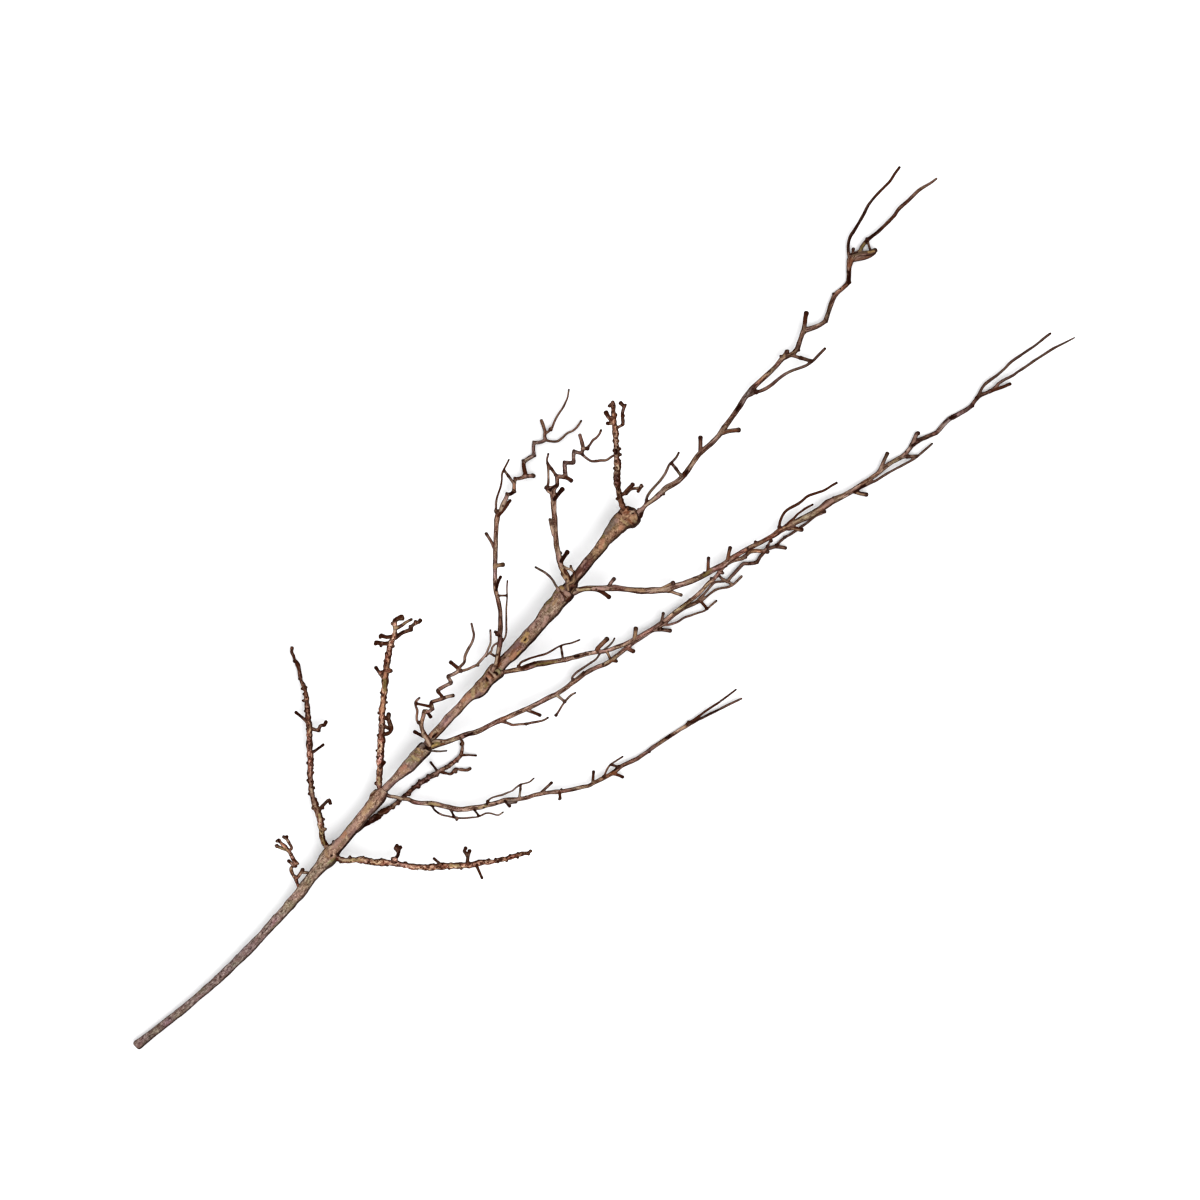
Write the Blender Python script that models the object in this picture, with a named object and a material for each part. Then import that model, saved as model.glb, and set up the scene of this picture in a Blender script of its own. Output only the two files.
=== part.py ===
"""A bare forsythia branch, cut and lying on its side.

The branch is drawn in plan, in millimetres, as it looks from straight above: +X runs from the cut end
towards the tips and +Y is to the left of the stem. Every point is then given a height above the surface
that the branch lies on. The stem is split at its main forks, and each side branch is a piece of its own
with its twigs, stubs and knobs fused to it.
"""

import bmesh
import bpy
import numpy as np

MM = 0.001
VIEW_HEIGHT = 4000.0  # the plan was drawn as seen from this height, so raised points look larger
CENTRE = (-53.78, 7.16)  # the middle of the plan, which becomes the origin
GAP = 0.3  # clearance between a piece and what it grows from
STEM_ROUNDING = 2  # bevel resolutions: 8 sides, 6 sides and 4 sides
BRANCH_ROUNDING = 1
TWIG_ROUNDING = 0
KNOB_BASE = 1.15  # a knob's width at its root and at its tip, as shares of its size
KNOB_TIP = 0.75
WELD = 0.000001
SMALL_BEND = 0.85  # a station this near to the straight line between its neighbours is left out
MODEL_NAME = "forsythia_branch"

BARK = {
    "stem": (0.27, 0.20, 0.16),
    "knobby": (0.16, 0.09, 0.06),
    "smooth": (0.20, 0.12, 0.08),
}
BARK_ROUGHNESS = 0.85

# Height of the stem's middle over the surface, by the place along X.
STEM_HEIGHTS = [
    (-643, 4.5), (-615, 4.6), (-560, 6.5), (-500, 9), (-430, 12.5), (-370, 15.5), (-290, 18.5),
    (-226, 20.5), (-122, 22.5), (-17, 23.5), (88, 24),
]

# The stem's sections, each from one fork to the next: x, y and diameter at each station.
STEM = {
    "stem_1": [
        (-643, 12.9, 7.6), (-641, 12.7, 9), (-630, 11.5, 8.3), (-615, 9.4, 7.6), (-600, 7.6, 7),
        (-580, 5.3, 7.1), (-560, 3.8, 7.1), (-540, 2.4, 7.6), (-520, 1.9, 7.8), (-500, 1.8, 8.3),
        (-480, 2, 8.3), (-460, 3, 8.6), (-445, 3.7, 9), (-430, 5, 10), (-415, 6, 10.4),
        (-400, 8.2, 10.6), (-388, 9.2, 11.5), (-380, 10, 14.5), (-371, 10.8, 17), (-366, 11.6, 13.6),
        (-360, 11.8, 11.2), (-345, 12.7, 10.4), (-330, 14, 10.5), (-315, 15.6, 11.4),
        (-300, 16.8, 13), (-295, 17.3, 14), (-290.5, 18, 12.4),
    ],
    "stem_2": [
        (-291, 18.6, 7.6), (-280, 19, 7.4), (-270, 18.8, 7.9), (-260, 18.5, 10.5), (-250, 18.3, 12.7),
        (-240, 19, 13), (-232, 19, 14.3), (-227, 19, 13.5),
    ],
    "stem_3": [
        (-228, 19.6, 8.4), (-215, 22.3, 8.6), (-200, 22.7, 8.1), (-185, 23.6, 8.1), (-170, 24, 8.2),
        (-162, 24, 9.5), (-155, 23, 12), (-148, 22.3, 13.6), (-140, 22.8, 13.2), (-130, 23.5, 14.6),
        (-124, 23.4, 16.3), (-121.5, 23.5, 14.5),
    ],
    "stem_4": [
        (-123, 23.9, 10.5), (-110, 25, 12), (-100, 24.3, 12.2), (-90, 24.4, 12.1), (-80, 24.9, 12.7),
        (-70, 25.2, 13), (-60, 25.8, 13.2), (-50, 27.2, 15.7), (-40, 28.2, 16), (-30, 29.1, 16.3),
        (-24, 29.5, 17.5), (-19, 29.5, 17.5), (-16, 29.8, 15),
    ],
    "stem_5": [
        (-17, 31, 8.5), (-8, 32.5, 8.6), (0, 33.4, 9.1), (10, 34.4, 9.7), (20, 35.6, 9.4),
        (30, 36.4, 9.5), (40, 37.5, 11), (50, 38.5, 12.3), (60, 39.3, 14.6), (66, 40, 16.5),
        (72, 39.8, 18.8), (78, 38.8, 21.4), (84, 37.3, 20.4), (88, 36.2, 14),
    ],
}

# Thin twigs that grow straight from a stem section. A twig is its points in plan, its diameters at
# the root and at the tip, and how far it rises from root to tip.
STEM_TWIGS = {
    "stem_2": [([(-229, 17), (-225, 11), (-220, 6.5), (-215, 1.7)], 2.2, 1.6, -9)],
    "stem_4": [
        ([(-22, 31), (-21.4, 38.5), (-19.5, 47), (-19, 54), (-20.5, 62), (-22.4, 68.5)], 2.4, 1.9, 34),
    ],
}

# The side branches. Each has:
#   grows_from  the pieces that it is seated on
#   route       x, y and diameter along its middle, starting inside the stem
#   heights     height over the surface, by the share of the route's length
#   twigs       points in plan, diameter at the root and at the tip, rise
#   rungs       short links from the branch to one of its twigs: both ends and the diameter
#   knobs       place of the tip and size
BRANCHES = {
    "spur": {
        "bark": "knobby",
        "grows_from": ["stem_1"],
        "route": [
            (-416, 7, 3.4), (-413, 18, 3.2), (-409, 28.3, 3), (-402, 29.2, 3), (-399.5, 36, 3),
            (-397.3, 48, 3), (-397, 58, 3.8),
        ],
        "heights": [(0, 13.5), (0.25, 19), (1, 40)],
        "twigs": [
            ([(-398, 43), (-400, 48.3), (-402.5, 54.6)], 2.6, 2.8, -3),
            ([(-398, 41), (-393, 43.2), (-391, 50), (-388.3, 54.4)], 2.6, 2.4, 5),
            ([(-391.2, 49), (-391.3, 56.8)], 2.4, 2.4, 3),
            ([(-413, 18), (-406, 18.4), (-400.8, 19.6)], 2.8, 3.4, 3),
            ([(-403, 18.8), (-399.2, 13.3)], 2.4, 2.2, -2),
            ([(-405, 29), (-404.6, 35.8)], 2.6, 2.6, 3),
        ],
        "rungs": [],
        "knobs": [(-403.3, 26, 3.4)],
    },
    "branch_1_left": {
        "bark": "knobby",
        "grows_from": ["stem_1"],
        "route": [
            (-370, 11, 5), (-368, 20, 5.2), (-363.3, 30, 5.2), (-356.7, 38, 5.2), (-350, 48.3, 5.2),
            (-345.8, 57, 5), (-338.3, 70, 5), (-329.2, 80.6, 5.2), (-319.2, 90, 5.2),
            (-309.2, 101.7, 5), (-298.3, 112.5, 5), (-290.8, 121.7, 4.8), (-281.7, 132.5, 4.3),
            (-272.5, 144.2, 3.9), (-268.3, 154.2, 3.5), (-261.7, 164.2, 3.3), (-258.8, 172, 3.1),
            (-255, 181.3, 2.8), (-251.7, 184, 2.6),
        ],
        "heights": [(0, 15.5), (0.3, 17), (0.6, 12), (0.85, 4.5), (1, 1.4)],
        "twigs": [
            ([(-348, 50), (-334, 50.5), (-334.5, 46.8)], 2.8, 2.6, 4),
            ([(-293.8, 118), (-294.6, 135.8)], 2.6, 2.4, 5),
            ([(-297, 114), (-291.2, 107.5), (-286.7, 108.8), (-280.6, 106.8)], 2.8, 2.8, -3),
            ([(-312, 98), (-297.9, 93.3)], 2.2, 2, 3),
        ],
        "rungs": [],
        "knobs": [
            (-351.6, 56.2, 3.4), (-343.5, 69, 3.2), (-322.7, 92.2, 3.2), (-308, 107, 3.2),
            (-276.8, 143.5, 2.8), (-355.6, 31.5, 3.2), (-324.4, 80.4, 3.2), (-289.8, 120.2, 3),
        ],
    },
    "branch_1_right": {
        "bark": "knobby",
        "grows_from": ["stem_1"],
        "route": [
            (-370, 10.8, 5.5), (-367, 1, 5.6), (-363.3, -5, 5.6), (-353.3, -14.2, 5.6),
            (-344.2, -26.7, 5.6), (-334.2, -37.5, 5.6), (-325, -50, 5.6), (-315.8, -61.7, 5.6),
            (-305.8, -71.7, 5.6), (-295, -80.8, 5.5), (-283.3, -91.7, 5.3), (-271.7, -100, 5),
            (-260.8, -109.2, 4.6), (-250.8, -115.4, 4.2), (-239.2, -121.7, 3.8), (-230, -127.5, 3.4),
            (-225.8, -128.3, 3.2),
        ],
        "heights": [(0, 15.5), (0.35, 19), (0.7, 24), (1, 30)],
        "twigs": [
            ([(-331, -41), (-326.7, -38.2), (-316.5, -33.6)], 2.8, 3.4, 5),
            ([(-322, -36), (-319.8, -30.4)], 2.8, 3, 3),
            ([(-299, -77), (-300.2, -65)], 2.6, 2.4, 4),
            ([(-282, -93), (-275, -88.3), (-268.8, -84.8)], 2.8, 3.4, 3),
            ([(-275.5, -88.5), (-273.3, -82), (-269.6, -80.2)], 2.6, 3, 3),
            ([(-275.4, -98), (-280, -113.5)], 2.6, 2.4, -4),
        ],
        "rungs": [],
        "knobs": [
            (-357.8, -4, 3.2), (-348.6, -14, 3.2), (-322.3, -48.1, 3.2), (-265.6, -102.2, 3),
            (-350.6, -21.9, 3.2), (-311.4, -69.8, 3.2), (-288.1, -92.2, 3.2), (-240.6, -124.4, 2.8),
        ],
    },
    "branch_1_under": {
        "bark": "knobby",
        "grows_from": ["stem_1"],
        "route": [
            (-352, 12.2, 3), (-343, 9.5, 3), (-334.6, 7.9, 3), (-323.3, 6.7, 4.2), (-310, 4.4, 4.8),
            (-300, 2.5, 4.4), (-288, 0.4, 4.4), (-271.7, -0.9, 4.2), (-258.3, -2.2, 4.6),
            (-245, -5, 4.4), (-231.7, -8.3, 4.2), (-218.3, -11.2, 4), (-209, -11.3, 3.6),
            (-202, -7.5, 3), (-197.9, -3, 2.8), (-196.7, 0, 2.4),
        ],
        "heights": [(0, 16), (0.06, 8.5), (0.12, 6), (0.25, 3.4), (0.6, 2.3), (1, 2.3)],
        "twigs": [
            ([(-237, -7), (-234.6, 5)], 2.6, 2.4, 3),
            ([(-237, -7.5), (-228.3, -17.5), (-218.3, -21.7), (-210.8, -27.3)], 2.6, 2.8, 0),
            ([(-209, -11), (-202.5, -16.7), (-197.5, -22.5)], 2.4, 2, 0),
        ],
        "rungs": [],
        "knobs": [(-309, 1.4, 3.2), (-302.4, 6.2, 3), (-250.8, -7, 3)],
    },
    "branch_2_left": {
        "bark": "knobby",
        "grows_from": ["stem_1", "stem_2"],
        "route": [
            (-293, 18, 5.5), (-288, 24.5, 5.6), (-280, 32.2, 5.6), (-270, 41, 5.6), (-260, 50, 5.7),
            (-250.8, 58.3, 5.8), (-241.7, 66.3, 5.8), (-231.7, 76.2, 5.6), (-221.7, 84.2, 5.4),
            (-211.7, 92.5, 5.2), (-200, 102.5, 5.2), (-190, 110, 5.4), (-181.7, 115.8, 4.8),
            (-172.5, 119.2, 4.6), (-165.5, 124.5, 4.4), (-160, 129.3, 4.8), (-152.3, 127.4, 4.2),
        ],
        "heights": [(0, 18.5), (0.3, 28), (0.7, 40), (1, 48)],
        "twigs": [
            ([(-274, 37), (-267, 38)], 3.2, 3, 2),
            ([(-250, 58.5), (-245, 55.6), (-238, 57), (-233.3, 65.8), (-229.8, 69)], 2.6, 3, 3),
            ([(-208.5, 97), (-206.2, 111)], 2.8, 2.8, 5),
            ([(-181, 117), (-185.8, 125), (-190, 127.8)], 3.2, 3.4, 5),
            ([(-175, 119), (-178.8, 127.5), (-180.4, 130)], 3.2, 3.2, 6),
            ([(-174, 119), (-163.3, 116.7), (-154, 112.6)], 3.2, 3.4, -4),
            ([(-156, 113.5), (-146, 113), (-141, 113.1)], 2.8, 2.8, -3),
            ([(-166, 124), (-159.6, 122.3), (-147, 119.6)], 3, 2.3, 2),
        ],
        "rungs": [(-237, 71, -233.6, 66, 2.2)],
        "knobs": [
            (-269, 47.2, 3.2), (-253.1, 61.6, 3.2), (-236.9, 77.2, 3.2), (-204.4, 103.6, 3.2),
            (-254.8, 50.2, 3.2), (-222.6, 77.8, 3.2), (-198.6, 97.6, 3.6), (-165.2, 130.4, 3.2),
        ],
    },
    "branch_2_right": {
        "bark": "smooth",
        "grows_from": ["stem_1", "stem_2"],
        "route": [
            (-293, 17, 4), (-288, 12, 4), (-284.2, 5.8, 4), (-276.7, -5, 4.2), (-270.3, -17, 4.4),
            (-260.5, -28, 5), (-253.3, -40, 5), (-243.3, -52.5, 5), (-230.8, -62, 4.8),
            (-219.2, -68.8, 4.5), (-208.3, -74.6, 4.3), (-198.3, -83.3, 4.2), (-185, -91.2, 4),
            (-173.3, -99.2, 4), (-161.7, -108.8, 4), (-149.2, -117, 4), (-139.2, -123.3, 4),
            (-127.5, -127, 4.2), (-112, -131.5, 4.2), (-100, -133.3, 4), (-85, -138.3, 4),
            (-70, -141, 4), (-50, -145, 3.7), (-35, -148.2, 3.7), (-24, -151.5, 3.2), (-10, -156, 2.6),
            (10, -162.7, 2.5), (30.5, -169.8, 2.1),
        ],
        "heights": [(0, 18.5), (0.1, 17), (0.3, 14), (0.55, 8), (0.75, 2.4), (0.85, 1.9), (1, 4)],
        "twigs": [
            ([(-33, -149), (-24, -148.6), (-15, -151.5), (5, -155), (20, -157.7), (33, -159.5)], 2.8, 1.8, 5),
            ([
                (-267, -21), (-265.4, -30.8), (-263.3, -40.8), (-254.2, -54.2), (-244.2, -63.3),
                (-231.7, -70), (-225, -79.2), (-218.3, -81.5),
            ], 2.1, 1.6, -3),
            ([
                (-226, -65), (-216.7, -63.3), (-206.7, -68.8), (-196.7, -72.9), (-186.7, -74.2),
                (-172.5, -79.3),
            ], 2.1, 1.6, 5),
            ([(-208.8, -74), (-209.6, -82)], 2.8, 2.6, -3),
            ([(-180, -94.5), (-163, -95)], 2.8, 2.8, 3),
            ([(-165, -106), (-168, -112.6)], 2.8, 2.8, -2),
            ([(-135, -125.5), (-125.6, -116.5)], 2.8, 2.8, 4),
            ([(-125, -128), (-115, -124.6), (-110, -123.8), (-94.6, -126.8)], 2, 1.6, 5),
            ([(-115, -130), (-108.8, -142)], 3.4, 2.8, -2),
        ],
        "rungs": [
            (-253.8, -40, -257, -50.4, 2.1), (-237, -57.5, -238.3, -66.3, 2), (-196, -84.5, -186.5, -74.4, 2),
            (-104, -132.6, -108.7, -124, 2.4),
        ],
        "knobs": [],
    },
    "branch_3_left": {
        "bark": "smooth",
        "grows_from": ["stem_2", "stem_3", "branch_3_right"],
        "route": [
            (-225, 20.5, 3.8), (-220.6, 24, 3.8), (-217.6, 30, 3.6), (-215, 35.8, 3.4), (-208, 42, 3.3),
            (-202.5, 45.4, 3.3), (-199.3, 42, 3.1), (-195.5, 41.8, 3.1), (-191.7, 46.3, 3.2),
            (-181.3, 42.2, 3.4), (-178.8, 50.3, 3.2), (-163.8, 46.9, 3.3), (-161.2, 53, 3.3),
            (-150, 49.9, 3.1), (-140, 52.2, 2.2), (-135, 55.8, 2.2), (-120.8, 60.4, 2),
            (-114.2, 64.2, 1.9), (-107.5, 74.2, 1.7),
        ],
        "heights": [(0, 20.5), (0.05, 29), (0.3, 34), (0.6, 38), (1, 34)],
        "twigs": [
            ([(-201, 44.5), (-202.3, 36.8)], 2.8, 2.6, -3),
            ([(-183, 42.5), (-171, 36.1)], 3.2, 2.8, -3),
            ([(-150, 49), (-149.6, 62)], 3.2, 3.4, 4),
            ([(-151, 50), (-143.3, 45), (-132.5, 40.2), (-123.3, 41.7), (-108.3, 46.7), (-98.8, 56.3)], 2.6, 1.6, -4),
            ([(-215.5, 36), (-214.4, 44), (-207.5, 50.8), (-202.5, 58.2), (-196.7, 58.5)], 2.2, 1.8, 5),
            ([(-217, 30), (-224.8, 38.5)], 2.8, 2.7, 4),
        ],
        "rungs": [(-195.5, 42.5, -203.5, 56.4, 2.3)],
        "knobs": [],
    },
    "branch_3_right": {
        "bark": "smooth",
        "grows_from": ["stem_2", "stem_3"],
        "route": [
            (-226, 20, 7), (-220, 17.6, 7), (-214, 13, 6), (-208, 8.2, 5.2), (-200, 4.2, 5),
            (-188.3, -1.2, 4.8), (-176.7, -7.5, 4.8), (-162.5, -12, 4.8), (-148.3, -17.5, 4.5),
            (-135, -22.6, 4.3), (-121.7, -27.6, 4.3), (-105, -32.9, 4.3), (-91.7, -37, 4.2),
            (-80, -38.5, 4.2), (-60, -42, 4.2), (-50, -45.3, 4.2), (-40, -49.5, 4.2), (-25, -51.5, 4.2),
            (-10, -53, 4.4), (10, -57, 4.2), (30, -61.5, 4.2), (50, -64.2, 4), (63, -68.5, 3.8),
            (71, -71.5, 3.2), (85, -73.7, 2.1), (92, -76, 2.1), (101, -81.7, 2.1), (106, -83.3, 2.1),
            (117, -83.5, 2),
        ],
        "heights": [
            (0, 20.5), (0.02, 26), (0.2, 20), (0.35, 13), (0.5, 7.5), (0.65, 4.9), (0.8, 4), (1, 2.8),
        ],
        "twigs": [
            ([(-161, -12.5), (-153.5, -19.5), (-150, -26.7), (-140, -35.2), (-125, -45), (-119.8, -46.4)], 2.6, 1.9, -3),
            ([(-129.5, -25), (-125.8, -34.2), (-123.6, -39.5)], 3.1, 3, -4),
            ([(-112.5, -50.6), (-101.7, -47.9), (-90.8, -46.7), (-82.9, -48.3)], 1.9, 1.8, -1),
            ([
                (-80, -38.5), (-74.2, -35), (-63.3, -35.4), (-50.8, -37.9), (-44.2, -39), (-32.5, -37.9),
                (-16.7, -37.3),
            ], 2.1, 1.6, -1),
            ([(-36, -49.5), (-31.3, -55.2)], 2.8, 2.6, -1),
            ([(-13, -52), (-12.5, -59)], 3.4, 3.4, -1),
            ([(17, -58.5), (22, -63), (28.2, -71.7)], 3.4, 3.5, -1.5),
            ([(22, -59.5), (31, -66), (40, -70.5), (53, -75), (65, -81), (82, -83)], 2.2, 1.8, -1.5),
            ([(68, -69.8), (76, -69.2), (91, -68.4), (98, -72), (104, -77.4)], 2.2, 2.2, -0.6),
            ([(102.4, -77), (127, -76), (137.8, -83.9), (151, -82.3), (163, -87), (168.2, -94.8)], 3, 3.6, -1),
            ([(104, -83.2), (103.6, -77), (101.6, -71), (101.4, -66.5)], 2.3, 2.2, 0.4),
            ([(161.5, -86.6), (168, -86), (175, -86.3), (185, -89), (205, -92.3), (221.5, -96.2)], 2.4, 2.2, -1),
        ],
        "rungs": [(-97.9, -35.4, -96.7, -47.6, 2.6), (70.3, -71, 69.6, -82.2, 2.6)],
        "knobs": [(137.9, -85.4, 2.8)],
    },
    "branch_4_left": {
        "bark": "smooth",
        "grows_from": ["stem_3", "stem_4"],
        "route": [
            (-128, 23, 5), (-124, 24.5, 5), (-118.3, 26.6, 5), (-108.3, 34.2, 4.9), (-98.3, 42.5, 4.7),
            (-90, 50.8, 4.6), (-79.2, 61.7, 4.4), (-70.8, 74.2, 4.3), (-61.7, 86.7, 4.3),
            (-50, 98.5, 4.3), (-40, 108, 4.4), (-30, 117.5, 4.5), (-20, 126.5, 4.7), (-12, 132.5, 5.4),
            (-3, 135.4, 5.2), (6, 138.5, 5), (10, 139.3, 4), (15.5, 138, 3.6), (21, 142.3, 3.4),
            (25.5, 145, 3.6), (30, 142.7, 3.8), (35.5, 141, 4), (43.5, 151.5, 4), (55.5, 149.5, 3.8),
            (64.7, 157.3, 3.4), (74.3, 152.3, 3.3), (78.5, 156.5, 3.3), (83, 163, 3.3), (85.8, 169.3, 3.2),
        ],
        "heights": [
            (0, 22.5), (0.02, 29), (0.2, 33), (0.45, 26), (0.62, 15), (0.75, 6), (0.84, 2), (1, 4),
        ],
        "twigs": [
            ([(-96, 44.5), (-96.7, 51.9)], 2.9, 2.8, 3),
            ([(-99, 41.5), (-105.8, 42.9), (-116.7, 40.8), (-121, 40.8)], 2, 1.7, 2),
            ([
                (-103, 38.8), (-93.3, 40.8), (-88.3, 44.2), (-78.3, 54.2), (-66.7, 65), (-57.5, 74.2),
                (-51.7, 79.2),
            ], 2, 1.6, -3),
            ([(-70, 77), (-60.8, 83.8), (-53.6, 86.8)], 2.7, 2.8, -3),
            ([(-52, 97.8), (-43.3, 93.3)], 3.6, 4, 2),
            ([(-38.5, 110), (-35.5, 118.5), (-33.4, 128)], 3, 3, 4),
            ([(-13, 132.5), (-9, 138), (0, 145.5), (10, 150.5), (20, 158.5), (35, 163.7)], 2.4, 1.8, -1),
            ([(-14, 131.5), (-5, 131.8), (7.5, 134.1)], 2.8, 2.8, -3),
            ([(32.5, 142.4), (41.2, 134.3)], 3.6, 3.8, -1),
            ([(78, 156.3), (86, 154.6), (93, 158), (103, 161.5), (115, 164), (127, 171)], 2.4, 1.7, 2),
            ([(73.5, 152.6), (80, 144), (85, 141.7), (95, 141), (101, 138.6), (113.5, 140)], 2.4, 2.1, -0.4),
        ],
        "rungs": [(-70.8, 76, -62.6, 69.2, 2), (21.6, 142.5, 24, 160, 2.5)],
        "knobs": [(26.1, 147.6, 2.8), (56.2, 146.9, 2.8), (-9.6, 136.2, 3.2)],
    },
    "branch_4_right": {
        "bark": "smooth",
        "grows_from": ["stem_3", "stem_4", "branch_4_left"],
        "route": [
            (-127, 22.5, 5), (-121.5, 17.8, 5), (-112.5, 12.6, 4.8), (-101, 4.8, 5), (-89.6, -0.8, 5.3),
            (-78, -9.6, 5), (-67, -17.4, 4.7), (-55.8, -24, 4.5), (-44.2, -30.8, 4.2), (-33.3, -39.2, 4),
            (-21.7, -45, 3.9), (-10, -50.2, 4), (5, -54.3, 4), (20, -58, 3.8), (40, -61, 3.8),
            (60, -63.6, 3.8), (75, -65.2, 3.7), (88, -65, 3.6), (100, -66, 3.6), (112, -65, 3.6),
            (121, -65.7, 3.7), (130, -70.8, 4), (140, -72, 3.8), (146, -76.5, 3.8), (150, -81, 3.6),
            (152.6, -85, 3.4),
        ],
        "heights": [(0, 22.5), (0.02, 26.5), (0.2, 21), (0.4, 13.5), (0.5, 11), (0.75, 9.3), (1, 6.4)],
        "twigs": [
            ([
                (-109, 10), (-100, 11.7), (-90, 7.9), (-76.7, 0.4), (-65, -2.9), (-55.8, -6.7),
                (-42.5, -13.8),
            ], 2.3, 1.6, 3),
            ([(-38, -35.5), (-35.5, -32.6), (-22.3, -32.5)], 4, 4.2, 2),
            ([(-31.2, -40.5), (-34.3, -48.6)], 2.4, 2.3, -2),
            ([(149.6, -80.6), (156, -80.6), (163.7, -79)], 2.2, 2.1, -0.6),
        ],
        "rungs": [(-68.8, -16, -60, -5.2, 2.2)],
        "knobs": [(133, -74.4, 2.8)],
    },
    "branch_5_left": {
        "bark": "smooth",
        "grows_from": ["stem_4", "stem_5", "branch_5_right"],
        "route": [
            (-17, 31, 5), (-11, 35.5, 5.8), (-7.3, 40, 5.6), (-5, 48, 5.2), (-2, 54, 5.2), (2.5, 61, 5.2),
            (7.5, 69, 4.6), (15, 77.8, 4.6), (25, 88.8, 4.8), (35, 100.5, 4.8), (41, 107.5, 5.6),
            (45, 111.5, 5), (50.5, 111.3, 3.8), (57.3, 118, 3.8), (62.4, 111.7, 3.8), (72.2, 122, 3.9),
            (78.5, 115.7, 3.6), (87, 123, 3.5), (91, 116.7, 3.4), (95.5, 119.8, 3.3), (102.6, 131.3, 3.2),
        ],
        "heights": [(0, 23.5), (0.04, 28), (0.3, 36), (0.6, 38), (1, 33)],
        "twigs": [
            ([(-3, 51), (0.5, 43), (1.3, 39.4)], 2, 1.8, -2),
            ([(0.6, 42.5), (3.6, 46)], 1.8, 1.6, -2),
            ([(-8.5, 38), (-9, 45.8)], 2.8, 2.6, 2),
            ([(-3, 54), (3, 55.6), (11, 57)], 3.2, 3.8, -1),
            ([(4.3, 65.5), (5.5, 59.8)], 2.8, 2.6, -3),
            ([(12, 77), (18, 88), (22.6, 95.8)], 3.8, 3.4, 3),
            ([(35, 102), (45, 104.3), (52.8, 105)], 3.4, 3.8, -4),
            ([(42.5, 111), (42, 118.4)], 4, 3.8, 2),
            ([(43, 115.5), (47, 120), (57, 130.5), (62, 137), (67, 140)], 2.2, 1.7, 4),
            ([(62.4, 113), (64.3, 103.8)], 3.5, 3.4, -3),
            ([(94, 119.2), (98.6, 115.6)], 3, 2.8, 1),
            ([(97.6, 116.2), (108, 118.2), (113, 117.3), (121, 119.5)], 2.1, 1.6, 3),
            ([(91, 117), (90.6, 110), (92, 104.5), (99, 98.5), (103.5, 94.4), (112, 92.5)], 2.5, 2, -8),
        ],
        "rungs": [(57.4, 117, 60, 134.4, 2.3)],
        "knobs": [(58, 120.9, 2.8), (72.8, 124.6, 2.8), (87.8, 125.9, 2.8)],
    },
    "branch_5_right": {
        "bark": "smooth",
        "grows_from": ["stem_4", "stem_5"],
        "route": [
            (-21, 28.5, 5.4), (-14, 25.6, 5.2), (-5, 20.7, 5.2), (3, 13.5, 5.4), (12, 4.7, 5.4),
            (20, -3, 5.4), (30, -16, 5.4), (40, -26.5, 6), (50, -35.5, 5.7), (60, -41.7, 6),
            (70, -47.3, 5.2), (80, -52, 5), (90, -55.7, 4.9), (100, -58.3, 5.2), (110, -61.8, 5.4),
            (120, -63.3, 5.2), (132, -66, 4.5), (145, -69.5, 4.3), (155, -73, 4.3), (165, -76, 4.3),
            (175, -78, 5), (187, -81, 5.2), (198, -85, 5.8), (208, -88.5, 6), (218, -91.3, 6.6),
            (228, -92.8, 7.2), (237, -95, 6.4), (247, -98.5, 5), (256, -101.3, 4.8), (268, -104, 4.6),
            (280, -106, 4), (292, -107, 4), (305, -109.3, 3.9), (316, -112.5, 4), (327, -111.8, 3.8),
            (338, -112.5, 4.3), (347, -116, 3.8), (356, -119.5, 4), (368, -119, 4), (378, -119.6, 4.2),
            (388, -122.8, 3.9), (399, -125.3, 3.8), (412, -123.8, 3.8), (420, -127, 3.4), (430, -129, 2.9),
            (438, -129, 2.8), (452, -133.5, 2.8), (467, -136.3, 2.6), (482, -139, 2.5),
            (497, -142.3, 2.4), (510, -146.5, 2.1), (521, -150, 1.8),
        ],
        "heights": [
            (0, 23.5), (0.02, 24.5), (0.15, 23), (0.28, 16.5), (0.36, 14), (0.46, 10), (0.55, 6),
            (0.64, 2.1), (0.76, 2.1), (0.82, 3.4), (1, 10),
        ],
        "twigs": [
            ([(3.4, 13), (7, 5), (8.5, -5.2)], 3.8, 3.8, -5),
            ([(13, 3.5), (20, 4.4), (25.6, 5)], 3.4, 3.4, 4),
            ([(54, -39), (58.5, -49), (61, -54.3)], 2.9, 2.8, -5),
            ([(97, -57), (106.7, -46.8)], 3, 3, 4),
            ([(119, -63), (129.4, -54.8)], 3.3, 3.4, 4),
            ([
                (175, -77.4), (181, -73), (190, -69), (198, -69), (208, -72), (216, -73), (226, -76),
                (237, -81), (250.5, -84.5),
            ], 2.8, 2.3, 5),
            ([(181, -79.5), (190, -79), (200, -79), (210, -80.5), (218, -83)], 2.3, 1.9, 3),
            ([(184, -80), (189, -87), (192.7, -93.5)], 4, 3.8, -1.5),
            ([(254.6, -100), (259, -108), (263.2, -114.4)], 3.8, 3.7, -2),
            ([
                (256, -102), (264, -105.5), (275, -109), (290, -113), (305, -117.3), (320, -121.8),
                (330, -123.3), (345.5, -124.3),
            ], 2.4, 2, -3),
            ([(288, -106.5), (298, -103), (307.4, -99.3)], 3.4, 3.4, 3),
            ([(329, -111.5), (342.9, -106.9)], 3.8, 3.8, 2),
            ([
                (409, -124), (416, -121.5), (425, -119.8), (440, -121.8), (457, -122.3), (475, -125.2),
                (490, -128), (507, -130),
            ], 2.8, 2.1, 5),
            ([(423, -127.6), (443.4, -137.5)], 3.2, 2.9, 0),
        ],
        "rungs": [(314.5, -111.8, 326, -122.6, 3)],
        "knobs": [(64, -38.9, 3.4), (178.6, -75.2, 3.2)],
    },
    "branch_6_left": {
        "bark": "knobby",
        "grows_from": ["stem_5", "leader"],
        "route": [
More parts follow.
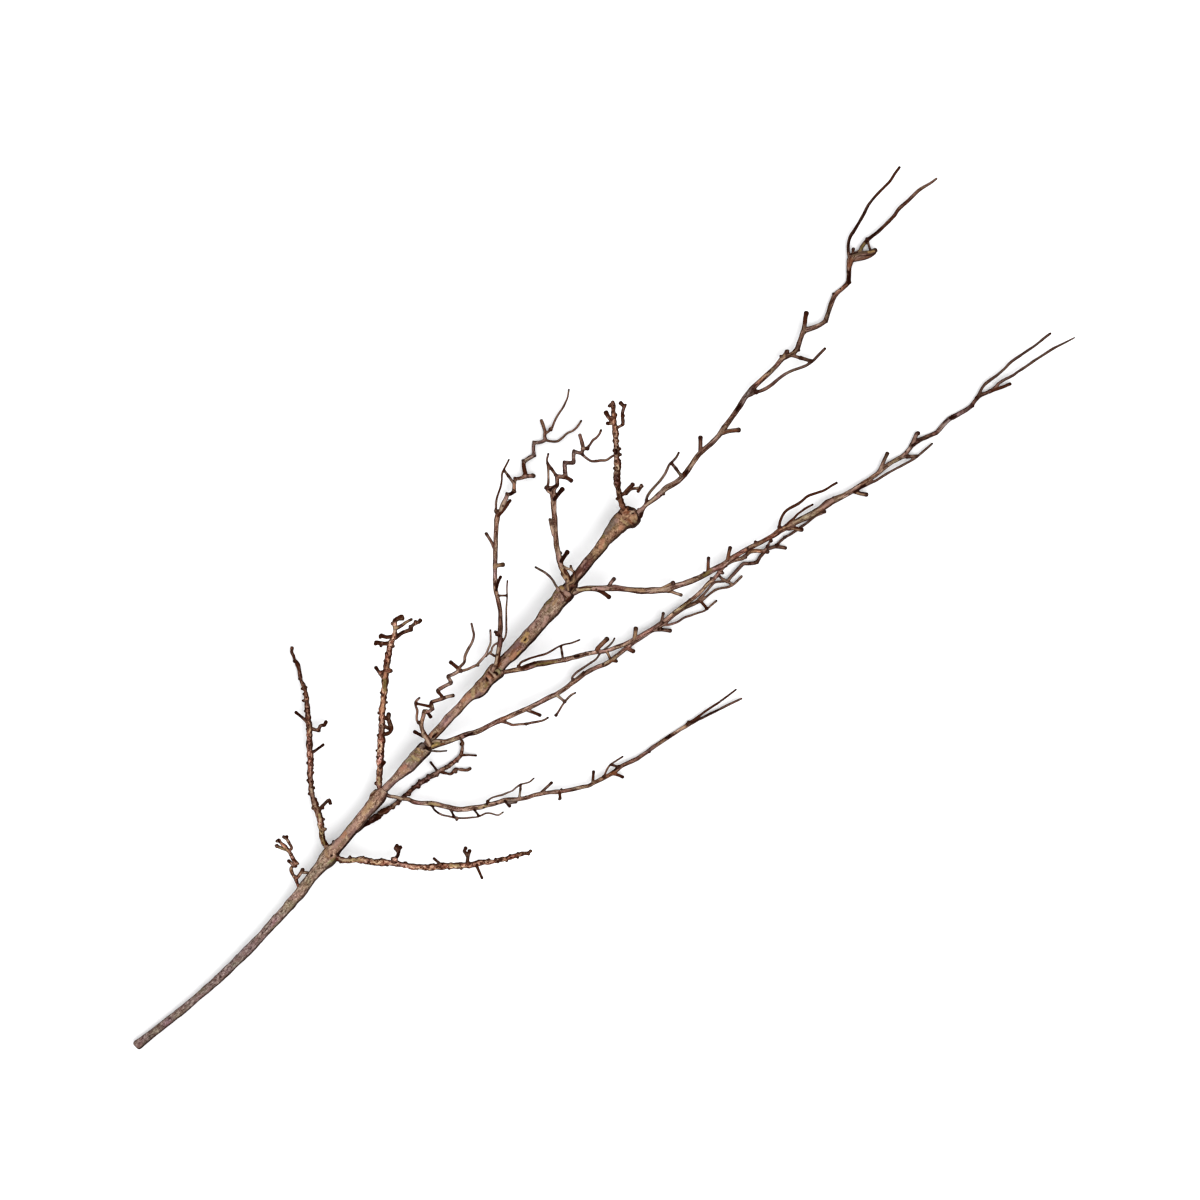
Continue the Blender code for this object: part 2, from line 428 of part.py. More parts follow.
            (80, 41, 6), (81.5, 49, 5.6), (84, 54.5, 5.6), (89, 62, 5.6), (95, 70.5, 5.8),
            (103, 78.5, 6), (111, 87, 5.8), (114, 91, 5.6), (118, 94, 5.8), (123, 101, 5.8),
            (131, 110, 5.4), (137.5, 117, 4.6), (142, 123, 4.2), (147.5, 129, 3.8), (149.5, 131.8, 3),
        ],
        "heights": [(0, 24), (0.1, 28), (0.5, 44), (1, 62)],
        "twigs": [
            ([(88, 60), (94.5, 57), (97.5, 58.7), (105.2, 58.6)], 3, 3, 2),
            ([(94, 57.3), (100, 56.5), (105, 53), (108.5, 50)], 2.9, 2.8, -2),
            ([(103.2, 49.8), (107.5, 50.4), (110.8, 52.4)], 2.6, 2.8, 0),
            ([(134, 112), (133.8, 115.8), (129.7, 120)], 3.2, 3, 3),
            ([(133.5, 112.5), (135.4, 123.3), (136.9, 129.4)], 3.4, 4.2, 4),
            ([(147.6, 129), (143, 130.8)], 2.8, 2.6, 1),
            ([(131.5, 110.5), (138, 108.4), (141, 108.7), (147, 115), (154, 119.6), (157, 120.2)], 3.2, 3, -4),
            ([(153.9, 119.2), (153.8, 125.3)], 3.2, 3.4, 0),
        ],
        "rungs": [],
        "knobs": [
            (82.8, 60.2, 3.2), (102.7, 84.1, 3.2), (114.7, 96.8, 3.2), (113, 83.9, 3.2),
            (122, 92, 3.2), (130.3, 103.8, 3.2), (142.8, 118.9, 3.2),
        ],
    },
    "leader": {
        "bark": "smooth",
        "grows_from": ["stem_5"],
        "route": [
            (82, 36, 7.6), (88.5, 34.6, 6.5), (95, 34.6, 4.6), (101, 34.4, 3.9), (110, 33.1, 4.3),
            (120, 32.7, 4.8), (130, 31.2, 4.7), (140, 28.9, 4.8), (148, 28.8, 5), (160, 30.8, 4.3),
            (172, 32.9, 4.4), (185, 32.3, 4.4), (198, 32.2, 4.2), (210, 34, 4.3), (222, 35.9, 4.2),
            (235, 38, 4.8), (245, 40.5, 5), (257, 41.5, 4.6), (270, 41.5, 4.2), (285, 41, 4),
            (298, 41.7, 4.4), (308, 38.6, 4.4), (317, 38.2, 4), (327, 43, 3.9), (336, 45.6, 4.4),
            (345, 41, 3.9), (357, 38, 4), (368, 43.7, 3.7), (380, 49, 4), (392, 48.9, 3.6),
            (401, 49.3, 3.6), (410, 58, 4), (419, 63.5, 6.5), (428, 63, 6), (435, 64.5, 3.2),
            (445, 65.2, 3), (460, 63.7, 2.9), (478, 63.6, 2.9), (490, 65.2, 2.9), (505, 64.4, 2.8),
            (520, 63.3, 2.4), (536, 60, 1.7),
        ],
        "heights": [
            (0, 24), (0.1, 22), (0.3, 17), (0.5, 10), (0.6, 5), (0.68, 2.1), (0.7, 2), (0.75, 3.4), (1, 8),
        ],
        "twigs": [
            ([(98, 34.8), (106, 39.5), (120, 41.5), (135, 43.3), (145, 46.7), (160.5, 48.7)], 2.4, 1.8, 5),
            ([(176, 32.5), (186.7, 44.8)], 3.4, 3.7, 5),
            ([(204, 32.6), (218.8, 21.6)], 3.8, 3.8, -4),
            ([
                (248, 40.5), (257, 37.3), (265, 32.8), (277, 30.5), (290, 29), (300, 25.5), (312, 20),
                (320, 18.6), (337, 18.7),
            ], 3.2, 2.1, -6),
            ([(334, 44.6), (349.2, 57.2)], 3.9, 4.2, 4),
            ([
                (416.5, 62), (421, 69.5), (428, 76.5), (436, 80.5), (450, 83.7), (460, 86.5), (470, 89.7),
                (485, 91), (500, 91), (518, 94.2),
            ], 3.4, 1.8, 10),
            ([(420, 62.5), (430, 57.5), (441.5, 52.8)], 5.6, 5.4, 1),
            ([(443.5, 65), (438.6, 55.5)], 1.8, 1.8, -0.6),
        ],
        "rungs": [(145, 29.5, 147.4, 47, 2.4), (308.5, 38, 318.4, 19, 2.8)],
        "knobs": [(309.2, 43.8, 3), (381.5, 54, 3), (317.4, 33.8, 3)],
    },
}


def clear_scene():
    """Remove whatever the file holds."""
    for obj in list(bpy.data.objects):
        bpy.data.objects.remove(obj, do_unlink=True)
    for collection in list(bpy.data.collections):
        bpy.data.collections.remove(collection)


def new_collection(name, parent):
    """Make a collection inside another."""
    collection = bpy.data.collections.new(name)
    parent.children.link(collection)
    return collection


def real_place(x, y, height):
    """Turn a plan point, as seen from VIEW_HEIGHT, and its height into a position in metres."""
    shrink = 1 - height / VIEW_HEIGHT
    return ((x * shrink - CENTRE[0]) * MM, (y * shrink - CENTRE[1]) * MM, height * MM)


def length_shares(points):
    """Give each plan point's share of the whole length, from 0 to 1."""
    plan = np.array([point[:2] for point in points], dtype=float)
    steps = np.hypot(*np.diff(plan, axis=0).T)
    along = np.concatenate([[0], np.cumsum(steps)])
    return along / along[-1]


def raised_route(route, heights):
    """Add heights to a route of x, y and diameter, as stations of x, y, height and diameter."""
    shares, levels = zip(*heights)
    raised = np.interp(length_shares(route), shares, levels)
    return without_small_bends([(x, y, float(z), d) for (x, y, d), z in zip(route, raised)])


def without_small_bends(stations):
    """Leave out the stations that hardly change the line or the diameter."""
    first, last = np.array(stations[0]), np.array(stations[-1])
    chord = last - first
    best, farthest = 0, 0
    for number, station in enumerate(stations[1:-1], start=1):
        share = np.dot(np.array(station[:3]) - first[:3], chord[:3]) / np.dot(chord[:3], chord[:3])
        off = np.linalg.norm(np.array(station) - first - share * chord)
        if off > farthest:
            best, farthest = number, off
    if farthest < SMALL_BEND:
        return [stations[0], stations[-1]]
    return without_small_bends(stations[: best + 1])[:-1] + without_small_bends(stations[best:])


def nearest_on(stations, x, y):
    """Find the point of a route that is nearest in plan, as x, y and height."""
    best = None
    for (ax, ay, az, _), (bx, by, bz, _) in zip(stations, stations[1:]):
        length_squared = (bx - ax) ** 2 + (by - ay) ** 2
        share = ((x - ax) * (bx - ax) + (y - ay) * (by - ay)) / length_squared
        share = min(max(share, 0), 1)
        foot = (ax + share * (bx - ax), ay + share * (by - ay), az + share * (bz - az))
        distance = np.hypot(foot[0] - x, foot[1] - y)
        if best is None or distance < best[0]:
            best = (distance, foot)
    return best


def nearest_of(routes, x, y):
    """Find the nearest point of several routes."""
    return min((nearest_on(stations, x, y) for stations in routes), key=lambda found: found[0])[1]


def twig_stations(points, root, tip, rise, routes):
    """Give a twig's points their heights and diameters; its root is on one of the routes."""
    start = nearest_of(routes, *points[0])[2]
    shares = length_shares(points)
    return without_small_bends(
        [(x, y, start + rise * s, root + (tip - root) * s) for (x, y), s in zip(points, shares)]
    )


def tube(name, stations, rounding, collection, grow=0):
    """Make a round rod along stations, as a mesh. With grow it is fatter and longer by that much."""
    curve = bpy.data.curves.new(name, "CURVE")
    curve.dimensions = "3D"
    curve.bevel_depth = MM
    curve.bevel_resolution = rounding
    curve.use_fill_caps = True
    spline = curve.splines.new("POLY")
    spline.points.add(len(stations) - 1)
    places = [np.array(real_place(x, y, z)) for x, y, z, _ in stations]
    if grow:
        for end, inner in ((0, 1), (-1, -2)):
            outwards = places[end] - places[inner]
            places[end] = places[end] + outwards / np.linalg.norm(outwards) * grow * MM
    for point, place, station in zip(spline.points, places, stations):
        point.co = (*place, 1)
        point.radius = station[3] / 2 + grow
    rod = bpy.data.objects.new(name, curve)
    collection.objects.link(rod)
    bpy.context.view_layer.update()
    mesh = bpy.data.meshes.new_from_object(rod.evaluated_get(bpy.context.evaluated_depsgraph_get()))
    mesh.name = name
    bpy.data.objects.remove(rod, do_unlink=True)
    bpy.data.curves.remove(curve)
    shell = bmesh.new()
    shell.from_mesh(mesh)
    bmesh.ops.remove_doubles(shell, verts=shell.verts, dist=WELD)
    bmesh.ops.recalc_face_normals(shell, faces=shell.faces)
    shell.to_mesh(mesh)
    shell.free()
    mesh.shade_smooth()
    piece = bpy.data.objects.new(name, mesh)
    collection.objects.link(piece)
    return piece


def as_cutter(piece):
    """Mark a piece as a guide that is not part of the object."""
    piece.hide_render = True
    piece.display_type = "WIRE"


def boolean(piece, operation, collection):
    """Join or cut a piece with every object of a collection."""
    modifier = piece.modifiers.new(operation.lower(), "BOOLEAN")
    modifier.operation = operation
    modifier.operand_type = "COLLECTION"
    modifier.collection = collection
    modifier.solver = "EXACT"


def bark_material(name, kind):
    """Make a bark material for one piece."""
    material = bpy.data.materials.new(name + "_bark")
    material.use_nodes = True
    shader = material.node_tree.nodes["Principled BSDF"]
    shader.inputs["Base Color"].default_value = (*BARK[kind], 1)
    shader.inputs["Roughness"].default_value = BARK_ROUGHNESS
    shader.inputs["Metallic"].default_value = 0
    return material


def add_twigs(name, growths, cutters):
    """Fuse twigs, each a list of stations, to a piece."""
    fused = new_collection(name + "_twigs", cutters)
    for number, stations in enumerate(growths, start=1):
        as_cutter(tube(f"{name}_twig_{number}", stations, TWIG_ROUNDING, fused))
    return fused


def stem_routes():
    """Give every stem section its heights."""
    places, levels = zip(*STEM_HEIGHTS)
    return {
        name: [(x, y, float(np.interp(x, places, levels)), d) for x, y, d in stations]
        for name, stations in STEM.items()
    }


def branch_growths(branch, main):
    """Work out the stations of a branch's twigs, rungs and knobs."""
    twigs = []
    for twig in branch["twigs"]:
        twigs.append(twig_stations(*twig, [main, *twigs]))
    rungs = []
    for x1, y1, x2, y2, diameter in branch["rungs"]:
        low = nearest_on(main, x1, y1)[1][2]
        high = nearest_of(twigs, x2, y2)[2]
        rungs.append([(x1, y1, low, diameter), (x2, y2, high, diameter)])
    knobs = []
    for x, y, size in branch["knobs"]:
        root = nearest_of([main, *twigs], x, y)
        knobs.append([(*root, size * KNOB_BASE), (x, y, root[2], size * KNOB_TIP)])
    return twigs + rungs + knobs


def clearance_of(name, stations, rounding, collection):
    """Make the fatter copy of a piece's main rod that others are cut back to."""
    rod = tube(name + "_clearance", stations, rounding, collection, grow=GAP)
    as_cutter(rod)
    return rod


def gathered(name, objects, cutters):
    """Put the guides that one piece is cut with into a collection of their own."""
    collection = new_collection(name, cutters)
    for obj in objects:
        collection.objects.link(obj)
    return collection


def build():
    """Make the whole branch."""
    clear_scene()
    root = bpy.context.scene.collection
    model = new_collection(MODEL_NAME, root)
    cutters = new_collection("guides", root)

    routes = stem_routes()
    routes.update({name: raised_route(b["route"], b["heights"]) for name, b in BRANCHES.items()})
    roundings = {name: STEM_ROUNDING if name in STEM else BRANCH_ROUNDING for name in routes}
    sections = list(STEM)
    seats = {name: [before] for before, name in zip(sections, sections[1:])}
    seats.update({name: b["grows_from"] for name, b in BRANCHES.items()})
    needed = [name for name in routes if any(name in names for names in seats.values())]
    clearances = {name: clearance_of(name, routes[name], roundings[name], cutters) for name in needed}

    pieces = {name: tube(name, main, roundings[name], model) for name, main in routes.items()}
    fused = {}
    for name, main in routes.items():
        if name in BRANCHES:
            growths = branch_growths(BRANCHES[name], main)
        else:
            growths = [twig_stations(*twig, [main]) for twig in STEM_TWIGS.get(name, [])]
        if growths:
            fused[name] = add_twigs(name, growths, cutters)

    for name, piece in pieces.items():
        kind = BRANCHES[name]["bark"] if name in BRANCHES else "stem"
        piece.data.materials.append(bark_material(name, kind))
        if name in fused:
            boolean(piece, "UNION", fused[name])
        if name in seats:
            rods = [clearances[seat] for seat in seats[name]]
            boolean(piece, "DIFFERENCE", gathered(name + "_seats", rods, cutters))


build()
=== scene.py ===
"""The looks of a bare forsythia branch that lies on its side, seen from straight above.

The branch is drawn in plan, in millimetres, as it looks from the camera: x runs from the cut end towards
the tips and y is to the left of the stem. Every point then gets a height above the floor. Rods with rounded
ends are swept along the routes and fused into one skin for each node of the frame, and the skin gets its
bark: ridges, knobs and scars as geometry, and streaks and patches as colour.
"""

import math

import bpy
import numpy as np
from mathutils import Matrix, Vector


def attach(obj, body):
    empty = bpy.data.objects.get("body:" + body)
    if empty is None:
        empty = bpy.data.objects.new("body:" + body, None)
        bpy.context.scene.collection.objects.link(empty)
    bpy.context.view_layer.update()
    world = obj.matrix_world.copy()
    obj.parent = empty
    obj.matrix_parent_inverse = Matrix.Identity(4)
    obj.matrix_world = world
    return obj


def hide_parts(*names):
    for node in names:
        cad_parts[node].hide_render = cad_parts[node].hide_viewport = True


# Lengths are in millimetres, and angles in degrees, where nothing else is said.
MM = 0.001
VIEW_HEIGHT = 4000.0  # the camera's height
CENTRE = (-53.78, 7.16)  # the plan's point at the frame's origin
SEED = 7
STEP = 1.0  # spacing of the stations along a rod
ROD_ROUNDING = 6
CAP_STEPS = (0.35, 0.65, 0.88, 0.97)  # the rings of a rod's rounded end, as shares of its reach
STEM_VOXEL = 0.00074  # grain of the stem's skins, in metres; it keeps the whole under a million triangles
BRANCH_VOXEL = 0.00056  # the same for the side branches' skins
LONG_TWIG = 22  # a twig longer than this is a thin twig, and a shorter one is a stub
ROOT_SWELL = (0.25, 2.2)  # how much a twig or stub swells at its root, and over what length
END_SWELL = (0.16, 2)  # the same for a stub's end
FLOOR_GAP = 0.02  # the skins' lowest height
PIECE_GAP = 40  # room between two rods in the noise's own length
BATCH = 4000  # vertices that are compared with a rod at once
MAIN_REACH = 9  # how far past its own radius a main rod looks for its vertices
SMALL_REACH = 1.5
TINY = 1e-6  # keeps a length that is divided by from being zero
RELAX_SHARE = 0.5  # how far and how often the fused skin is smoothed
RELAX_TIMES = 2
BUDS_START = 12.0  # the buds keep this far from a branch's root, and so far from its tip
BUDS_END = 4
BUD_LEAN = 1.4  # a bud's largest angle from straight up or down, in radians
UPPER_BUDS = 0.6  # the share of the buds that are on the upper side
KNOB_TAPER = (1.7, 1.4)  # a knob's diameters at its root and middle, beside the one at its tip

KINDS = ("main", "twig", "stub", "knob", "bud")
TWIG_KINDS = (KINDS.index("twig"), KINDS.index("stub"))
# How long the dark tip of each kind of rod is: where it is darkest, and where it ends.
DARK_TIPS = {"twig": (1.8, 3.4), "stub": (1.8, 6), "knob": (2, 4.4), "bud": (2, 4.4)}

# For each bark: how lumpy its rods are and over what length, the spacing and size of its buds, the depth of
# its ridges, how strongly the runs of colour show, and how strong its fine specks are.
LUMPS = {"stem": (0.06, 7), "smooth": (0.08, 6), "knobby": (0.22, 2.6), "dark": (0.22, 2.6)}
BUDS = {"smooth": ((11, 24), (1.6, 2.4)), "knobby": ((3, 7), (1.8, 3.6)), "dark": ((3, 7), (1.8, 3.6))}
RIDGES = {"stem": 0.5, "smooth": 0.5, "knobby": 1.3, "dark": 1.3}
RUN_POWER = {"smooth": 0.65, "knobby": 0.55, "dark": 0.55}
SPECKLE = {"smooth": 0.25, "knobby": 0.5, "dark": 0.5}

STEM_FULLER = 0.2  # what is added to the stem's diameters
STEM_TWIG_FULLER = 0.7
STEM_SHADE_LEAN = 0.18  # how much more painted shade the stem's right side gets than its left
STEM_SHADE_SIDES = (0.16, 0.62)  # painted shade on the sides: the slope where it starts, and where it is darkest
# The same painted shade on the side branches' sides.
BRANCH_SHADE_SIDES = (0.06, 0.55)
BRIGHTNESS = 1.22  # how much the light lifts a colour
SHEEN = 0.01  # low, so that no grey veil lies on the bark
BUMP_HEIGHT = 0.0004  # in metres
SUN_POWER = 1.2
SUN_WIDTH = 40  # wide, for soft shadows
SUN_WAY = (0, 0.5, -0.87)  # the way the light goes: down, and from the stem's right to its left
SKY_POWER = 1.15
FLOOR_COLOR = (0.97, 0.97, 0.975, 1)
FLOOR_SIZE = 12  # in metres
LENS = 120
SENSOR = 36
PICTURE_TURN = -45  # the stem runs from the lower left to the upper right
PIXEL_BLUR = 1.3

# Height of the stem's middle over the floor, by the place along x.
STEM_HEIGHTS = [
    (-643, 4.5), (-615, 4.6), (-560, 6.5), (-500, 9), (-430, 12.5), (-370, 15.5), (-290, 18.5),
    (-226, 20.5), (-122, 22.5), (-17, 23.5), (88, 24),
]

# The stem's sections: x, y and diameter at each station.
STEM = {
    "stem_1": [
        (-643, 12.5, 9), (-641, 12.3, 9.8), (-640, 12.2, 10), (-630, 11, 9.3), (-620, 9.7, 8.8),
        (-600, 7.2, 8), (-580, 4.9, 8.2), (-560, 3.4, 8), (-540, 2, 8.6), (-520, 1.5, 8.8),
        (-500, 1.4, 9.3), (-480, 1.6, 9.3), (-460, 2.6, 9.5), (-440, 3.5, 10.3), (-430, 4.6, 11),
        (-420, 4.8, 11.2), (-410, 6.4, 11.5), (-400, 7.9, 11.5), (-390, 8.6, 12), (-384, 9.2, 13.5),
        (-380, 9.6, 15.3), (-375, 10, 17.2), (-371, 10.5, 17.8), (-367.5, 11, 16), (-364, 11.4, 13.2),
        (-360, 11.3, 12.2), (-350, 11.7, 11.8), (-340, 12.9, 11), (-330, 13.6, 11.5), (-320, 14.8, 12.2),
        (-310, 15.6, 12.5), (-302, 16.2, 13.8), (-297, 16.8, 14.8), (-293, 17.4, 14.2), (-290, 17.7, 12.6),
        (-287, 18.1, 10.2),
    ],
    "stem_2": [
        (-296, 18, 8.2), (-290, 18.4, 8.4), (-280, 18.6, 8.3), (-270, 18.4, 8.7), (-260, 18.1, 11.5),
        (-250, 17.8, 13.8), (-240, 18.6, 14), (-234, 18.6, 15), (-229, 18.6, 15.4), (-226.8, 18.6, 14.4),
    ],
    "stem_3": [
        (-234, 19, 9), (-226, 19.6, 9.4), (-215, 21.9, 9.7), (-200, 22.3, 9), (-190, 23.3, 9.3),
        (-180, 23.1, 9), (-170, 23.6, 9), (-160, 23.8, 11), (-150, 21.6, 14.8), (-140, 22.4, 14),
        (-130, 23.1, 15.5), (-124, 23, 17.4), (-121.2, 23, 16.4),
    ],
    "stem_4": [
        (-130, 23.2, 11), (-122, 23.6, 12), (-110, 24.6, 13), (-100, 23.8, 13.3), (-90, 24, 13),
        (-80, 24.5, 13.7), (-70, 25.1, 14), (-60, 25.4, 14), (-50, 26.9, 16.6), (-40, 27.8, 17),
        (-30, 28.7, 17.2), (-25, 29.4, 18), (-20, 29.3, 18.8), (-16.6, 29.5, 17),
    ],
    "stem_5": [
        (-24, 29.8, 14), (-18, 29.8, 15.6), (-13, 30.2, 15.4), (-9, 31.2, 13.8), (-5.5, 32.5, 11.8),
        (-2, 33, 10.8), (4, 33.4, 10.4), (10, 34, 10.7), (20, 35.3, 10.3), (30, 36, 10.3), (40, 37.1, 12),
        (45, 38, 12), (49.3, 38.3, 13.8), (53.5, 38.9, 15.8), (57, 39.2, 16.3), (62, 39.8, 16.8),
        (66, 40, 17.8), (70.6, 40.2, 19.4), (74, 39.6, 21.6), (77.5, 38.8, 24), (81.8, 37.8, 23.2),
        (85, 37.8, 20.4), (87, 37.8, 16), (88.4, 37.8, 9),
    ],
}

# Thin twigs that grow straight from the stem: points, diameter at the root and at the tip, rise, and how
# high over the stem's middle the root sits.
STEM_TWIGS = {
    "stem_1": [
        ([(-302.5, 22), (-299.4, 24), (-296.4, 24.2), (-293, 24)], 2, 2.4, 1, 1),
        ([(-361, 15.5), (-359.6, 17.9), (-359, 18.2)], 2, 2, 0),
    ],
    "stem_2": [([(-232, 20), (-229, 17), (-225, 11.7), (-221, 7), (-215, 1.7)], 2.2, 1.3, -18, 7.2)],
    "stem_4": [
        ([(-26, 26.4), (-24, 30.4), (-22.5, 35), (-21.4, 39), (-20.8, 42), (-19.5, 47), (-19, 52),
          (-19.5, 58), (-20.8, 63), (-22.5, 69)], 2.2, 1.8, 25, 8.6),
    ],
    "stem_5": [
        ([(-15.2, 28.6), (-14, 31.6), (-12, 33.8), (-9.6, 33.4), (-7, 32.2), (-4.6, 32.4), (-1.4, 35.2),
          (2, 39.4)], 2.5, 2, -3, 9.2),
    ],
}

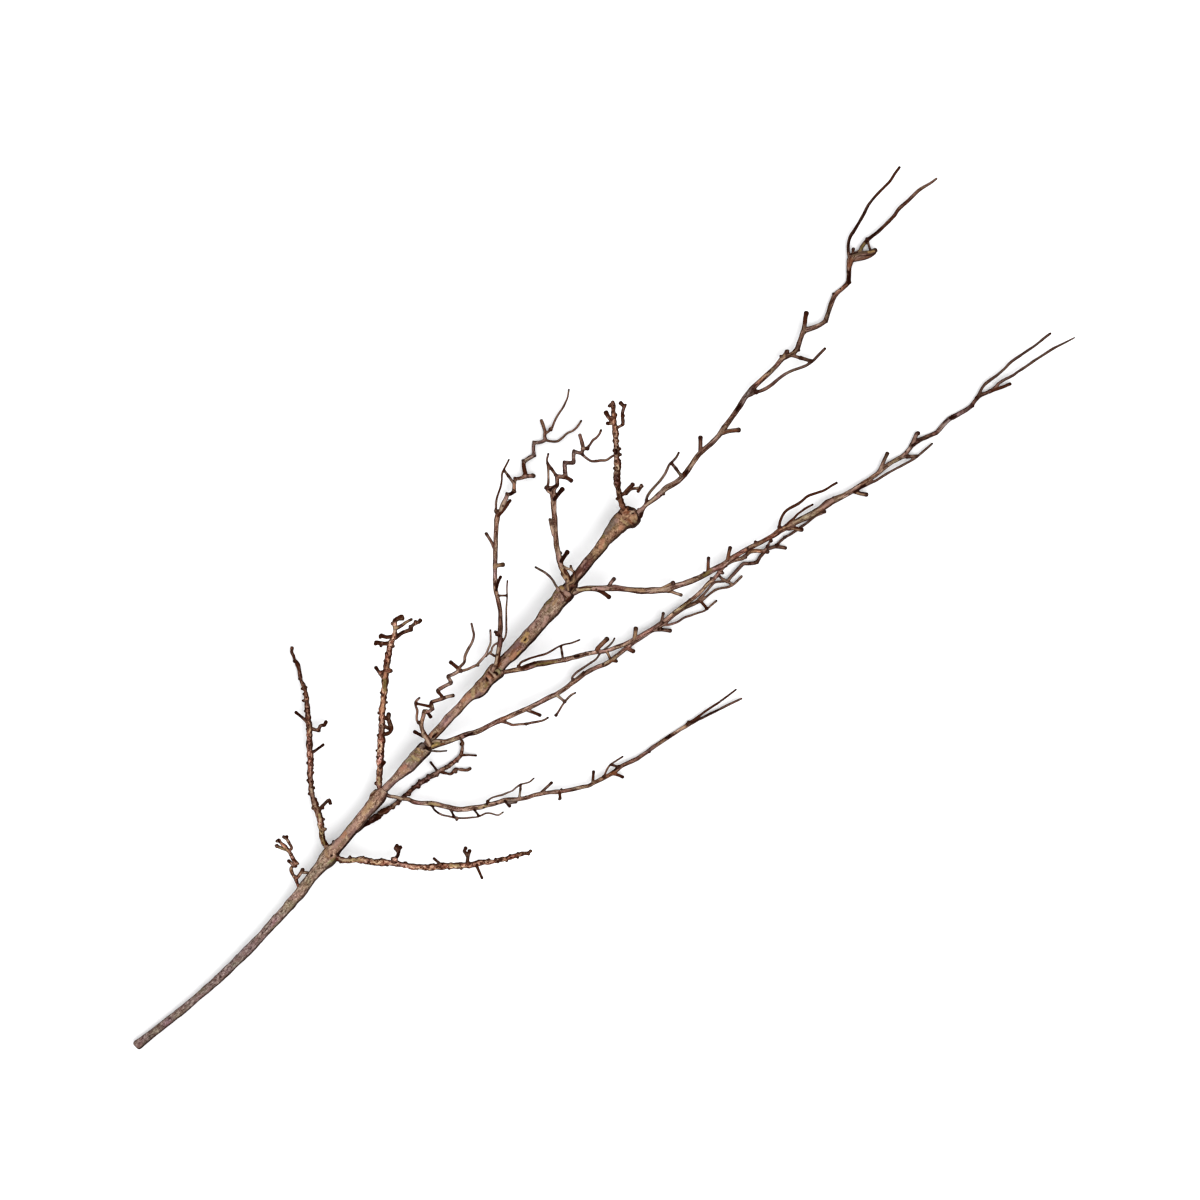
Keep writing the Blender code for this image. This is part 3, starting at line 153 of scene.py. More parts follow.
# The side branches, each with its bark, its route as x, y and diameter, its heights by the share of the
# route's length, its twigs as for the stem, its rungs as both ends and a diameter, and its knobs as the
# place of the tip and the size. A twig is listed after the twig that it grows from.
BRANCHES = {
    "spur": {
        "bark": "knobby",
        "route": [
            (-416, 7, 3.4), (-415, 12.5, 3.2), (-412.5, 18, 3), (-411, 24, 3), (-408.5, 28.5, 3),
            (-405, 29, 2.8), (-401, 29.5, 2.8), (-400, 34, 3), (-398.3, 39, 2.9), (-397.5, 43.5, 2.8),
            (-397.2, 48, 2.8), (-397.4, 53, 2.9), (-397, 57, 3.6),
        ],
        "heights": [(0, 13.5), (0.25, 19), (1, 40)],
        "twigs": [
            ([(-398, 43), (-397.7, 44), (-400, 48.3), (-402.5, 54.6)], 2.2, 2.4, -3),
            ([(-398, 40.5), (-396.7, 42.5), (-393.3, 42.5), (-391.7, 47.5), (-390.4, 52.5), (-388.6, 54.2)],
             2.3, 2.2, 5),
            ([(-391.2, 49), (-390.6, 52.5), (-391.2, 56.5)], 2, 2.2, 3),
            ([(-412.5, 18), (-408, 18), (-403.3, 18.8), (-400.8, 19.6)], 2.6, 3, 3),
            ([(-403.5, 18.8), (-402.5, 17.5), (-399.5, 13.8)], 2.2, 2, -2),
            ([(-404.5, 29), (-404.2, 30.8), (-404.6, 35.8)], 2.4, 2.4, 3),
        ],
        "knobs": [(-403.3, 26.4, 3), (-400, 26.7, 2.4), (-399.8, 58.3, 2.2), (-403.2, 55.8, 2.4)],
    },
    "branch_1_left": {
        "bark": "knobby",
        "route": [
            (-371, 9, 6), (-369.3, 15, 5.6), (-367.5, 20, 5.4), (-366.3, 25, 5), (-363.3, 30, 5),
            (-359.6, 34.2, 5), (-356.7, 38, 5), (-352.5, 43.3, 5), (-350, 48.3, 5.2), (-348, 52.5, 5.4),
            (-345.8, 57, 4.8), (-343.3, 62.5, 4.8), (-338.3, 70, 4.8), (-333.3, 75.4, 5), (-329.2, 80.6, 5),
            (-324.5, 85.3, 5), (-319.2, 90, 5.2), (-314.2, 95.8, 5), (-309.2, 101.7, 4.8),
            (-303.3, 107.5, 4.8), (-298.3, 112.5, 5), (-294.2, 116.7, 4.8), (-290.8, 121.7, 4.5),
            (-286.7, 126.7, 4.3), (-281.7, 132.5, 4), (-276.7, 138.3, 3.8), (-272.5, 144.2, 3.6),
            (-270, 149.2, 3.2), (-268.3, 154.2, 2.9), (-265, 159.2, 2.8), (-261.7, 164.2, 2.8),
            (-258.8, 170, 3.2), (-258.4, 173, 2.8), (-256.2, 177.5, 2.6), (-255, 181.3, 2.6),
            (-251.7, 184, 2.6),
        ],
        "heights": [(0, 15.5), (0.3, 17), (0.6, 12), (0.85, 4.5), (1, 1.5)],
        "twigs": [
            ([(-347, 50), (-344, 50.5), (-334, 50.7), (-333, 49.5), (-334.5, 46.8)], 2.4, 2.3, 4),
            ([(-293.8, 118), (-293.6, 126), (-294.6, 135.8)], 2.4, 2, 5),
            ([(-295.5, 114), (-291.4, 107.5), (-286.7, 108.8), (-283.3, 106.6), (-279.8, 107.5)], 2.4, 2.6,
             -3),
            ([(-311.5, 96.6), (-310, 95.4), (-297.9, 93.3)], 2, 1.8, 3),
        ],
        "knobs": [
            (-358.8, 39.2, 2.6), (-350.6, 56, 3.2), (-343.3, 68.8, 2.6), (-334.6, 79.4, 2.6),
            (-322.5, 92, 2.6), (-315.8, 98, 2.4), (-307.9, 106.7, 2.6), (-298.8, 116.2, 2.4),
            (-287.5, 130.4, 2.4), (-281.7, 139.2, 2.2), (-276.7, 143.3, 2.2), (-274.2, 148.3, 2),
            (-269.2, 157, 2), (-260.4, 173, 2.2), (-355.8, 31.7, 2.8), (-350, 40, 2.8), (-341.3, 60, 2.6),
            (-334.8, 69.2, 2.6), (-324.6, 80.6, 2.6), (-319.6, 85.8, 2.4), (-315, 90.4, 2.6),
            (-290, 120.4, 2.4), (-283.3, 128.8, 2.2), (-277.9, 134.6, 2.2), (-268.8, 145.8, 2.2),
            (-257.5, 170.4, 2), (-343, 48, 2.4), (-291.2, 105.4, 2.6), (-283.3, 105.6, 2.4),
        ],
    },
    "branch_1_right": {
        "bark": "knobby",
        "route": [
            (-371, 12, 6), (-369.5, 7.5, 5.8), (-368, 3.5, 5.6), (-366.5, -0.8, 5.4), (-363.3, -5, 5.4),
            (-358.3, -9.2, 5.5), (-353.3, -14.2, 5.6), (-349.2, -20, 5.6), (-344.2, -26.7, 5.6),
            (-339.2, -31.7, 5.8), (-334.2, -37.5, 5.8), (-328.3, -45.8, 5.6), (-325, -50, 5.6),
            (-320.8, -56.7, 5.4), (-315.8, -61.7, 5.4), (-311.7, -66.7, 5.6), (-305.8, -71.7, 5.6),
            (-300.8, -75.8, 5.4), (-295, -80.8, 5.4), (-289.2, -86.7, 5.4), (-283.3, -91.7, 5.2),
            (-277.5, -96.7, 5.2), (-271.7, -100, 4.9), (-266.7, -104.2, 4.6), (-260.8, -109.2, 4.4),
            (-256.7, -111.7, 4.2), (-250.8, -115.4, 4), (-245, -118.8, 3.8), (-239.2, -121.7, 3.5),
            (-233.3, -125, 3.3), (-230, -127.9, 3.3), (-226.2, -128.3, 3.2),
        ],
        "heights": [(0, 19), (0.03, 19.5), (0.07, 16), (0.35, 19), (0.7, 24), (1, 30)],
        "twigs": [
            ([(-331, -41), (-326.7, -38.3), (-323.3, -37.5), (-317.5, -33.8), (-315.6, -33.8)], 2.6, 2.8,
             5),
            ([(-321, -35.8), (-320, -31), (-317, -30)], 2.4, 2.6, 3),
            ([(-299.4, -76), (-299.6, -75), (-300.2, -65.4)], 2.4, 2, 4),
            ([(-281, -93), (-280, -92.3), (-275, -88.3), (-269.4, -85)], 2.5, 2.8, 3),
            ([(-275, -88.3), (-274.2, -85), (-273.3, -81.7), (-270.2, -80.4)], 2.4, 2.6, 3),
            ([(-275.2, -99), (-275.4, -101), (-280, -113.3)], 2.4, 2, -4),
        ],
        "knobs": [
            (-358, -4.2, 2.6), (-348.8, -14.2, 2.8), (-337.5, -28.3, 2.6), (-330, -35.4, 2.8),
            (-322.5, -48.3, 2.6), (-304.2, -69.2, 2.6), (-270, -98.2, 2.4), (-265.8, -102, 2.4),
            (-261.7, -104.4, 2.4), (-256.7, -108.8, 2.2), (-243.8, -116.3, 2.2), (-236.7, -120.4, 2.2),
            (-369.2, -1.9, 2.8), (-351, -22, 2.6), (-347.4, -27, 2.4), (-338.7, -37, 2.6),
            (-311.6, -70, 2.6), (-297.1, -83.7, 2.4), (-288.3, -92.3, 2.6), (-257.8, -113.7, 2.4),
            (-250.8, -119.1, 2.2), (-240.6, -124.5, 2.2), (-230.2, -130, 2.2), (-274.2, -81.2, 2.2),
            (-320.3, -30.8, 2.6),
        ],
    },
    "branch_1_under": {
        "bark": "dark",
        "route": [
            (-352, 12.2, 3), (-343, 9.5, 3), (-334.6, 7.9, 2.8), (-328, 7.2, 3.2), (-323.3, 6.7, 3.8),
            (-317.5, 5.8, 5.4), (-310.8, 4.4, 6.4), (-305, 4, 5.8), (-300, 2.5, 4.8), (-293.3, 1.2, 4.6),
            (-288.3, 0.4, 4.2), (-281.7, -0.4, 4), (-271.7, -0.9, 4.2), (-265, -1.4, 4),
            (-258.3, -2.2, 4.6), (-251.7, -3.6, 4.4), (-245, -5, 4.4), (-238.3, -7, 4.2), (-231.7, -8.3, 4),
            (-225, -10.4, 4), (-218.3, -11.2, 4), (-211.7, -11.7, 3.6), (-207.5, -10.8, 3.2),
            (-203.3, -8.3, 2.8), (-200, -5.8, 2.8), (-197.9, -3.3, 2.8), (-196.9, -0.4, 2.4),
        ],
        "heights": [(0, 16), (0.06, 8.5), (0.12, 6), (0.25, 3.4), (0.6, 2.5), (1, 2.5)],
        "twigs": [
            ([(-236.5, -6.5), (-235.8, -4.2), (-234.6, 5)], 2.2, 2.2, 3),
            ([(-236.5, -7), (-235, -7.5), (-232, -12.5), (-228.3, -17.5), (-222, -17.6), (-218.3, -21.7),
              (-214.5, -26), (-210.8, -27.3)], 2.4, 2.8, 0),
            ([(-209, -11), (-207.5, -12), (-202.5, -16.7), (-197.5, -22.5)], 2.3, 1.9, 0),
        ],
        "knobs": [
            (-318.6, 4, 3), (-309.2, 1.7, 3.4), (-311.6, 2.4, 3.2), (-302.5, 6, 3), (-296.5, 3.9, 2.6),
            (-293, -1.4, 3), (-286.6, -2.2, 2.8), (-283.8, 2, 2.4), (-272.5, -3.4, 3), (-276.6, 1.2, 2.4),
            (-260.4, -4.7, 3.2), (-264.4, 1, 2.6), (-255.4, 0.5, 3), (-250.8, -6.2, 2.8), (-245.8, -1.9, 3),
            (-239.4, -9.6, 2.4), (-226.6, -8, 2.2), (-215, -14, 2.2), (-200.8, -3.3, 2.4),
            (-223.5, -20.4, 2.6), (-221.7, -16.8, 2.4),
        ],
    },
    "branch_2_left": {
        "bark": "knobby",
        "route": [
            (-293, 18, 5.6), (-289.5, 22, 5.6), (-287.5, 25, 5.4), (-284.2, 28.3, 5.4), (-280, 32.2, 5.5),
            (-275, 36.2, 5.5), (-270, 41, 5.6), (-265, 45.3, 5.6), (-260, 50, 5.7), (-255, 54.4, 5.8),
            (-250.8, 58.3, 5.8), (-246.7, 62, 6), (-241.7, 66.3, 5.9), (-236.7, 71.2, 5.7),
            (-231.7, 76.2, 5.5), (-226.7, 80, 5.3), (-221.7, 84.2, 5.2), (-217.5, 87.5, 5),
            (-211.7, 92.5, 5), (-206.7, 96.9, 5), (-200, 102.5, 5), (-195, 105.8, 5.2), (-190, 110, 5.4),
            (-185.8, 112.5, 5), (-181.7, 115.8, 4.6), (-176.7, 117.9, 4.5), (-172.5, 119.2, 4.4),
            (-168.3, 121.7, 4.2), (-164.4, 125.6, 3.4), (-161.6, 128.6, 2.6), (-159, 130.4, 4),
            (-155.6, 129.4, 4.6), (-152.4, 127.6, 4.2),
        ],
        "heights": [(0, 18.5), (0.3, 28), (0.7, 40), (1, 48)],
        "twigs": [
            ([(-274, 37), (-267.5, 38)], 3, 2.8, 2),
            ([(-250, 58.5), (-247.5, 57.5), (-245, 55.8), (-240.8, 55), (-237.9, 57), (-235.8, 61.7),
              (-233.3, 65.8), (-230, 69)], 2.6, 2.8, 3),
            ([(-208.3, 97.5), (-207.9, 100.8), (-206.2, 110.8)], 2.6, 2.4, 5),
            ([(-180.5, 117), (-180, 118.8), (-183.3, 121.7), (-185.8, 125), (-188, 127.8)], 3, 3, 5),
            ([(-174, 119), (-172.5, 120.8), (-176.7, 124.2), (-178.8, 127.5), (-180, 129.6)], 2.8, 3, 6),
            ([(-172, 118.2), (-169.2, 117.5), (-163.3, 116.7), (-159.2, 115), (-154.2, 112.7)], 2.8, 3.2,
             -4),
            ([(-156, 113.6), (-149.2, 114.6), (-143.3, 112.5), (-141.2, 113)], 2.4, 2.6, -3),
            ([(-164.5, 124.5), (-159.6, 122.5), (-152.5, 121.3), (-147, 119.6)], 2.7, 1.9, 2),
        ],
        "rungs": [(-242, 65.5, -240.2, 58.5, 2), (-236.5, 70.5, -234.4, 66.6, 2)],
        "knobs": [
            (-288.6, 29, 3.2), (-279.2, 35, 2.8), (-268.8, 47, 2.6), (-264.6, 51.7, 2.4),
            (-252.9, 61.5, 2.8), (-240.8, 71.5, 2.6), (-236.7, 77, 2.6), (-220.8, 89.6, 2.4),
            (-204.2, 103.3, 2.6), (-195.8, 109.6, 2.4), (-189.2, 113.9, 2.8), (-255, 50.4, 2.6),
            (-222.9, 78, 2.6), (-220, 82, 2.4), (-197.6, 97.4, 4), (-193.1, 104, 2.4), (-187.3, 109, 2.6),
            (-178.6, 112.8, 2.8), (-190.6, 127.6, 2.8), (-187.9, 122, 2.4), (-182.7, 128.9, 2.4),
            (-164, 130.6, 3.2), (-158, 131.6, 2.4), (-151.6, 129, 2.2), (-153.2, 125, 2.2),
            (-159.4, 121.8, 2.6), (-153, 116.5, 2.4), (-145.4, 116.2, 2.4),
        ],
    },
    "branch_2_right": {
        "bark": "smooth",
        "route": [
            (-293, 17.5, 4.4), (-289, 13.5, 4), (-287.3, 9.8, 3.7), (-284.2, 5.8, 3.7), (-280.8, 0, 3.8),
            (-276.7, -5, 4), (-274.5, -11, 4.1), (-270.3, -17, 4.2), (-265, -22.5, 4.5), (-260.5, -28, 4.8),
            (-257, -34, 5), (-253.3, -40, 5), (-249, -47, 5), (-243.3, -52.5, 4.9), (-237, -57, 4.8),
            (-230.8, -62, 4.7), (-225, -65.2, 4.5), (-219.2, -68.8, 4.4), (-213.3, -72, 4.3),
            (-208.3, -74.6, 4.2), (-203.3, -79, 4.1), (-198.3, -83.3, 4), (-191.7, -87.9, 4),
            (-185, -91.2, 3.9), (-179.2, -95, 3.9), (-173.3, -99.2, 4), (-166.7, -104.6, 4),
            (-161.7, -108.8, 4), (-155, -113.3, 3.9), (-149.2, -117, 3.9), (-144.2, -120, 3.9),
            (-139.2, -123.3, 3.8), (-133.3, -125, 3.8), (-127.5, -127, 3.9), (-120, -129.5, 4),
            (-112, -131.5, 4.1), (-105, -132.2, 4), (-100, -133.3, 3.8), (-95, -135.2, 3.8),
            (-90, -137, 3.8), (-85, -138.6, 3.8), (-80, -139.5, 3.7), (-75, -140.6, 3.8),
            (-70, -141.2, 3.7), (-65, -142, 3.7), (-60, -143, 3.7), (-55, -143.9, 3.6), (-50, -145, 3.7),
            (-45, -146, 3.6), (-40, -147.2, 3.6), (-35, -148.2, 3.7), (-30, -149.5, 3.9),
            (-25, -150.9, 3.2), (-20, -152.8, 2.5), (-15, -154, 2.4), (-10, -156, 2.3), (-5, -157.5, 2.3),
            (0, -159.3, 2.3), (5, -161, 2.2), (10, -162.7, 2.2), (15, -164.2, 2.2), (20, -166, 2.1),
            (25, -167.8, 2.1), (30.5, -169.8, 2),
        ],
        "heights": [(0, 12), (0.02, 13), (0.1, 15), (0.3, 14), (0.55, 8), (0.75, 2.4), (0.85, 1.9), (1, 4)],
        "twigs": [
            ([(-33, -149), (-28, -149.2), (-24, -149.3), (-20, -150.8), (-15, -151.5), (-10, -152.3),
              (-5, -153), (0, -154), (5, -155), (10, -156.2), (15, -157), (20, -157.7), (25, -158.5),
              (33, -159.5)], 2.4, 1.8, 5),
            ([(-267, -21), (-264.6, -26.7), (-265.4, -30.8), (-265, -35.8), (-263.3, -40.8), (-260, -45.8),
              (-257.5, -50), (-254.2, -54.2), (-249.2, -59.2), (-244.2, -63.3), (-240, -66.7),
              (-235, -68.8), (-231.7, -70), (-228.3, -73.3), (-225, -79.2), (-222.5, -80.8),
              (-218.3, -81.5)], 1.9, 1.4, -3),
            ([(-226, -64.5), (-221.7, -62.9), (-216.7, -63.3), (-211.7, -65.8), (-206.7, -68.8),
              (-201.7, -70.8), (-196.7, -72.9), (-191.7, -73.3), (-186.7, -74.2), (-182.5, -76.7),
              (-178.3, -78.8), (-172.5, -79.3)], 1.8, 1.4, 5),
            ([(-208.8, -74), (-209.6, -81.9)], 3.2, 2.8, -3), ([(-208, -78.6), (-202, -83.2)], 3.4, 3, 0),
            ([(-179, -94.8), (-175, -94.6), (-163.3, -95)], 2.5, 2.5, 3),
            ([(-164, -106), (-165, -107.9), (-168.4, -112.1)], 2.5, 2.4, -2),
            ([(-134, -124.5), (-132.5, -122.5), (-125.8, -116.7)], 2.6, 2.5, 4),
            ([(-125, -128), (-122, -127.5), (-120, -126.7), (-115, -124.8), (-110, -123.8), (-105, -124.5),
              (-100, -125.5), (-94.5, -126.8)], 1.8, 1.5, 5),
            ([(-114, -131), (-111, -136.5), (-109, -141.5)], 3, 2.6, -2),
        ],
        "rungs": [
            (-253.8, -42, -256.4, -51, 1.9), (-237, -58, -238.3, -67, 1.8),
            (-196.7, -82.6, -190, -77.5, 1.9), (-190, -77.5, -186.4, -74.2, 1.8),
            (-104.6, -132, -108.6, -124, 2.2),
        ],
        "knobs": [
            (-72.5, -143, 2.2), (-257.4, -54.6, 2), (-221.8, -62.4, 2.2), (-170.4, -112, 1.8),
            (-23.5, -148.2, 2.4), (-122.3, -127, 2.2), (-105, -130.6, 2.2), (-276.6, -8.8, 1.8),
            (-160.6, -106, 1.8),
        ],
    },
    "branch_3_left": {
        "bark": "smooth",
        "route": [
            (-223, 17.8, 4.6), (-222, 20, 5), (-220.8, 23, 5), (-219.6, 27, 4.4), (-218.7, 30, 4.2),
            (-217.8, 33, 4), (-216, 36.4, 3.8), (-213.2, 39.2, 3.6), (-210, 41.2, 3.5), (-207, 42.8, 3.5),
            (-203, 45.2, 3.4), (-200.6, 42.3, 2.9), (-195.8, 41.7, 3), (-194.2, 43.5, 3),
            (-191.7, 46.7, 3.1), (-187.5, 45, 3), (-181.5, 42.2, 3.4), (-179.8, 44, 3), (-179.6, 46.7, 2.8),
            (-178.8, 50.6, 3.2), (-173.3, 49.6, 3), (-167.5, 47.9, 3), (-163.8, 46.7, 3.2),
            (-162.5, 50.5, 2.8), (-161.4, 53.5, 3), (-156.2, 51.3, 3), (-150, 49.8, 3.2),
            (-146.7, 51.6, 2.3), (-140, 52, 2.2), (-135, 55.8, 2.2), (-128.3, 58.3, 2.1), (-120.8, 60.4, 2),
            (-114.2, 64.2, 1.9), (-110.8, 69.2, 1.8), (-107.5, 74.2, 1.7),
        ],
        "heights": [(0, 26), (0.03, 27.6), (0.06, 29), (0.3, 34), (0.6, 38), (1, 34)],
        "twigs": [
            ([(-201.2, 44.5), (-201.4, 42.5), (-202.4, 37)], 2.4, 2.6, -3),
            ([(-182, 42.3), (-175.8, 39.2), (-171.2, 36.2)], 2.9, 2.6, -3),
            ([(-148.6, 50.5), (-148.8, 53.3), (-149.6, 61.7)], 3, 3, 4),
            ([(-150.2, 50), (-148.8, 48.3), (-143.3, 45), (-136.7, 42.5), (-132.5, 41), (-130, 41.3),
              (-123.3, 41.7), (-118.3, 42.5), (-113.3, 44.6), (-108.3, 46.7), (-103.3, 51.3),
              (-98.8, 56.3)], 2.2, 1.5, -4),
            ([(-216, 36), (-215, 41.7), (-214.6, 44.2), (-211.7, 47.5), (-207.5, 50.8), (-205, 55.8),
              (-202.5, 58.3), (-196.7, 58.5)], 1.9, 1.6, 5),
            ([(-219.4, 25), (-221.4, 28.4), (-224.3, 38)], 2.5, 2.7, 4),
        ],
        "rungs": [(-195.2, 44.5, -203.3, 57, 2)],
        "knobs": [
            (-202.7, 46.9, 2.6), (-194.8, 40.2, 2.4), (-215.2, 41.6, 2.6), (-191.6, 47.4, 2.2),
            (-179.9, 41.4, 2.4), (-178.7, 51.8, 2.2), (-163.6, 45.7, 2.4), (-161.4, 54.4, 2.2),
            (-148.6, 48.2, 2.4), (-132.4, 39.2, 2), (-140, 51.2, 1.8),
        ],
    },
    "branch_3_right": {
        "bark": "smooth",
        "route": [
            (-225, 17, 6), (-222, 16.2, 7.8), (-219, 15.4, 9), (-216, 13.8, 8.6), (-213, 11.4, 7.2),
            (-210, 9, 5.9), (-205.8, 6.7, 4.9), (-200, 4.2, 4.8), (-195, 1.7, 4.8), (-188.3, -1.2, 4.7),
            (-182.5, -5, 4.6), (-176.7, -7.5, 4.6), (-170, -9.6, 4.6), (-162.5, -12, 4.8),
            (-155, -14.8, 4.5), (-148.3, -17.5, 4.3), (-141.7, -20, 4.3), (-135, -22.6, 4.3),
            (-128.3, -25.2, 4.2), (-121.7, -27.6, 4.2), (-115, -29.8, 4.2), (-105, -32.9, 4.2),
            (-98.3, -35.4, 4.2), (-91.7, -37, 4.1), (-85, -38.2, 4.2), (-80, -38.7, 4.2), (-70, -40.5, 4.1),
            (-60, -42, 4.1), (-50, -45.3, 4.1), (-40, -49.5, 4.2), (-33, -50.5, 4.2), (-25, -51.5, 4),
            (-15, -52.5, 4.2), (-10, -53, 4.2), (0, -55, 4.1), (10, -57, 4), (20, -59.5, 4), (30, -61.5, 4),
            (40, -62.5, 4), (50, -64, 4), (57, -66, 3.9), (63, -68.5, 3.7), (69, -70.6, 3.4),
            (72, -72.3, 2.4), (78, -73, 2), (85, -73.7, 2), (90, -75, 2), (95, -78, 2), (99, -81, 2),
            (102, -82.3, 2), (106, -83.3, 2), (112, -83.5, 2), (117, -83.5, 2),
        ],
        "heights": [
            (0, 23), (0.03, 23.5), (0.2, 20), (0.35, 13), (0.5, 7.5), (0.65, 4.9), (0.8, 4), (1, 2.8),
        ],
        "twigs": [
            ([(-160, -12.9), (-157.5, -14.6), (-153.5, -19.5), (-151.7, -23.3), (-150, -26.7),
              (-145, -30.8), (-140, -35.2), (-135, -38.5), (-130, -42), (-125, -45), (-119.8, -46.4)], 2.4,
             1.8, -3),
            ([(-129.3, -25.4), (-128.5, -28), (-125.8, -34.2), (-123.8, -39.2)], 2.9, 2.7, -4),
            ([(-112.5, -50.4), (-106.7, -49.2), (-101.7, -47.9), (-95.8, -47), (-90.8, -46.7), (-86.7, -47),
              (-82.9, -48.3)], 1.8, 1.7, -1),
            ([(-79, -38), (-75, -38.6), (-62, -39.6)], 2.6, 1.6, 1.4),
            ([(-77, -38.6), (-75.8, -37), (-74.2, -35), (-68.3, -34.6), (-63.3, -35.4), (-56.7, -36.7),
              (-50.8, -37.9), (-44.2, -39), (-38.3, -37.9), (-32.5, -37.9), (-25.8, -38.8), (-20, -38.3),
              (-16.7, -37.3)], 1.8, 1.5, -1),
            ([(-36, -50), (-35, -50.4), (-31.5, -55)], 2.6, 2.4, -1),
            ([(-15, -52), (-14, -56), (-12.6, -60)], 3.6, 3.4, -1),
            ([(17, -58.8), (18, -60), (23, -65), (28, -71.5)], 3.2, 3.3, -1.5),
            ([(23, -60), (25, -61), (28, -63.5), (31, -66), (35, -68.3), (40, -70.5), (47, -72), (53, -75),
              (60, -78.3), (65, -81), (70, -82.2), (75, -82.3), (82, -83)], 2, 1.7, -1.5),
            ([(68, -70), (71, -69.2), (76, -69.3), (82, -69), (91, -68.3), (94, -68.8), (98, -72),
              (104, -77.2)], 2, 2.2, -0.6),
            ([(102.6, -76.8), (108, -76.3), (115, -76), (121, -75.8), (127, -75.8), (131, -79.5),
              (137.5, -84), (143, -82.8), (149, -82.3), (153, -82), (158, -84), (162, -86.5), (165, -90),
              (168, -94.5)], 2.9, 3.4, -1),
            ([(104, -83), (104, -80), (103, -76), (101.5, -71), (101.5, -66.5)], 2.2, 2.1, 0.4),
            ([(161.5, -86.4), (163.5, -86.3), (168, -86), (173, -86.3), (175, -86.4), (180, -88),
              (185, -89), (190, -90), (195, -90.8), (200, -91.7), (205, -92.3), (210, -92.8), (215, -94.3),
              (218, -95.8), (221.5, -96)], 2.3, 2, -1),
        ],
        "rungs": [(-97.9, -36.2, -96.7, -47.4, 2.4), (70.5, -71.5, 69.6, -82.2, 2.4)],
        "knobs": [
            (-140.4, -36.4, 2), (137.9, -85.4, 2.6), (-112.7, -51, 2.2), (-76.4, -36.6, 2.2),
            (163.6, -86, 2.4), (175.2, -85.6, 2.2), (221.2, -96, 2.4), (22.5, -62.2, 2.2),
            (-153.6, -19.8, 2), (131, -80.6, 2), (153, -80.8, 2.2),
        ],
    },
    "branch_4_left": {
        "bark": "smooth",
        "route": [
            (-131, 23.6, 5.4), (-125, 26.4, 5.4), (-118.3, 28.4, 5), (-113.3, 31.6, 4.9),
            (-108.3, 35.2, 4.8), (-103.3, 38.7, 4.7), (-98.3, 42.7, 4.7), (-95, 46.7, 4.6),
            (-90, 50.8, 4.5), (-84.2, 56.7, 4.4), (-79.2, 61.7, 4.2), (-75, 67.5, 4.1), (-70.8, 74.2, 4.1),
            (-66.7, 80.8, 4), (-61.7, 86.7, 4), (-55, 93.3, 4.1), (-50, 98.5, 4.1), (-45, 103, 4.2),
            (-40, 108, 4.2), (-35, 112.5, 4.3), (-30, 117.5, 4.4), (-25, 122, 4.4), (-20, 126.5, 4.6),
            (-15, 130.5, 5.2), (-12, 132.3, 5.2), (-8, 133.2, 4.8), (-3, 135, 4.8), (2, 137, 4.6),
            (6, 138.5, 4.2), (9, 139.8, 3.8), (12, 138.2, 3.4), (16, 138, 3.6), (21, 142.3, 3.2),
            (25.5, 145, 3.4), (30, 142.5, 3.6), (35, 140.6, 3.9), (39, 146, 3.8), (43.5, 151, 3.8),
            (50, 150.5, 3.8), (55.5, 149.5, 3.6), (60, 154, 3.1), (64.5, 157.3, 3.2), (69, 154, 3.1),
            (74, 152.2, 3.2), (77, 155.3, 3.1), (80, 157.8, 3.1), (83, 163, 3.1), (85.5, 168.5, 3.1),
        ],
        "heights": [(0, 22.5), (0.02, 29), (0.2, 33), (0.45, 26), (0.62, 15), (0.75, 6), (0.84, 2), (1, 4)],
        "twigs": [
            ([(-95.8, 44.5), (-95, 47), (-96.7, 51.7)], 2.4, 2.4, 3),
            ([(-99, 41.8), (-101.7, 41.7), (-105.8, 42.9), (-110, 42.5), (-112.5, 40.8), (-116.7, 40.8),
              (-121, 40.8)], 1.9, 1.6, 2),
            ([(-115.4, 40.8), (-114.2, 35.4)], 1.9, 1.9, -1),
            ([(-103, 38.4), (-99, 39.5), (-93.3, 40.8), (-88.3, 44.2), (-83.3, 49.2), (-78.3, 54.2),
              (-72.5, 60), (-66.7, 65), (-62.5, 68.8), (-57.5, 74.2), (-51.7, 79.2)], 1.8, 1.5, -3),
            ([(-69, 78), (-67.5, 79.6), (-60.8, 83.8), (-53.8, 86.7)], 2.5, 2.6, -3),
            ([(-51, 97.8), (-50, 98), (-46, 95.5), (-43.5, 93.5)], 3.4, 3.9, 2),
            ([(-38.3, 110.5), (-37.5, 113), (-35.5, 118.5), (-33.5, 127.5)], 2.9, 2.8, 4),
            ([(-13, 132.6), (-12, 134), (-9, 138), (-5, 142), (0, 145.5), (5, 148), (10, 150.5), (15, 154),
              (20, 158.5), (25, 160.5), (30, 162), (35, 163.7)], 2.1, 1.6, -1),
            ([(-14, 131.5), (-12, 131.3), (-5, 131.6), (0, 132.3), (7, 134)], 2.7, 2.5, -3),
            ([(33.5, 141.4), (35, 140), (38.5, 137), (41, 134.5)], 3.6, 3.7, -1),
            ([(78.3, 156.5), (79, 156.2), (84, 155.5), (88, 155.8), (93, 158), (98, 159.7), (103, 161),
              (110, 162.3), (115, 164), (120, 166), (123, 168), (127, 171)], 2.2, 1.6, 2),
            ([(73.6, 152.4), (74.5, 151.5), (77, 147.5), (80, 144), (83, 142), (88, 141.3), (95, 141),
              (100, 139), (105, 138.5), (110, 139.2), (113.5, 140)], 2.2, 2, -0.4),
        ],
        "rungs": [
            (-69.5, 75.8, -62.8, 69, 1.8), (21.5, 143, 23, 153, 2.5), (23, 152.5, 24, 159.8, 2.1),
            (33, 136, 34, 140, 0.1),
        ],
        "knobs": [
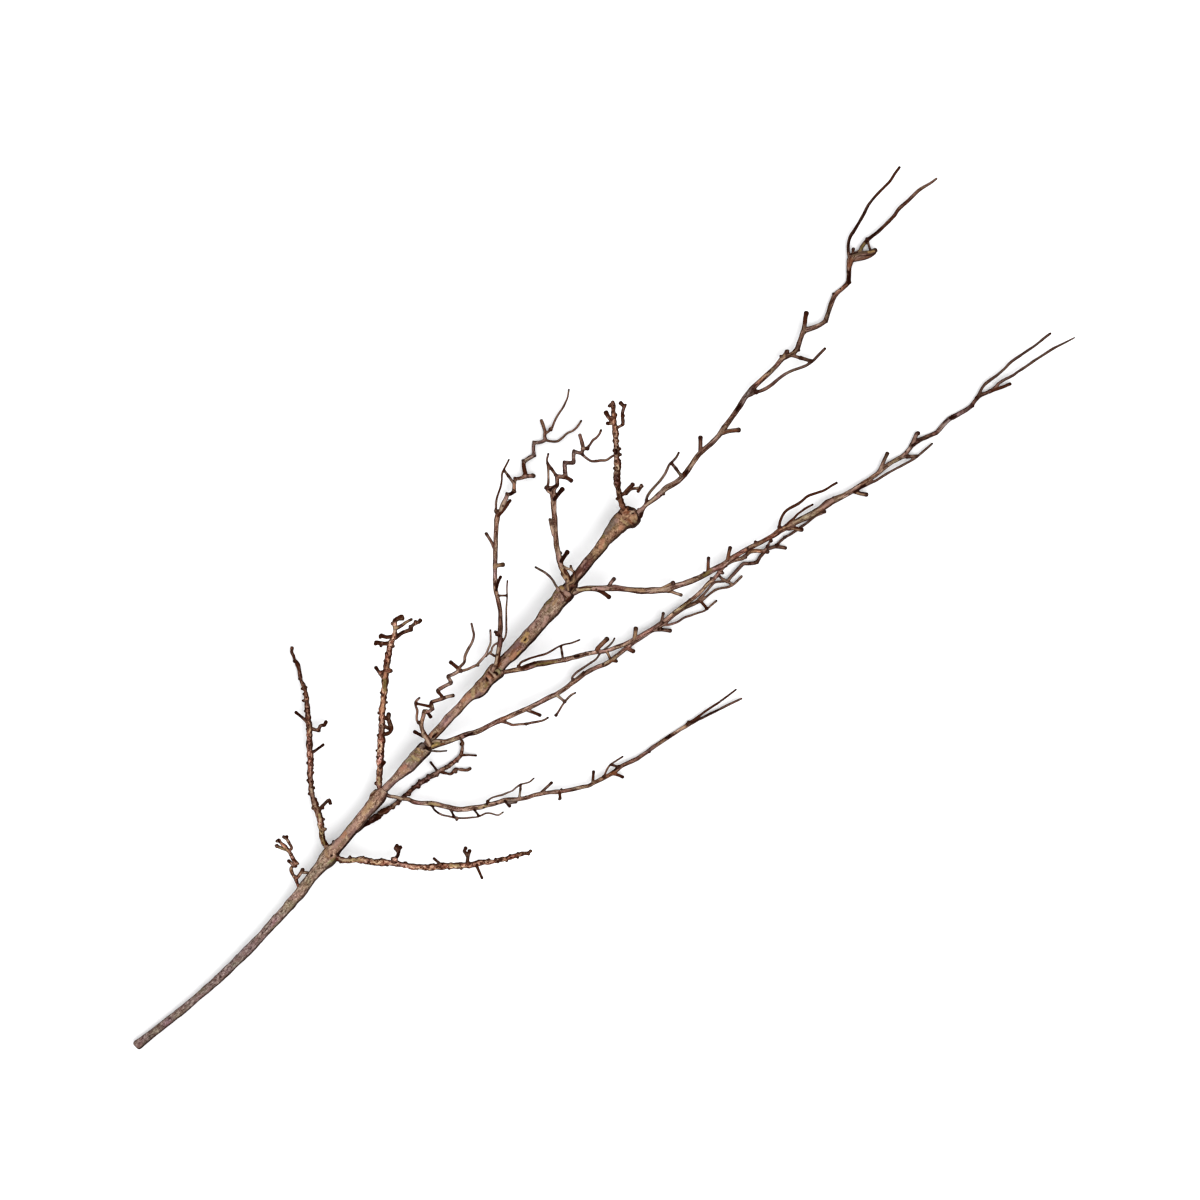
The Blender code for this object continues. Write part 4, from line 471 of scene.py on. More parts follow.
            (9.5, 142, 2.4), (16.6, 135.9, 2.4), (26.1, 147.2, 2.4), (44.2, 153.8, 2.4), (56.2, 147.4, 2.4),
            (65, 159.3, 2.4), (-9.7, 135.7, 3.2), (-98.4, 48.3, 2.4), (86, 154.5, 2.8), (-62.2, 84.8, 2),
            (41.6, 137, 2), (36, 138.6, 2), (-121, 24.4, 2.4),
        ],
    },
    "branch_4_right": {
        "bark": "smooth",
        "route": [
            (-130, 22.6, 5.2), (-122, 18.6, 5), (-118.3, 16.5, 4.6), (-112.5, 12.6, 4.6),
            (-106.5, 8.4, 4.7), (-101, 4.8, 5), (-95.4, 1.8, 5.2), (-89.6, -0.8, 5.3), (-83.8, -5.4, 5.3),
            (-78, -9.6, 5), (-72, -14, 4.8), (-67, -17.4, 4.6), (-61.2, -20.8, 4.5), (-55.8, -24, 4.5),
            (-50, -27.2, 4.3), (-44.2, -30.8, 4), (-39.2, -34.6, 3.9), (-33.3, -39.2, 3.8),
            (-27.5, -42.5, 3.7), (-21.7, -45, 3.7), (-15.8, -47.9, 3.8), (-10, -50, 3.9), (0, -53, 3.9),
            (10, -55.7, 3.9), (20, -58, 3.7), (30, -60, 3.7), (40, -61, 3.6), (50, -62.3, 3.6),
            (60, -63.6, 3.7), (70, -65, 3.6), (80, -65.3, 3.5), (88, -64.8, 3.6), (95, -65.5, 3.7),
            (101, -65.4, 3.7), (106, -64, 3.6), (113, -63.8, 3.5), (120, -65.5, 3.5), (125, -68, 3.8),
            (130, -71, 3.9), (135, -71.5, 3.7), (140, -72, 3.7), (144, -74.5, 3.7), (147, -77.5, 3.6),
            (150, -81, 3.5), (152.5, -84.5, 3.4),
        ],
        "heights": [(0, 22.5), (0.02, 26.5), (0.2, 21), (0.4, 13.5), (0.5, 11), (0.75, 9.3), (1, 6.4)],
        "twigs": [
            ([(-108, 9.6), (-104.2, 10.8), (-100, 11.7), (-95, 10), (-90, 7.9), (-83.3, 4.2), (-76.7, 0.4),
              (-70, -1.7), (-65, -2.9), (-60, -4.6), (-55.8, -6.7), (-51.7, -9.6), (-47.5, -11.7),
              (-42.5, -13.8)], 2.1, 1.5, 3),
            ([(-102, 6.4), (-100, 6.3), (-90, 2)], 2.8, 1.8, 1.6),
            ([(-38.5, -35), (-36.7, -32.7), (-30, -32.5), (-22.5, -32.5)], 3.8, 4.1, 2),
            ([(-31.2, -40.8), (-31.7, -41.7), (-34.2, -48.3)], 2.3, 2.2, -2),
            ([(-3.4, -52), (0, -49.6), (5.3, -45.4)], 3.6, 3.7, 3),
            ([(27, -59.4), (28, -59), (32, -56.5), (35.5, -54)], 2.7, 2.5, 3),
            ([(149.8, -80.8), (152.5, -81), (156, -80.7), (160, -79.3), (163, -79)], 2.1, 2.1, -0.6),
        ],
        "rungs": [(-68.3, -16, -64.2, -10.4, 2), (-64.2, -10.4, -60, -4.8, 1.8)],
        "knobs": [
            (106, -68.4, 2.6), (133, -73.6, 2.6), (94, -62.6, 2.4), (-104.4, 11.4, 2.2),
            (156.2, -80.4, 2.4), (163.4, -79.4, 2.4), (153, -85, 2.4), (-43, -29.6, 1.8), (-47, -26.6, 1.8),
            (64, -62.4, 1.8), (113, -65.8, 2.2),
        ],
    },
    "branch_5_left": {
        "bark": "smooth",
        "route": [
            (-17, 29, 6), (-12, 33, 6), (-9, 36, 6), (-6.6, 40, 5.8), (-5.6, 43, 5.6), (-4.8, 48, 5),
            (-4, 51, 5), (-2, 54, 5.1), (0, 57.5, 5.1), (2.5, 61, 5), (5, 65, 4.7), (7.5, 69, 4.4),
            (10, 72, 4.4), (15, 77.8, 4.6), (20, 83.3, 4.8), (25, 88.8, 4.7), (30, 95, 4.7),
            (35, 100.5, 4.8), (38, 103.5, 5.4), (41, 107, 6), (44, 110.8, 5.4), (47.5, 111.6, 4),
            (50.5, 111.3, 3.4), (54, 114.5, 3.2), (57, 117.5, 3.5), (59.8, 114.6, 3.4), (62.5, 111.8, 3.6),
            (67, 116.5, 3.6), (71.8, 121.5, 3.8), (75, 119, 3.4), (78.5, 116, 3.4), (82, 119.4, 3.2),
            (86.4, 122.8, 3.2), (88.8, 119.6, 3), (91, 117, 3.2), (95, 119, 3.1), (98, 123, 3.1),
            (102.5, 131, 3.1),
        ],
        "heights": [(0, 23.5), (0.04, 28), (0.3, 36), (0.6, 38), (1, 33)],
        "twigs": [
            ([(-3.6, 51.5), (-2.5, 51), (-1, 46), (0.8, 42), (1.4, 39.4), (0, 37), (-2, 35.4)], 1.7, 1.7,
             -2),
            ([(1, 41), (2, 42), (3.4, 45)], 1.5, 1.4, -1),
            ([(-8.2, 37.5), (-9.5, 39), (-8.4, 45.5)], 2.6, 2, 2),
            ([(-3, 54), (-2, 54.2), (3, 55.5), (11, 57)], 3, 3.6, -1),
            ([(4.4, 66), (5, 65), (5.4, 60.8)], 2.4, 2.2, -3),
            ([(13.6, 79), (17, 85.6), (21.6, 92.6)], 2.8, 2, -0.4),
            ([(35.5, 102), (37, 103), (45, 104.3), (52, 105)], 3.2, 3.6, -4),
            ([(43, 111), (41, 113), (41.8, 117.5)], 3.6, 3.4, 2),
            ([(41, 113.5), (43.5, 114.8), (47, 112.9), (50, 112)], 2.6, 2.2, 1),
            ([(42, 115.5), (43, 117), (47, 120), (52, 125), (57, 130.5), (60, 134.5), (62, 137), (67, 140)],
             1.9, 1.5, 4),
            ([(62.4, 113), (62.6, 111), (63.5, 108), (64.2, 104.5)], 3.3, 3.2, -3),
            ([(94.4, 119.4), (95.5, 118.5), (98.5, 115.8)], 2.6, 2.6, 1),
            ([(97.6, 116.4), (103, 117), (108, 118), (112, 117.3), (117, 117.8), (121, 119.5)], 2.1, 1.7,
             3),
            ([(91, 117), (90.5, 115.5), (90.5, 112), (91, 108), (92, 104.5), (95, 101.3), (99, 98.3),
              (103.3, 94.5), (109, 93.3), (112, 92.5)], 2.1, 1.9, -8),
        ],
        "rungs": [(57, 119, 58.5, 127, 2.1), (58.5, 126.5, 59.6, 134, 1.9)],
        "knobs": [
            (58, 119.7, 2.6), (72.5, 123.6, 2.6), (78.5, 114.6, 2.4), (87.4, 124.6, 2.6), (50.5, 110, 2.2),
            (42, 118.2, 3), (98.6, 115.7, 2.4), (91.2, 115.4, 2.2), (20, 88, 2),
        ],
    },
    "branch_5_right": {
        "bark": "smooth",
        "route": [
            (-22, 28.6, 6), (-16, 26, 7.8), (-12.4, 24.4, 7.8), (-9, 22.6, 6.4), (-6, 20.8, 5.6),
            (-3, 19, 5.1), (0, 16.5, 5.2), (3, 13.5, 5.4), (7, 9, 5.4), (12, 4.5, 5.5), (17, 0, 5.8),
            (20, -3, 5.4), (25, -9.5, 5.1), (30, -16, 5.4), (35, -22, 5.9), (40, -27, 6), (45, -31.5, 6),
            (50, -36, 5.6), (55, -40, 5.8), (58, -41.3, 6), (63, -43.4, 5.4), (70, -47.3, 5),
            (75, -49.7, 5), (80, -52, 4.9), (90, -55.7, 4.8), (96, -57.3, 5), (100, -58.2, 5.3),
            (105, -60, 5.3), (110, -61.8, 5.4), (115, -62.7, 5.4), (120, -63.3, 5.1), (125, -64.5, 4.8),
            (135, -66.6, 4.4), (145, -69.7, 4.3), (155, -73, 4.3), (165, -76, 4.3), (170, -77.3, 4.6),
            (175, -78, 5.2), (180, -79.5, 5.2), (185, -80.6, 5.1), (190, -82, 5.3), (195, -84, 5.5),
            (200, -85.6, 5.8), (205, -87.5, 5.8), (210, -89, 5.9), (215, -90.4, 6.2), (220, -91.6, 6.5),
            (225, -92.3, 7), (228, -92.6, 7.2), (232, -93.4, 6.8), (237, -95, 6.3), (242, -96.9, 5.4),
            (247, -98.7, 4.8), (255, -101, 4.7), (260, -102, 4.7), (265, -103, 4.6), (270, -104, 4.4),
            (275, -105, 4), (280, -105.8, 3.7), (285, -106.6, 3.8), (290, -107, 4), (295, -107.4, 4),
            (300, -108.2, 3.9), (305, -109.3, 3.9), (310, -110.8, 4), (315, -112.3, 4), (320, -112.6, 3.9),
            (325, -112.1, 3.8), (330, -111.6, 3.9), (335, -111.8, 4.2), (338, -112.5, 4.4), (342, -114, 4),
            (347, -116, 3.9), (352, -118, 3.9), (356, -119.4, 4), (360, -119.5, 3.9), (365, -119, 3.9),
            (370, -118.8, 3.9), (375, -119, 4.1), (379, -120.2, 4.4), (383, -121.5, 4), (388, -122.8, 3.8),
            (393, -124.3, 3.7), (397, -125, 3.7), (400, -125.3, 3.7), (405, -124.5, 3.4), (410, -124, 3.8),
            (414, -124.4, 3.8), (420, -126.9, 3.2), (425, -128.4, 2.8), (430, -129, 2.5),
            (435, -128.8, 2.4), (442, -130.2, 2.3), (447, -132, 2.3), (452, -133.5, 2.3),
            (457, -134.2, 2.2), (467, -136.3, 2.2), (477, -138, 2.2), (487, -140.2, 2.2),
            (497, -142.3, 2.1), (502, -143.8, 2), (512, -147.2, 1.5), (521, -150, 1.1),
        ],
        "heights": [
            (0, 23.5), (0.02, 24.5), (0.15, 23), (0.28, 16.5), (0.36, 14), (0.46, 10), (0.55, 6),
            (0.64, 2.2), (0.76, 2.2), (0.82, 3.4), (1, 10),
        ],
        "twigs": [
            ([(4, 13), (5, 10), (7, 5), (8.5, -4.5)], 3.6, 3.5, -5),
            ([(13, 3.2), (15, 3.2), (20, 4.5), (25, 5)], 3.1, 3, 4),
            ([(53, -39), (54, -42), (56, -44), (58.5, -49), (61, -54)], 2.7, 2.5, -5),
            ([(48, -33), (52, -35.4), (64, -39.5)], 2.6, 2.4, 1.5),
            ([(97, -56.6), (98, -55), (102, -51), (106.5, -47)], 2.8, 2.6, 4),
            ([(119, -62.4), (120, -61), (125, -57.5), (129, -55)], 3, 3, 4),
            ([(176, -77.4), (178, -75.5), (181, -73), (185, -70.8), (190, -69), (194, -68.5), (198, -69),
              (203, -70.5), (208, -72), (213, -72.8), (218, -73), (222, -74), (226, -76), (230, -78),
              (235, -80.5), (240, -82), (245, -83), (250.5, -84.5)], 2.4, 2, 5),
            ([(181, -79), (183, -78.5), (190, -78.8), (195, -79.3), (200, -79), (205, -79.7), (210, -80.5),
              (215, -82), (218, -83)], 2, 1.7, 3),
            ([(183, -81), (184, -83), (188, -86), (190, -90), (192.5, -93)], 3.6, 3.5, -1.5),
            ([(255, -100.8), (256, -102), (259, -108), (263, -114)], 3.5, 3.4, -2),
            ([(257, -102.6), (259, -104), (264, -105.3), (270, -107.3), (275, -109), (280, -110.8),
              (290, -113), (300, -115.8), (310, -118.8), (320, -121.8), (325, -122.8), (335, -123.6),
              (345.5, -124.3)], 2.1, 1.8, -3),
            ([(288, -106.6), (290, -106), (295, -104), (300, -102), (307, -99.5)], 3.2, 3.1, 3),
            ([(329, -111.2), (331, -110.5), (336, -108.5), (341, -106.5), (343, -107.2)], 3.4, 3.4, 2),
            ([(409, -124), (412, -123), (416, -121.5), (420, -120.3), (425, -119.7), (430, -120.2),
              (435, -121), (440, -121.8), (450, -122.5), (455, -122.3), (460, -122.5), (465, -123.3),
              (470, -124.3), (480, -126.2), (485, -127.3), (490, -128), (500, -129), (507, -130)], 2.6, 1.9,
             5),
            ([(423, -128), (425, -129), (430, -131.5), (435, -134), (440, -136), (443, -137.3)], 2.8, 2.6,
             0),
        ],
        "rungs": [(314.6, -112, 319, -116.4, 2.8), (319, -116, 325.6, -122.4, 2.9)],
        "knobs": [
            (64.6, -39.4, 2.6), (151.2, -68, 2.6), (400.8, -127.2, 2.4), (178.2, -75, 2.8), (93, -53.6, 2),
            (228, -89.4, 2.2), (356, -121.2, 2), (378.6, -118.2, 2), (17.4, 3.4, 2.2), (256.4, -103, 2.2),
            (409, -122.2, 2.2),
        ],
    },
    "branch_6_left": {
        "bark": "knobby",
        "route": [
            (79, 42, 7.4), (80.4, 45, 7.4), (82, 50, 6.6), (83.6, 53.4, 5.8), (86, 57.5, 5.4),
            (89, 62, 5.4), (92, 66.5, 5.6), (95, 70.5, 5.9), (99, 75, 6), (103, 78.5, 6), (107, 82, 5.8),
            (111, 87, 5.5), (114, 91, 5.5), (118, 94, 5.7), (122, 99, 5.9), (126, 103.5, 5.9),
            (130, 108, 5.8), (133.3, 112.5, 5.2), (137, 117, 4.4), (140, 120, 4.2), (142.3, 123.3, 4),
            (147.5, 128.8, 3.4), (149.2, 131.3, 2.8),
        ],
        "heights": [(0, 28), (0.1, 30), (0.5, 44), (1, 62)],
        "twigs": [
            ([(88.5, 60), (91, 58.3), (97, 59), (104.8, 58.5)], 2.6, 2.8, 2),
            ([(93, 58), (94, 56.7), (100, 56.5), (105, 53), (108, 50.5)], 2.6, 2.6, -2),
            ([(103.5, 49.8), (107.5, 50.4), (110.5, 52)], 2.2, 2.6, 0),
            ([(134, 112), (133.8, 115.8), (131, 118.5), (130, 119.8)], 2.8, 2.8, 3),
            ([(134, 113), (135, 116.7), (135.4, 123.3), (136.8, 128.4)], 3, 4.2, 4),
            ([(147.6, 129), (147, 130.5), (143.5, 130.5)], 2.4, 2.4, 1),
            ([(131.5, 110.5), (133, 110), (138, 108.5), (140.5, 108), (144, 112), (147, 115.5),
              (150, 117.5), (154, 119.5), (156.5, 119.8)], 3, 2.8, -4),
            ([(153.9, 119.2), (153.8, 124.8)], 2.6, 3.4, 0),
        ],
        "knobs": [
            (83, 60, 2.6), (96.5, 77, 2.6), (103, 83.5, 2.8), (115, 96.3, 2.6), (122, 103.2, 2.6),
            (109.5, 80.5, 2.6), (112.8, 84.1, 2.6), (117.8, 87.8, 2.6), (121.6, 92.3, 2.6),
            (130.5, 104.3, 2.6), (142.7, 119.3, 2.8), (140.5, 107.1, 2.4), (147.6, 113.3, 2.4),
            (95, 55.8, 2.4), (110.5, 50, 2.4), (105, 58.5, 2.6), (141, 124.6, 2.2),
        ],
    },
    "leader": {
        "bark": "smooth",
        "route": [
            (79, 35.6, 11), (84, 35, 11), (88, 33.8, 10.2), (91, 34, 7.2), (94, 34.3, 4.9), (98, 34.6, 3.6),
            (102, 34.3, 3.4), (110, 33, 4.2), (118, 32.5, 4.7), (125, 32.5, 4.8), (130, 31.3, 4.8),
            (135, 29.8, 4.8), (140, 28.8, 4.9), (147, 28.8, 5.1), (152, 29.3, 4.7), (160, 30.8, 4.2),
            (170, 32.7, 4.3), (175, 33, 4.5), (180, 32.8, 4.4), (190, 32, 4.5), (200, 32.3, 4.2),
            (205, 33, 4.3), (210, 34, 4.4), (220, 35.5, 4.4), (230, 37.2, 4.5), (235, 38, 4.7),
            (240, 39.3, 4.8), (245, 40.5, 4.9), (250, 41, 5), (255, 41.3, 5), (260, 41.7, 4.6),
            (270, 41.5, 4.2), (280, 41, 4), (290, 41, 4), (295, 41.5, 4.1), (300, 41.7, 4.4),
            (305, 40, 4.2), (308, 38.7, 4), (311, 37.9, 4), (314, 37.8, 4), (318, 38.5, 3.9),
            (322, 40.5, 3.8), (327, 43, 3.8), (331, 45, 4), (335, 46, 4.5), (341, 43, 4), (346, 40.5, 3.9),
            (351, 38.7, 3.6), (355, 38, 3.8), (357, 37.9, 3.9), (361, 40, 3.7), (366, 42.5, 3.6),
            (370, 44.7, 3.7), (375, 47, 3.9), (380, 49, 4), (385, 49.5, 3.8), (390, 49, 3.6),
            (395, 48.8, 3.6), (400, 49, 3.7), (402, 50.5, 3.7), (406, 54, 3.7), (410, 58, 4), (414, 61, 5),
            (418, 63.3, 6.4), (423, 63.8, 5.6), (427, 63.4, 4), (431, 63, 3.2), (435, 64.5, 3),
            (440, 65.3, 3), (445, 65.2, 2.9), (450, 64.8, 2.8), (455, 64, 2.8), (460, 63.7, 2.8),
            (470, 63.5, 2.8), (480, 63.7, 2.9), (485, 64.8, 2.9), (490, 65.2, 2.8), (500, 64.5, 2.7),
            (510, 64.5, 2.6), (515, 64.3, 2.5), (520, 63.3, 2.3), (525, 62, 2.1), (530, 60.8, 1.9),
            (536, 60, 1.7),
        ],
        "heights": [
            (0, 24), (0.1, 22), (0.3, 17), (0.5, 10), (0.6, 5), (0.68, 2.2), (0.7, 2.1), (0.75, 3.5),
            (1, 8),
        ],
        "twigs": [
            ([(99, 35), (101, 36), (104, 38), (106, 39.5), (112, 41), (120, 41.5), (128, 42), (135, 43.3),
              (140, 45), (145, 46.8), (150, 46.7), (155, 47), (160, 48.5)], 2, 1.6, 5),
            ([(176, 33), (177, 35), (181, 39), (186, 44)], 3.2, 3.2, 5),
            ([(204, 32.4), (205, 31.4), (211, 28), (218.5, 22)], 3.4, 3.6, -4),
            ([(249, 40.2), (252, 38.4), (255, 37.5), (258, 36.3), (261, 34.5), (265, 32.8), (270, 31.5),
              (275, 30.7), (280, 30.3), (285, 29.8), (290, 29), (295, 27.5), (300, 25.5), (305, 23),
              (310, 20.7), (315, 19.2), (320, 18.5), (330, 18.7), (337, 18.7)], 2.8, 1.9, -6),
            ([(298, 42), (302, 43), (307.6, 43.4)], 2.6, 2, 1),
            ([(333.6, 45), (335, 47), (340, 50.5), (345, 54.5), (349, 57)], 3.5, 3.7, 4),
            ([(416.4, 62), (418, 65), (421, 69.5), (425, 74), (430, 78), (435, 80.3), (440, 81.3),
              (445, 82.5), (450, 83.7), (460, 86.5), (465, 88.3), (470, 89.7), (480, 90.8), (490, 91),
              (500, 91), (505, 91.8), (510, 93), (518, 94.2)], 2.6, 1.9, 10),
            ([(419, 62.4), (421, 60.4), (428, 55.4), (434, 52.4), (440, 51.2)], 3.4, 2.6, -0.6),
            ([(423, 63.4), (427, 61.8), (432, 58), (437, 54.2), (442, 52.6)], 4, 4.4, 2),
            ([(444, 66), (441, 61), (438.4, 56)], 1.5, 1.5, -0.6),
            ([(420, 64), (424, 66.5), (427.3, 69)], 2, 1.8, 3),
        ],
        "rungs": [
            (145.2, 30, 146.5, 39, 2.1), (146.5, 38.5, 147.4, 46.6, 2), (308.6, 37.6, 313, 29, 2.4),
            (313, 29.6, 318.4, 19.2, 2.7),
        ],
        "knobs": [
            (120, 29, 2.4), (300, 45.4, 2.2), (309.4, 43.4, 2.8), (317.3, 35.4, 2.4), (357.1, 36, 2.4),
            (381.5, 52, 2.4), (401.7, 47.2, 2.4), (427.4, 69, 2), (444.3, 67.6, 2.4), (148.9, 26.8, 2),
            (257.6, 36.4, 3), (103.4, 37.8, 2), (186.4, 44.2, 2.4),
        ],
    },
}


def real_place(x, y, height):
    """Turn a plan point and its height into a position in the frame, in metres."""
    shrink = 1 - height / VIEW_HEIGHT
    return ((x * shrink - CENTRE[0]) * MM, (y * shrink - CENTRE[1]) * MM, height * MM)


def length_shares(points):
    """Give each plan point's share of the whole length, from 0 to 1."""
    plan = np.array([point[:2] for point in points], dtype=float)
    steps = np.hypot(*np.diff(plan, axis=0).T)
    along = np.concatenate([[0], np.cumsum(steps)])
    return along / along[-1]


def raised_route(route, heights):
    """Add heights to a route of x, y and diameter."""
    shares, levels = zip(*heights)
    raised = np.interp(length_shares(route), shares, levels)
    return np.array([(x, y, z, d) for (x, y, d), z in zip(route, raised)])


def nearest_on(stations, x, y):
    """Find the point of a route that is nearest in plan: its distance, and its x, y and height."""
    starts, ends = stations[:-1], stations[1:]
    steps = ends[:, :3] - starts[:, :3]
    lengths = (steps[:, :2] ** 2).sum(axis=1)
    shares = ((np.array([x, y]) - starts[:, :2]) * steps[:, :2]).sum(axis=1) / lengths
    feet = starts[:, :3] + np.clip(shares, 0, 1)[:, None] * steps
    distances = np.hypot(feet[:, 0] - x, feet[:, 1] - y)
    best = int(distances.argmin())
    return distances[best], feet[best]


def nearest_of(routes, x, y):
    """Find the nearest point of several routes."""
    return min((nearest_on(stations, x, y) for stations in routes), key=lambda found: found[0])[1]


def twig_stations(twig, routes):
    """Give a twig's points their heights and diameters. Its root is on one of the routes, or over it."""
    points, root, tip, rise, *lift = twig
    start = nearest_of(routes, *points[0])[2] + sum(lift)
    shares = length_shares(points)
    widths = root + (tip - root) * shares
    return np.column_stack([np.array(points, dtype=float), start + rise * shares, widths])


def smooth_step(low, high, value):
    """Rise smoothly from 0 at low to 1 at high."""
    share = np.clip((value - low) / (high - low), 0, 1)
    return share * share * (3 - 2 * share)


def lattice_noise(points, seed):
    """Smooth noise from -1 to 1 at points."""
    cell = np.floor(points).astype(np.int64)
    inside = points - cell
    inside = inside * inside * (3 - 2 * inside)
    total = np.zeros(len(points))
    for corner in range(8):
        offset = np.array([corner & 1, corner >> 1 & 1, corner >> 2 & 1])
        at = cell + offset
        mixed = at[:, 0] * 374761393 + at[:, 1] * 668265263 + at[:, 2] * 1274126177 + seed * 974634777
        mixed = (mixed ^ (mixed >> 13)) * 1103515245 & 0x7FFFFFFF
        value = ((mixed ^ (mixed >> 16)) & 0xFFFF) / 32767.5 - 1
        weight = np.prod(np.where(offset, inside, 1 - inside), axis=1)
        total += value * weight
    return total


def run_lengths(places):
    """Give the distance of each place along a line of places."""
    return np.concatenate([[0], np.cumsum(np.linalg.norm(np.diff(places, axis=0), axis=1))])


def smooth_line(stations):
    """Run a smooth line through the stations, with points about a step apart."""
    before = 2 * stations[0] - stations[1]
    after = 2 * stations[-1] - stations[-2]
    guides = np.vstack([before, stations, after])
    line = []
    for p0, p1, p2, p3 in zip(guides, guides[1:], guides[2:], guides[3:]):
        count = max(1, round(float(np.linalg.norm(p2[:3] - p1[:3])) / STEP))
        for t in np.arange(count) / count:
            bend = 2 * p1 + (p2 - p0) * t + (2 * p0 - 5 * p1 + 4 * p2 - p3) * t**2
            line.append((bend + (3 * p1 - p0 - 3 * p2 + p3) * t**3) / 2)
    line.append(stations[-1])
    return np.array(line)


def rounded_end(line, end, bulge):
    """Add a rounded cap past one end of a line."""
    tip, inner = (line[0], line[1]) if end == 0 else (line[-1], line[-2])
    outwards = (tip - inner)[:3]
    outwards = outwards / np.linalg.norm(outwards)
    cap = []
    for lean in CAP_STEPS:
        reach = tip[3] / 2 * lean * bulge
        cap.append((*(tip[:3] + outwards * reach), tip[3] * math.sqrt(1 - lean**2)))
    cap = np.array(cap)
    return np.vstack([cap[::-1], line]) if end == 0 else np.vstack([line, cap])


class Rods:
    """The rods that make one piece, each with its kind: main, twig, stub, knob or bud."""

    def __init__(self, lumps, length, fuller):
        self.lumps = lumps
        self.length = length
        self.fuller = fuller
        self.lines = []
        self.kinds = []
        self.shades = []

    def add(self, stations, kind, bulge=0.8, fuller=None, shade=0.9):
        """Add a rod along stations. A twig is thicker at its root, and a stub also swells at its end."""
        line = smooth_line(np.asarray(stations, dtype=float))
        along = run_lengths(line[:, :3])
        line[:, 3] += self.fuller if fuller is None else fuller
        if kind in ("twig", "stub"):
            swell, length = ROOT_SWELL
            line[:, 3] *= 1 + swell * np.exp(-along / length)
        if kind == "stub":
            swell, length = END_SWELL
            line[:, 3] *= 1 + swell * np.exp(-(((along[-1] - along) / length) ** 2))
        if kind in ("main", "twig"):
            places = np.column_stack([along / self.length, np.full(len(line), len(self.lines)), along * 0])
            line[:, 3] *= 1 + self.lumps * lattice_noise(places, 5)
        self.lines.append(rounded_end(rounded_end(line, 0, bulge), -1, bulge))
        self.kinds.append(kind)
        self.shades.append(shade)


def scattered_knobs(rods, main, rng, spacing, sizes):
    """Scatter small buds over the upper and lower sides of a branch."""
    line = smooth_line(main)
    place = BUDS_START
    while place < len(line) - BUDS_END:
        here = line[int(place)]
        ahead = line[int(place) + 2][:3] - here[:3]
        ahead = ahead / np.linalg.norm(ahead)
        across = np.cross(ahead, (0, 0, 1))
        lean = rng.uniform(-BUD_LEAN, BUD_LEAN)
        up = 1 if rng.random() < UPPER_BUDS else -1
        out = up * math.cos(lean) * np.array([0, 0, 1.0]) + math.sin(lean) * across
        size = rng.uniform(*sizes) * min(1, here[3] / 5)
        top = here[:3] + out * (here[3] / 2 + 0.2) + ahead * 0.9
        bud = [(*here[:3], size), (*((here[:3] + top) / 2), size), (*top, size * 0.8)]
        rods.add(bud, "bud", fuller=0, shade=rng.uniform(0.3, 1))
        place += rng.uniform(*spacing)


def branch_rods(name, branch):
    """Work out all the rods of a side branch."""
    rng = np.random.default_rng(SEED + len(name))
    main = raised_route(branch["route"], branch["heights"])
    rods = Rods(*LUMPS[branch["bark"]], TONES[name][2])
    rods.add(main, "main")
    twigs = []
    for twig in branch["twigs"]:
        stations = twig_stations(twig, [main, *twigs])
        twigs.append(stations)
        rods.add(stations, "twig" if run_lengths(stations[:, :2])[-1] > LONG_TWIG else "stub")
    for x1, y1, x2, y2, diameter in branch.get("rungs", []):
        low = nearest_of([main, *twigs], x1, y1)[2]
        high = nearest_of(twigs, x2, y2)[2]
        twigs.append(np.array([(x1, y1, low, diameter), (x2, y2, high, diameter)]))
        rods.add(twigs[-1], "stub")
    for x, y, size in branch["knobs"]:
        root = nearest_of([main, *twigs], x, y)
        tip = np.array([x, y, root[2] + rng.uniform(-0.4, 0.6)])
        middle = root + (tip - root) * 0.6
        # The rounded end reaches past the tip, so the tip is drawn back a little.
        tip[:2] -= 0.3 * (tip - root)[:2] / (np.linalg.norm((tip - root)[:2]) + 0.1)
        knob = [(*root, size * KNOB_TAPER[0]), (*middle, size * KNOB_TAPER[1]), (*tip, size)]
        rods.add(knob, "knob", fuller=0.5, shade=rng.uniform(0.75, 1))
    scattered_knobs(rods, main, rng, *BUDS[branch["bark"]])
    return rods


def stem_rods(name):
    """Work out the rods of a stem section."""
    places, levels = zip(*STEM_HEIGHTS)
    main = np.array([(x, y, np.interp(x, places, levels), d) for x, y, d in STEM[name]])
    rods = Rods(*LUMPS["stem"], STEM_FULLER)
    rods.add(main, "main", bulge=0.25)
    for twig in STEM_TWIGS.get(name, []):
        rods.add(twig_stations(twig, [main]), "twig", fuller=STEM_TWIG_FULLER)
    return rods


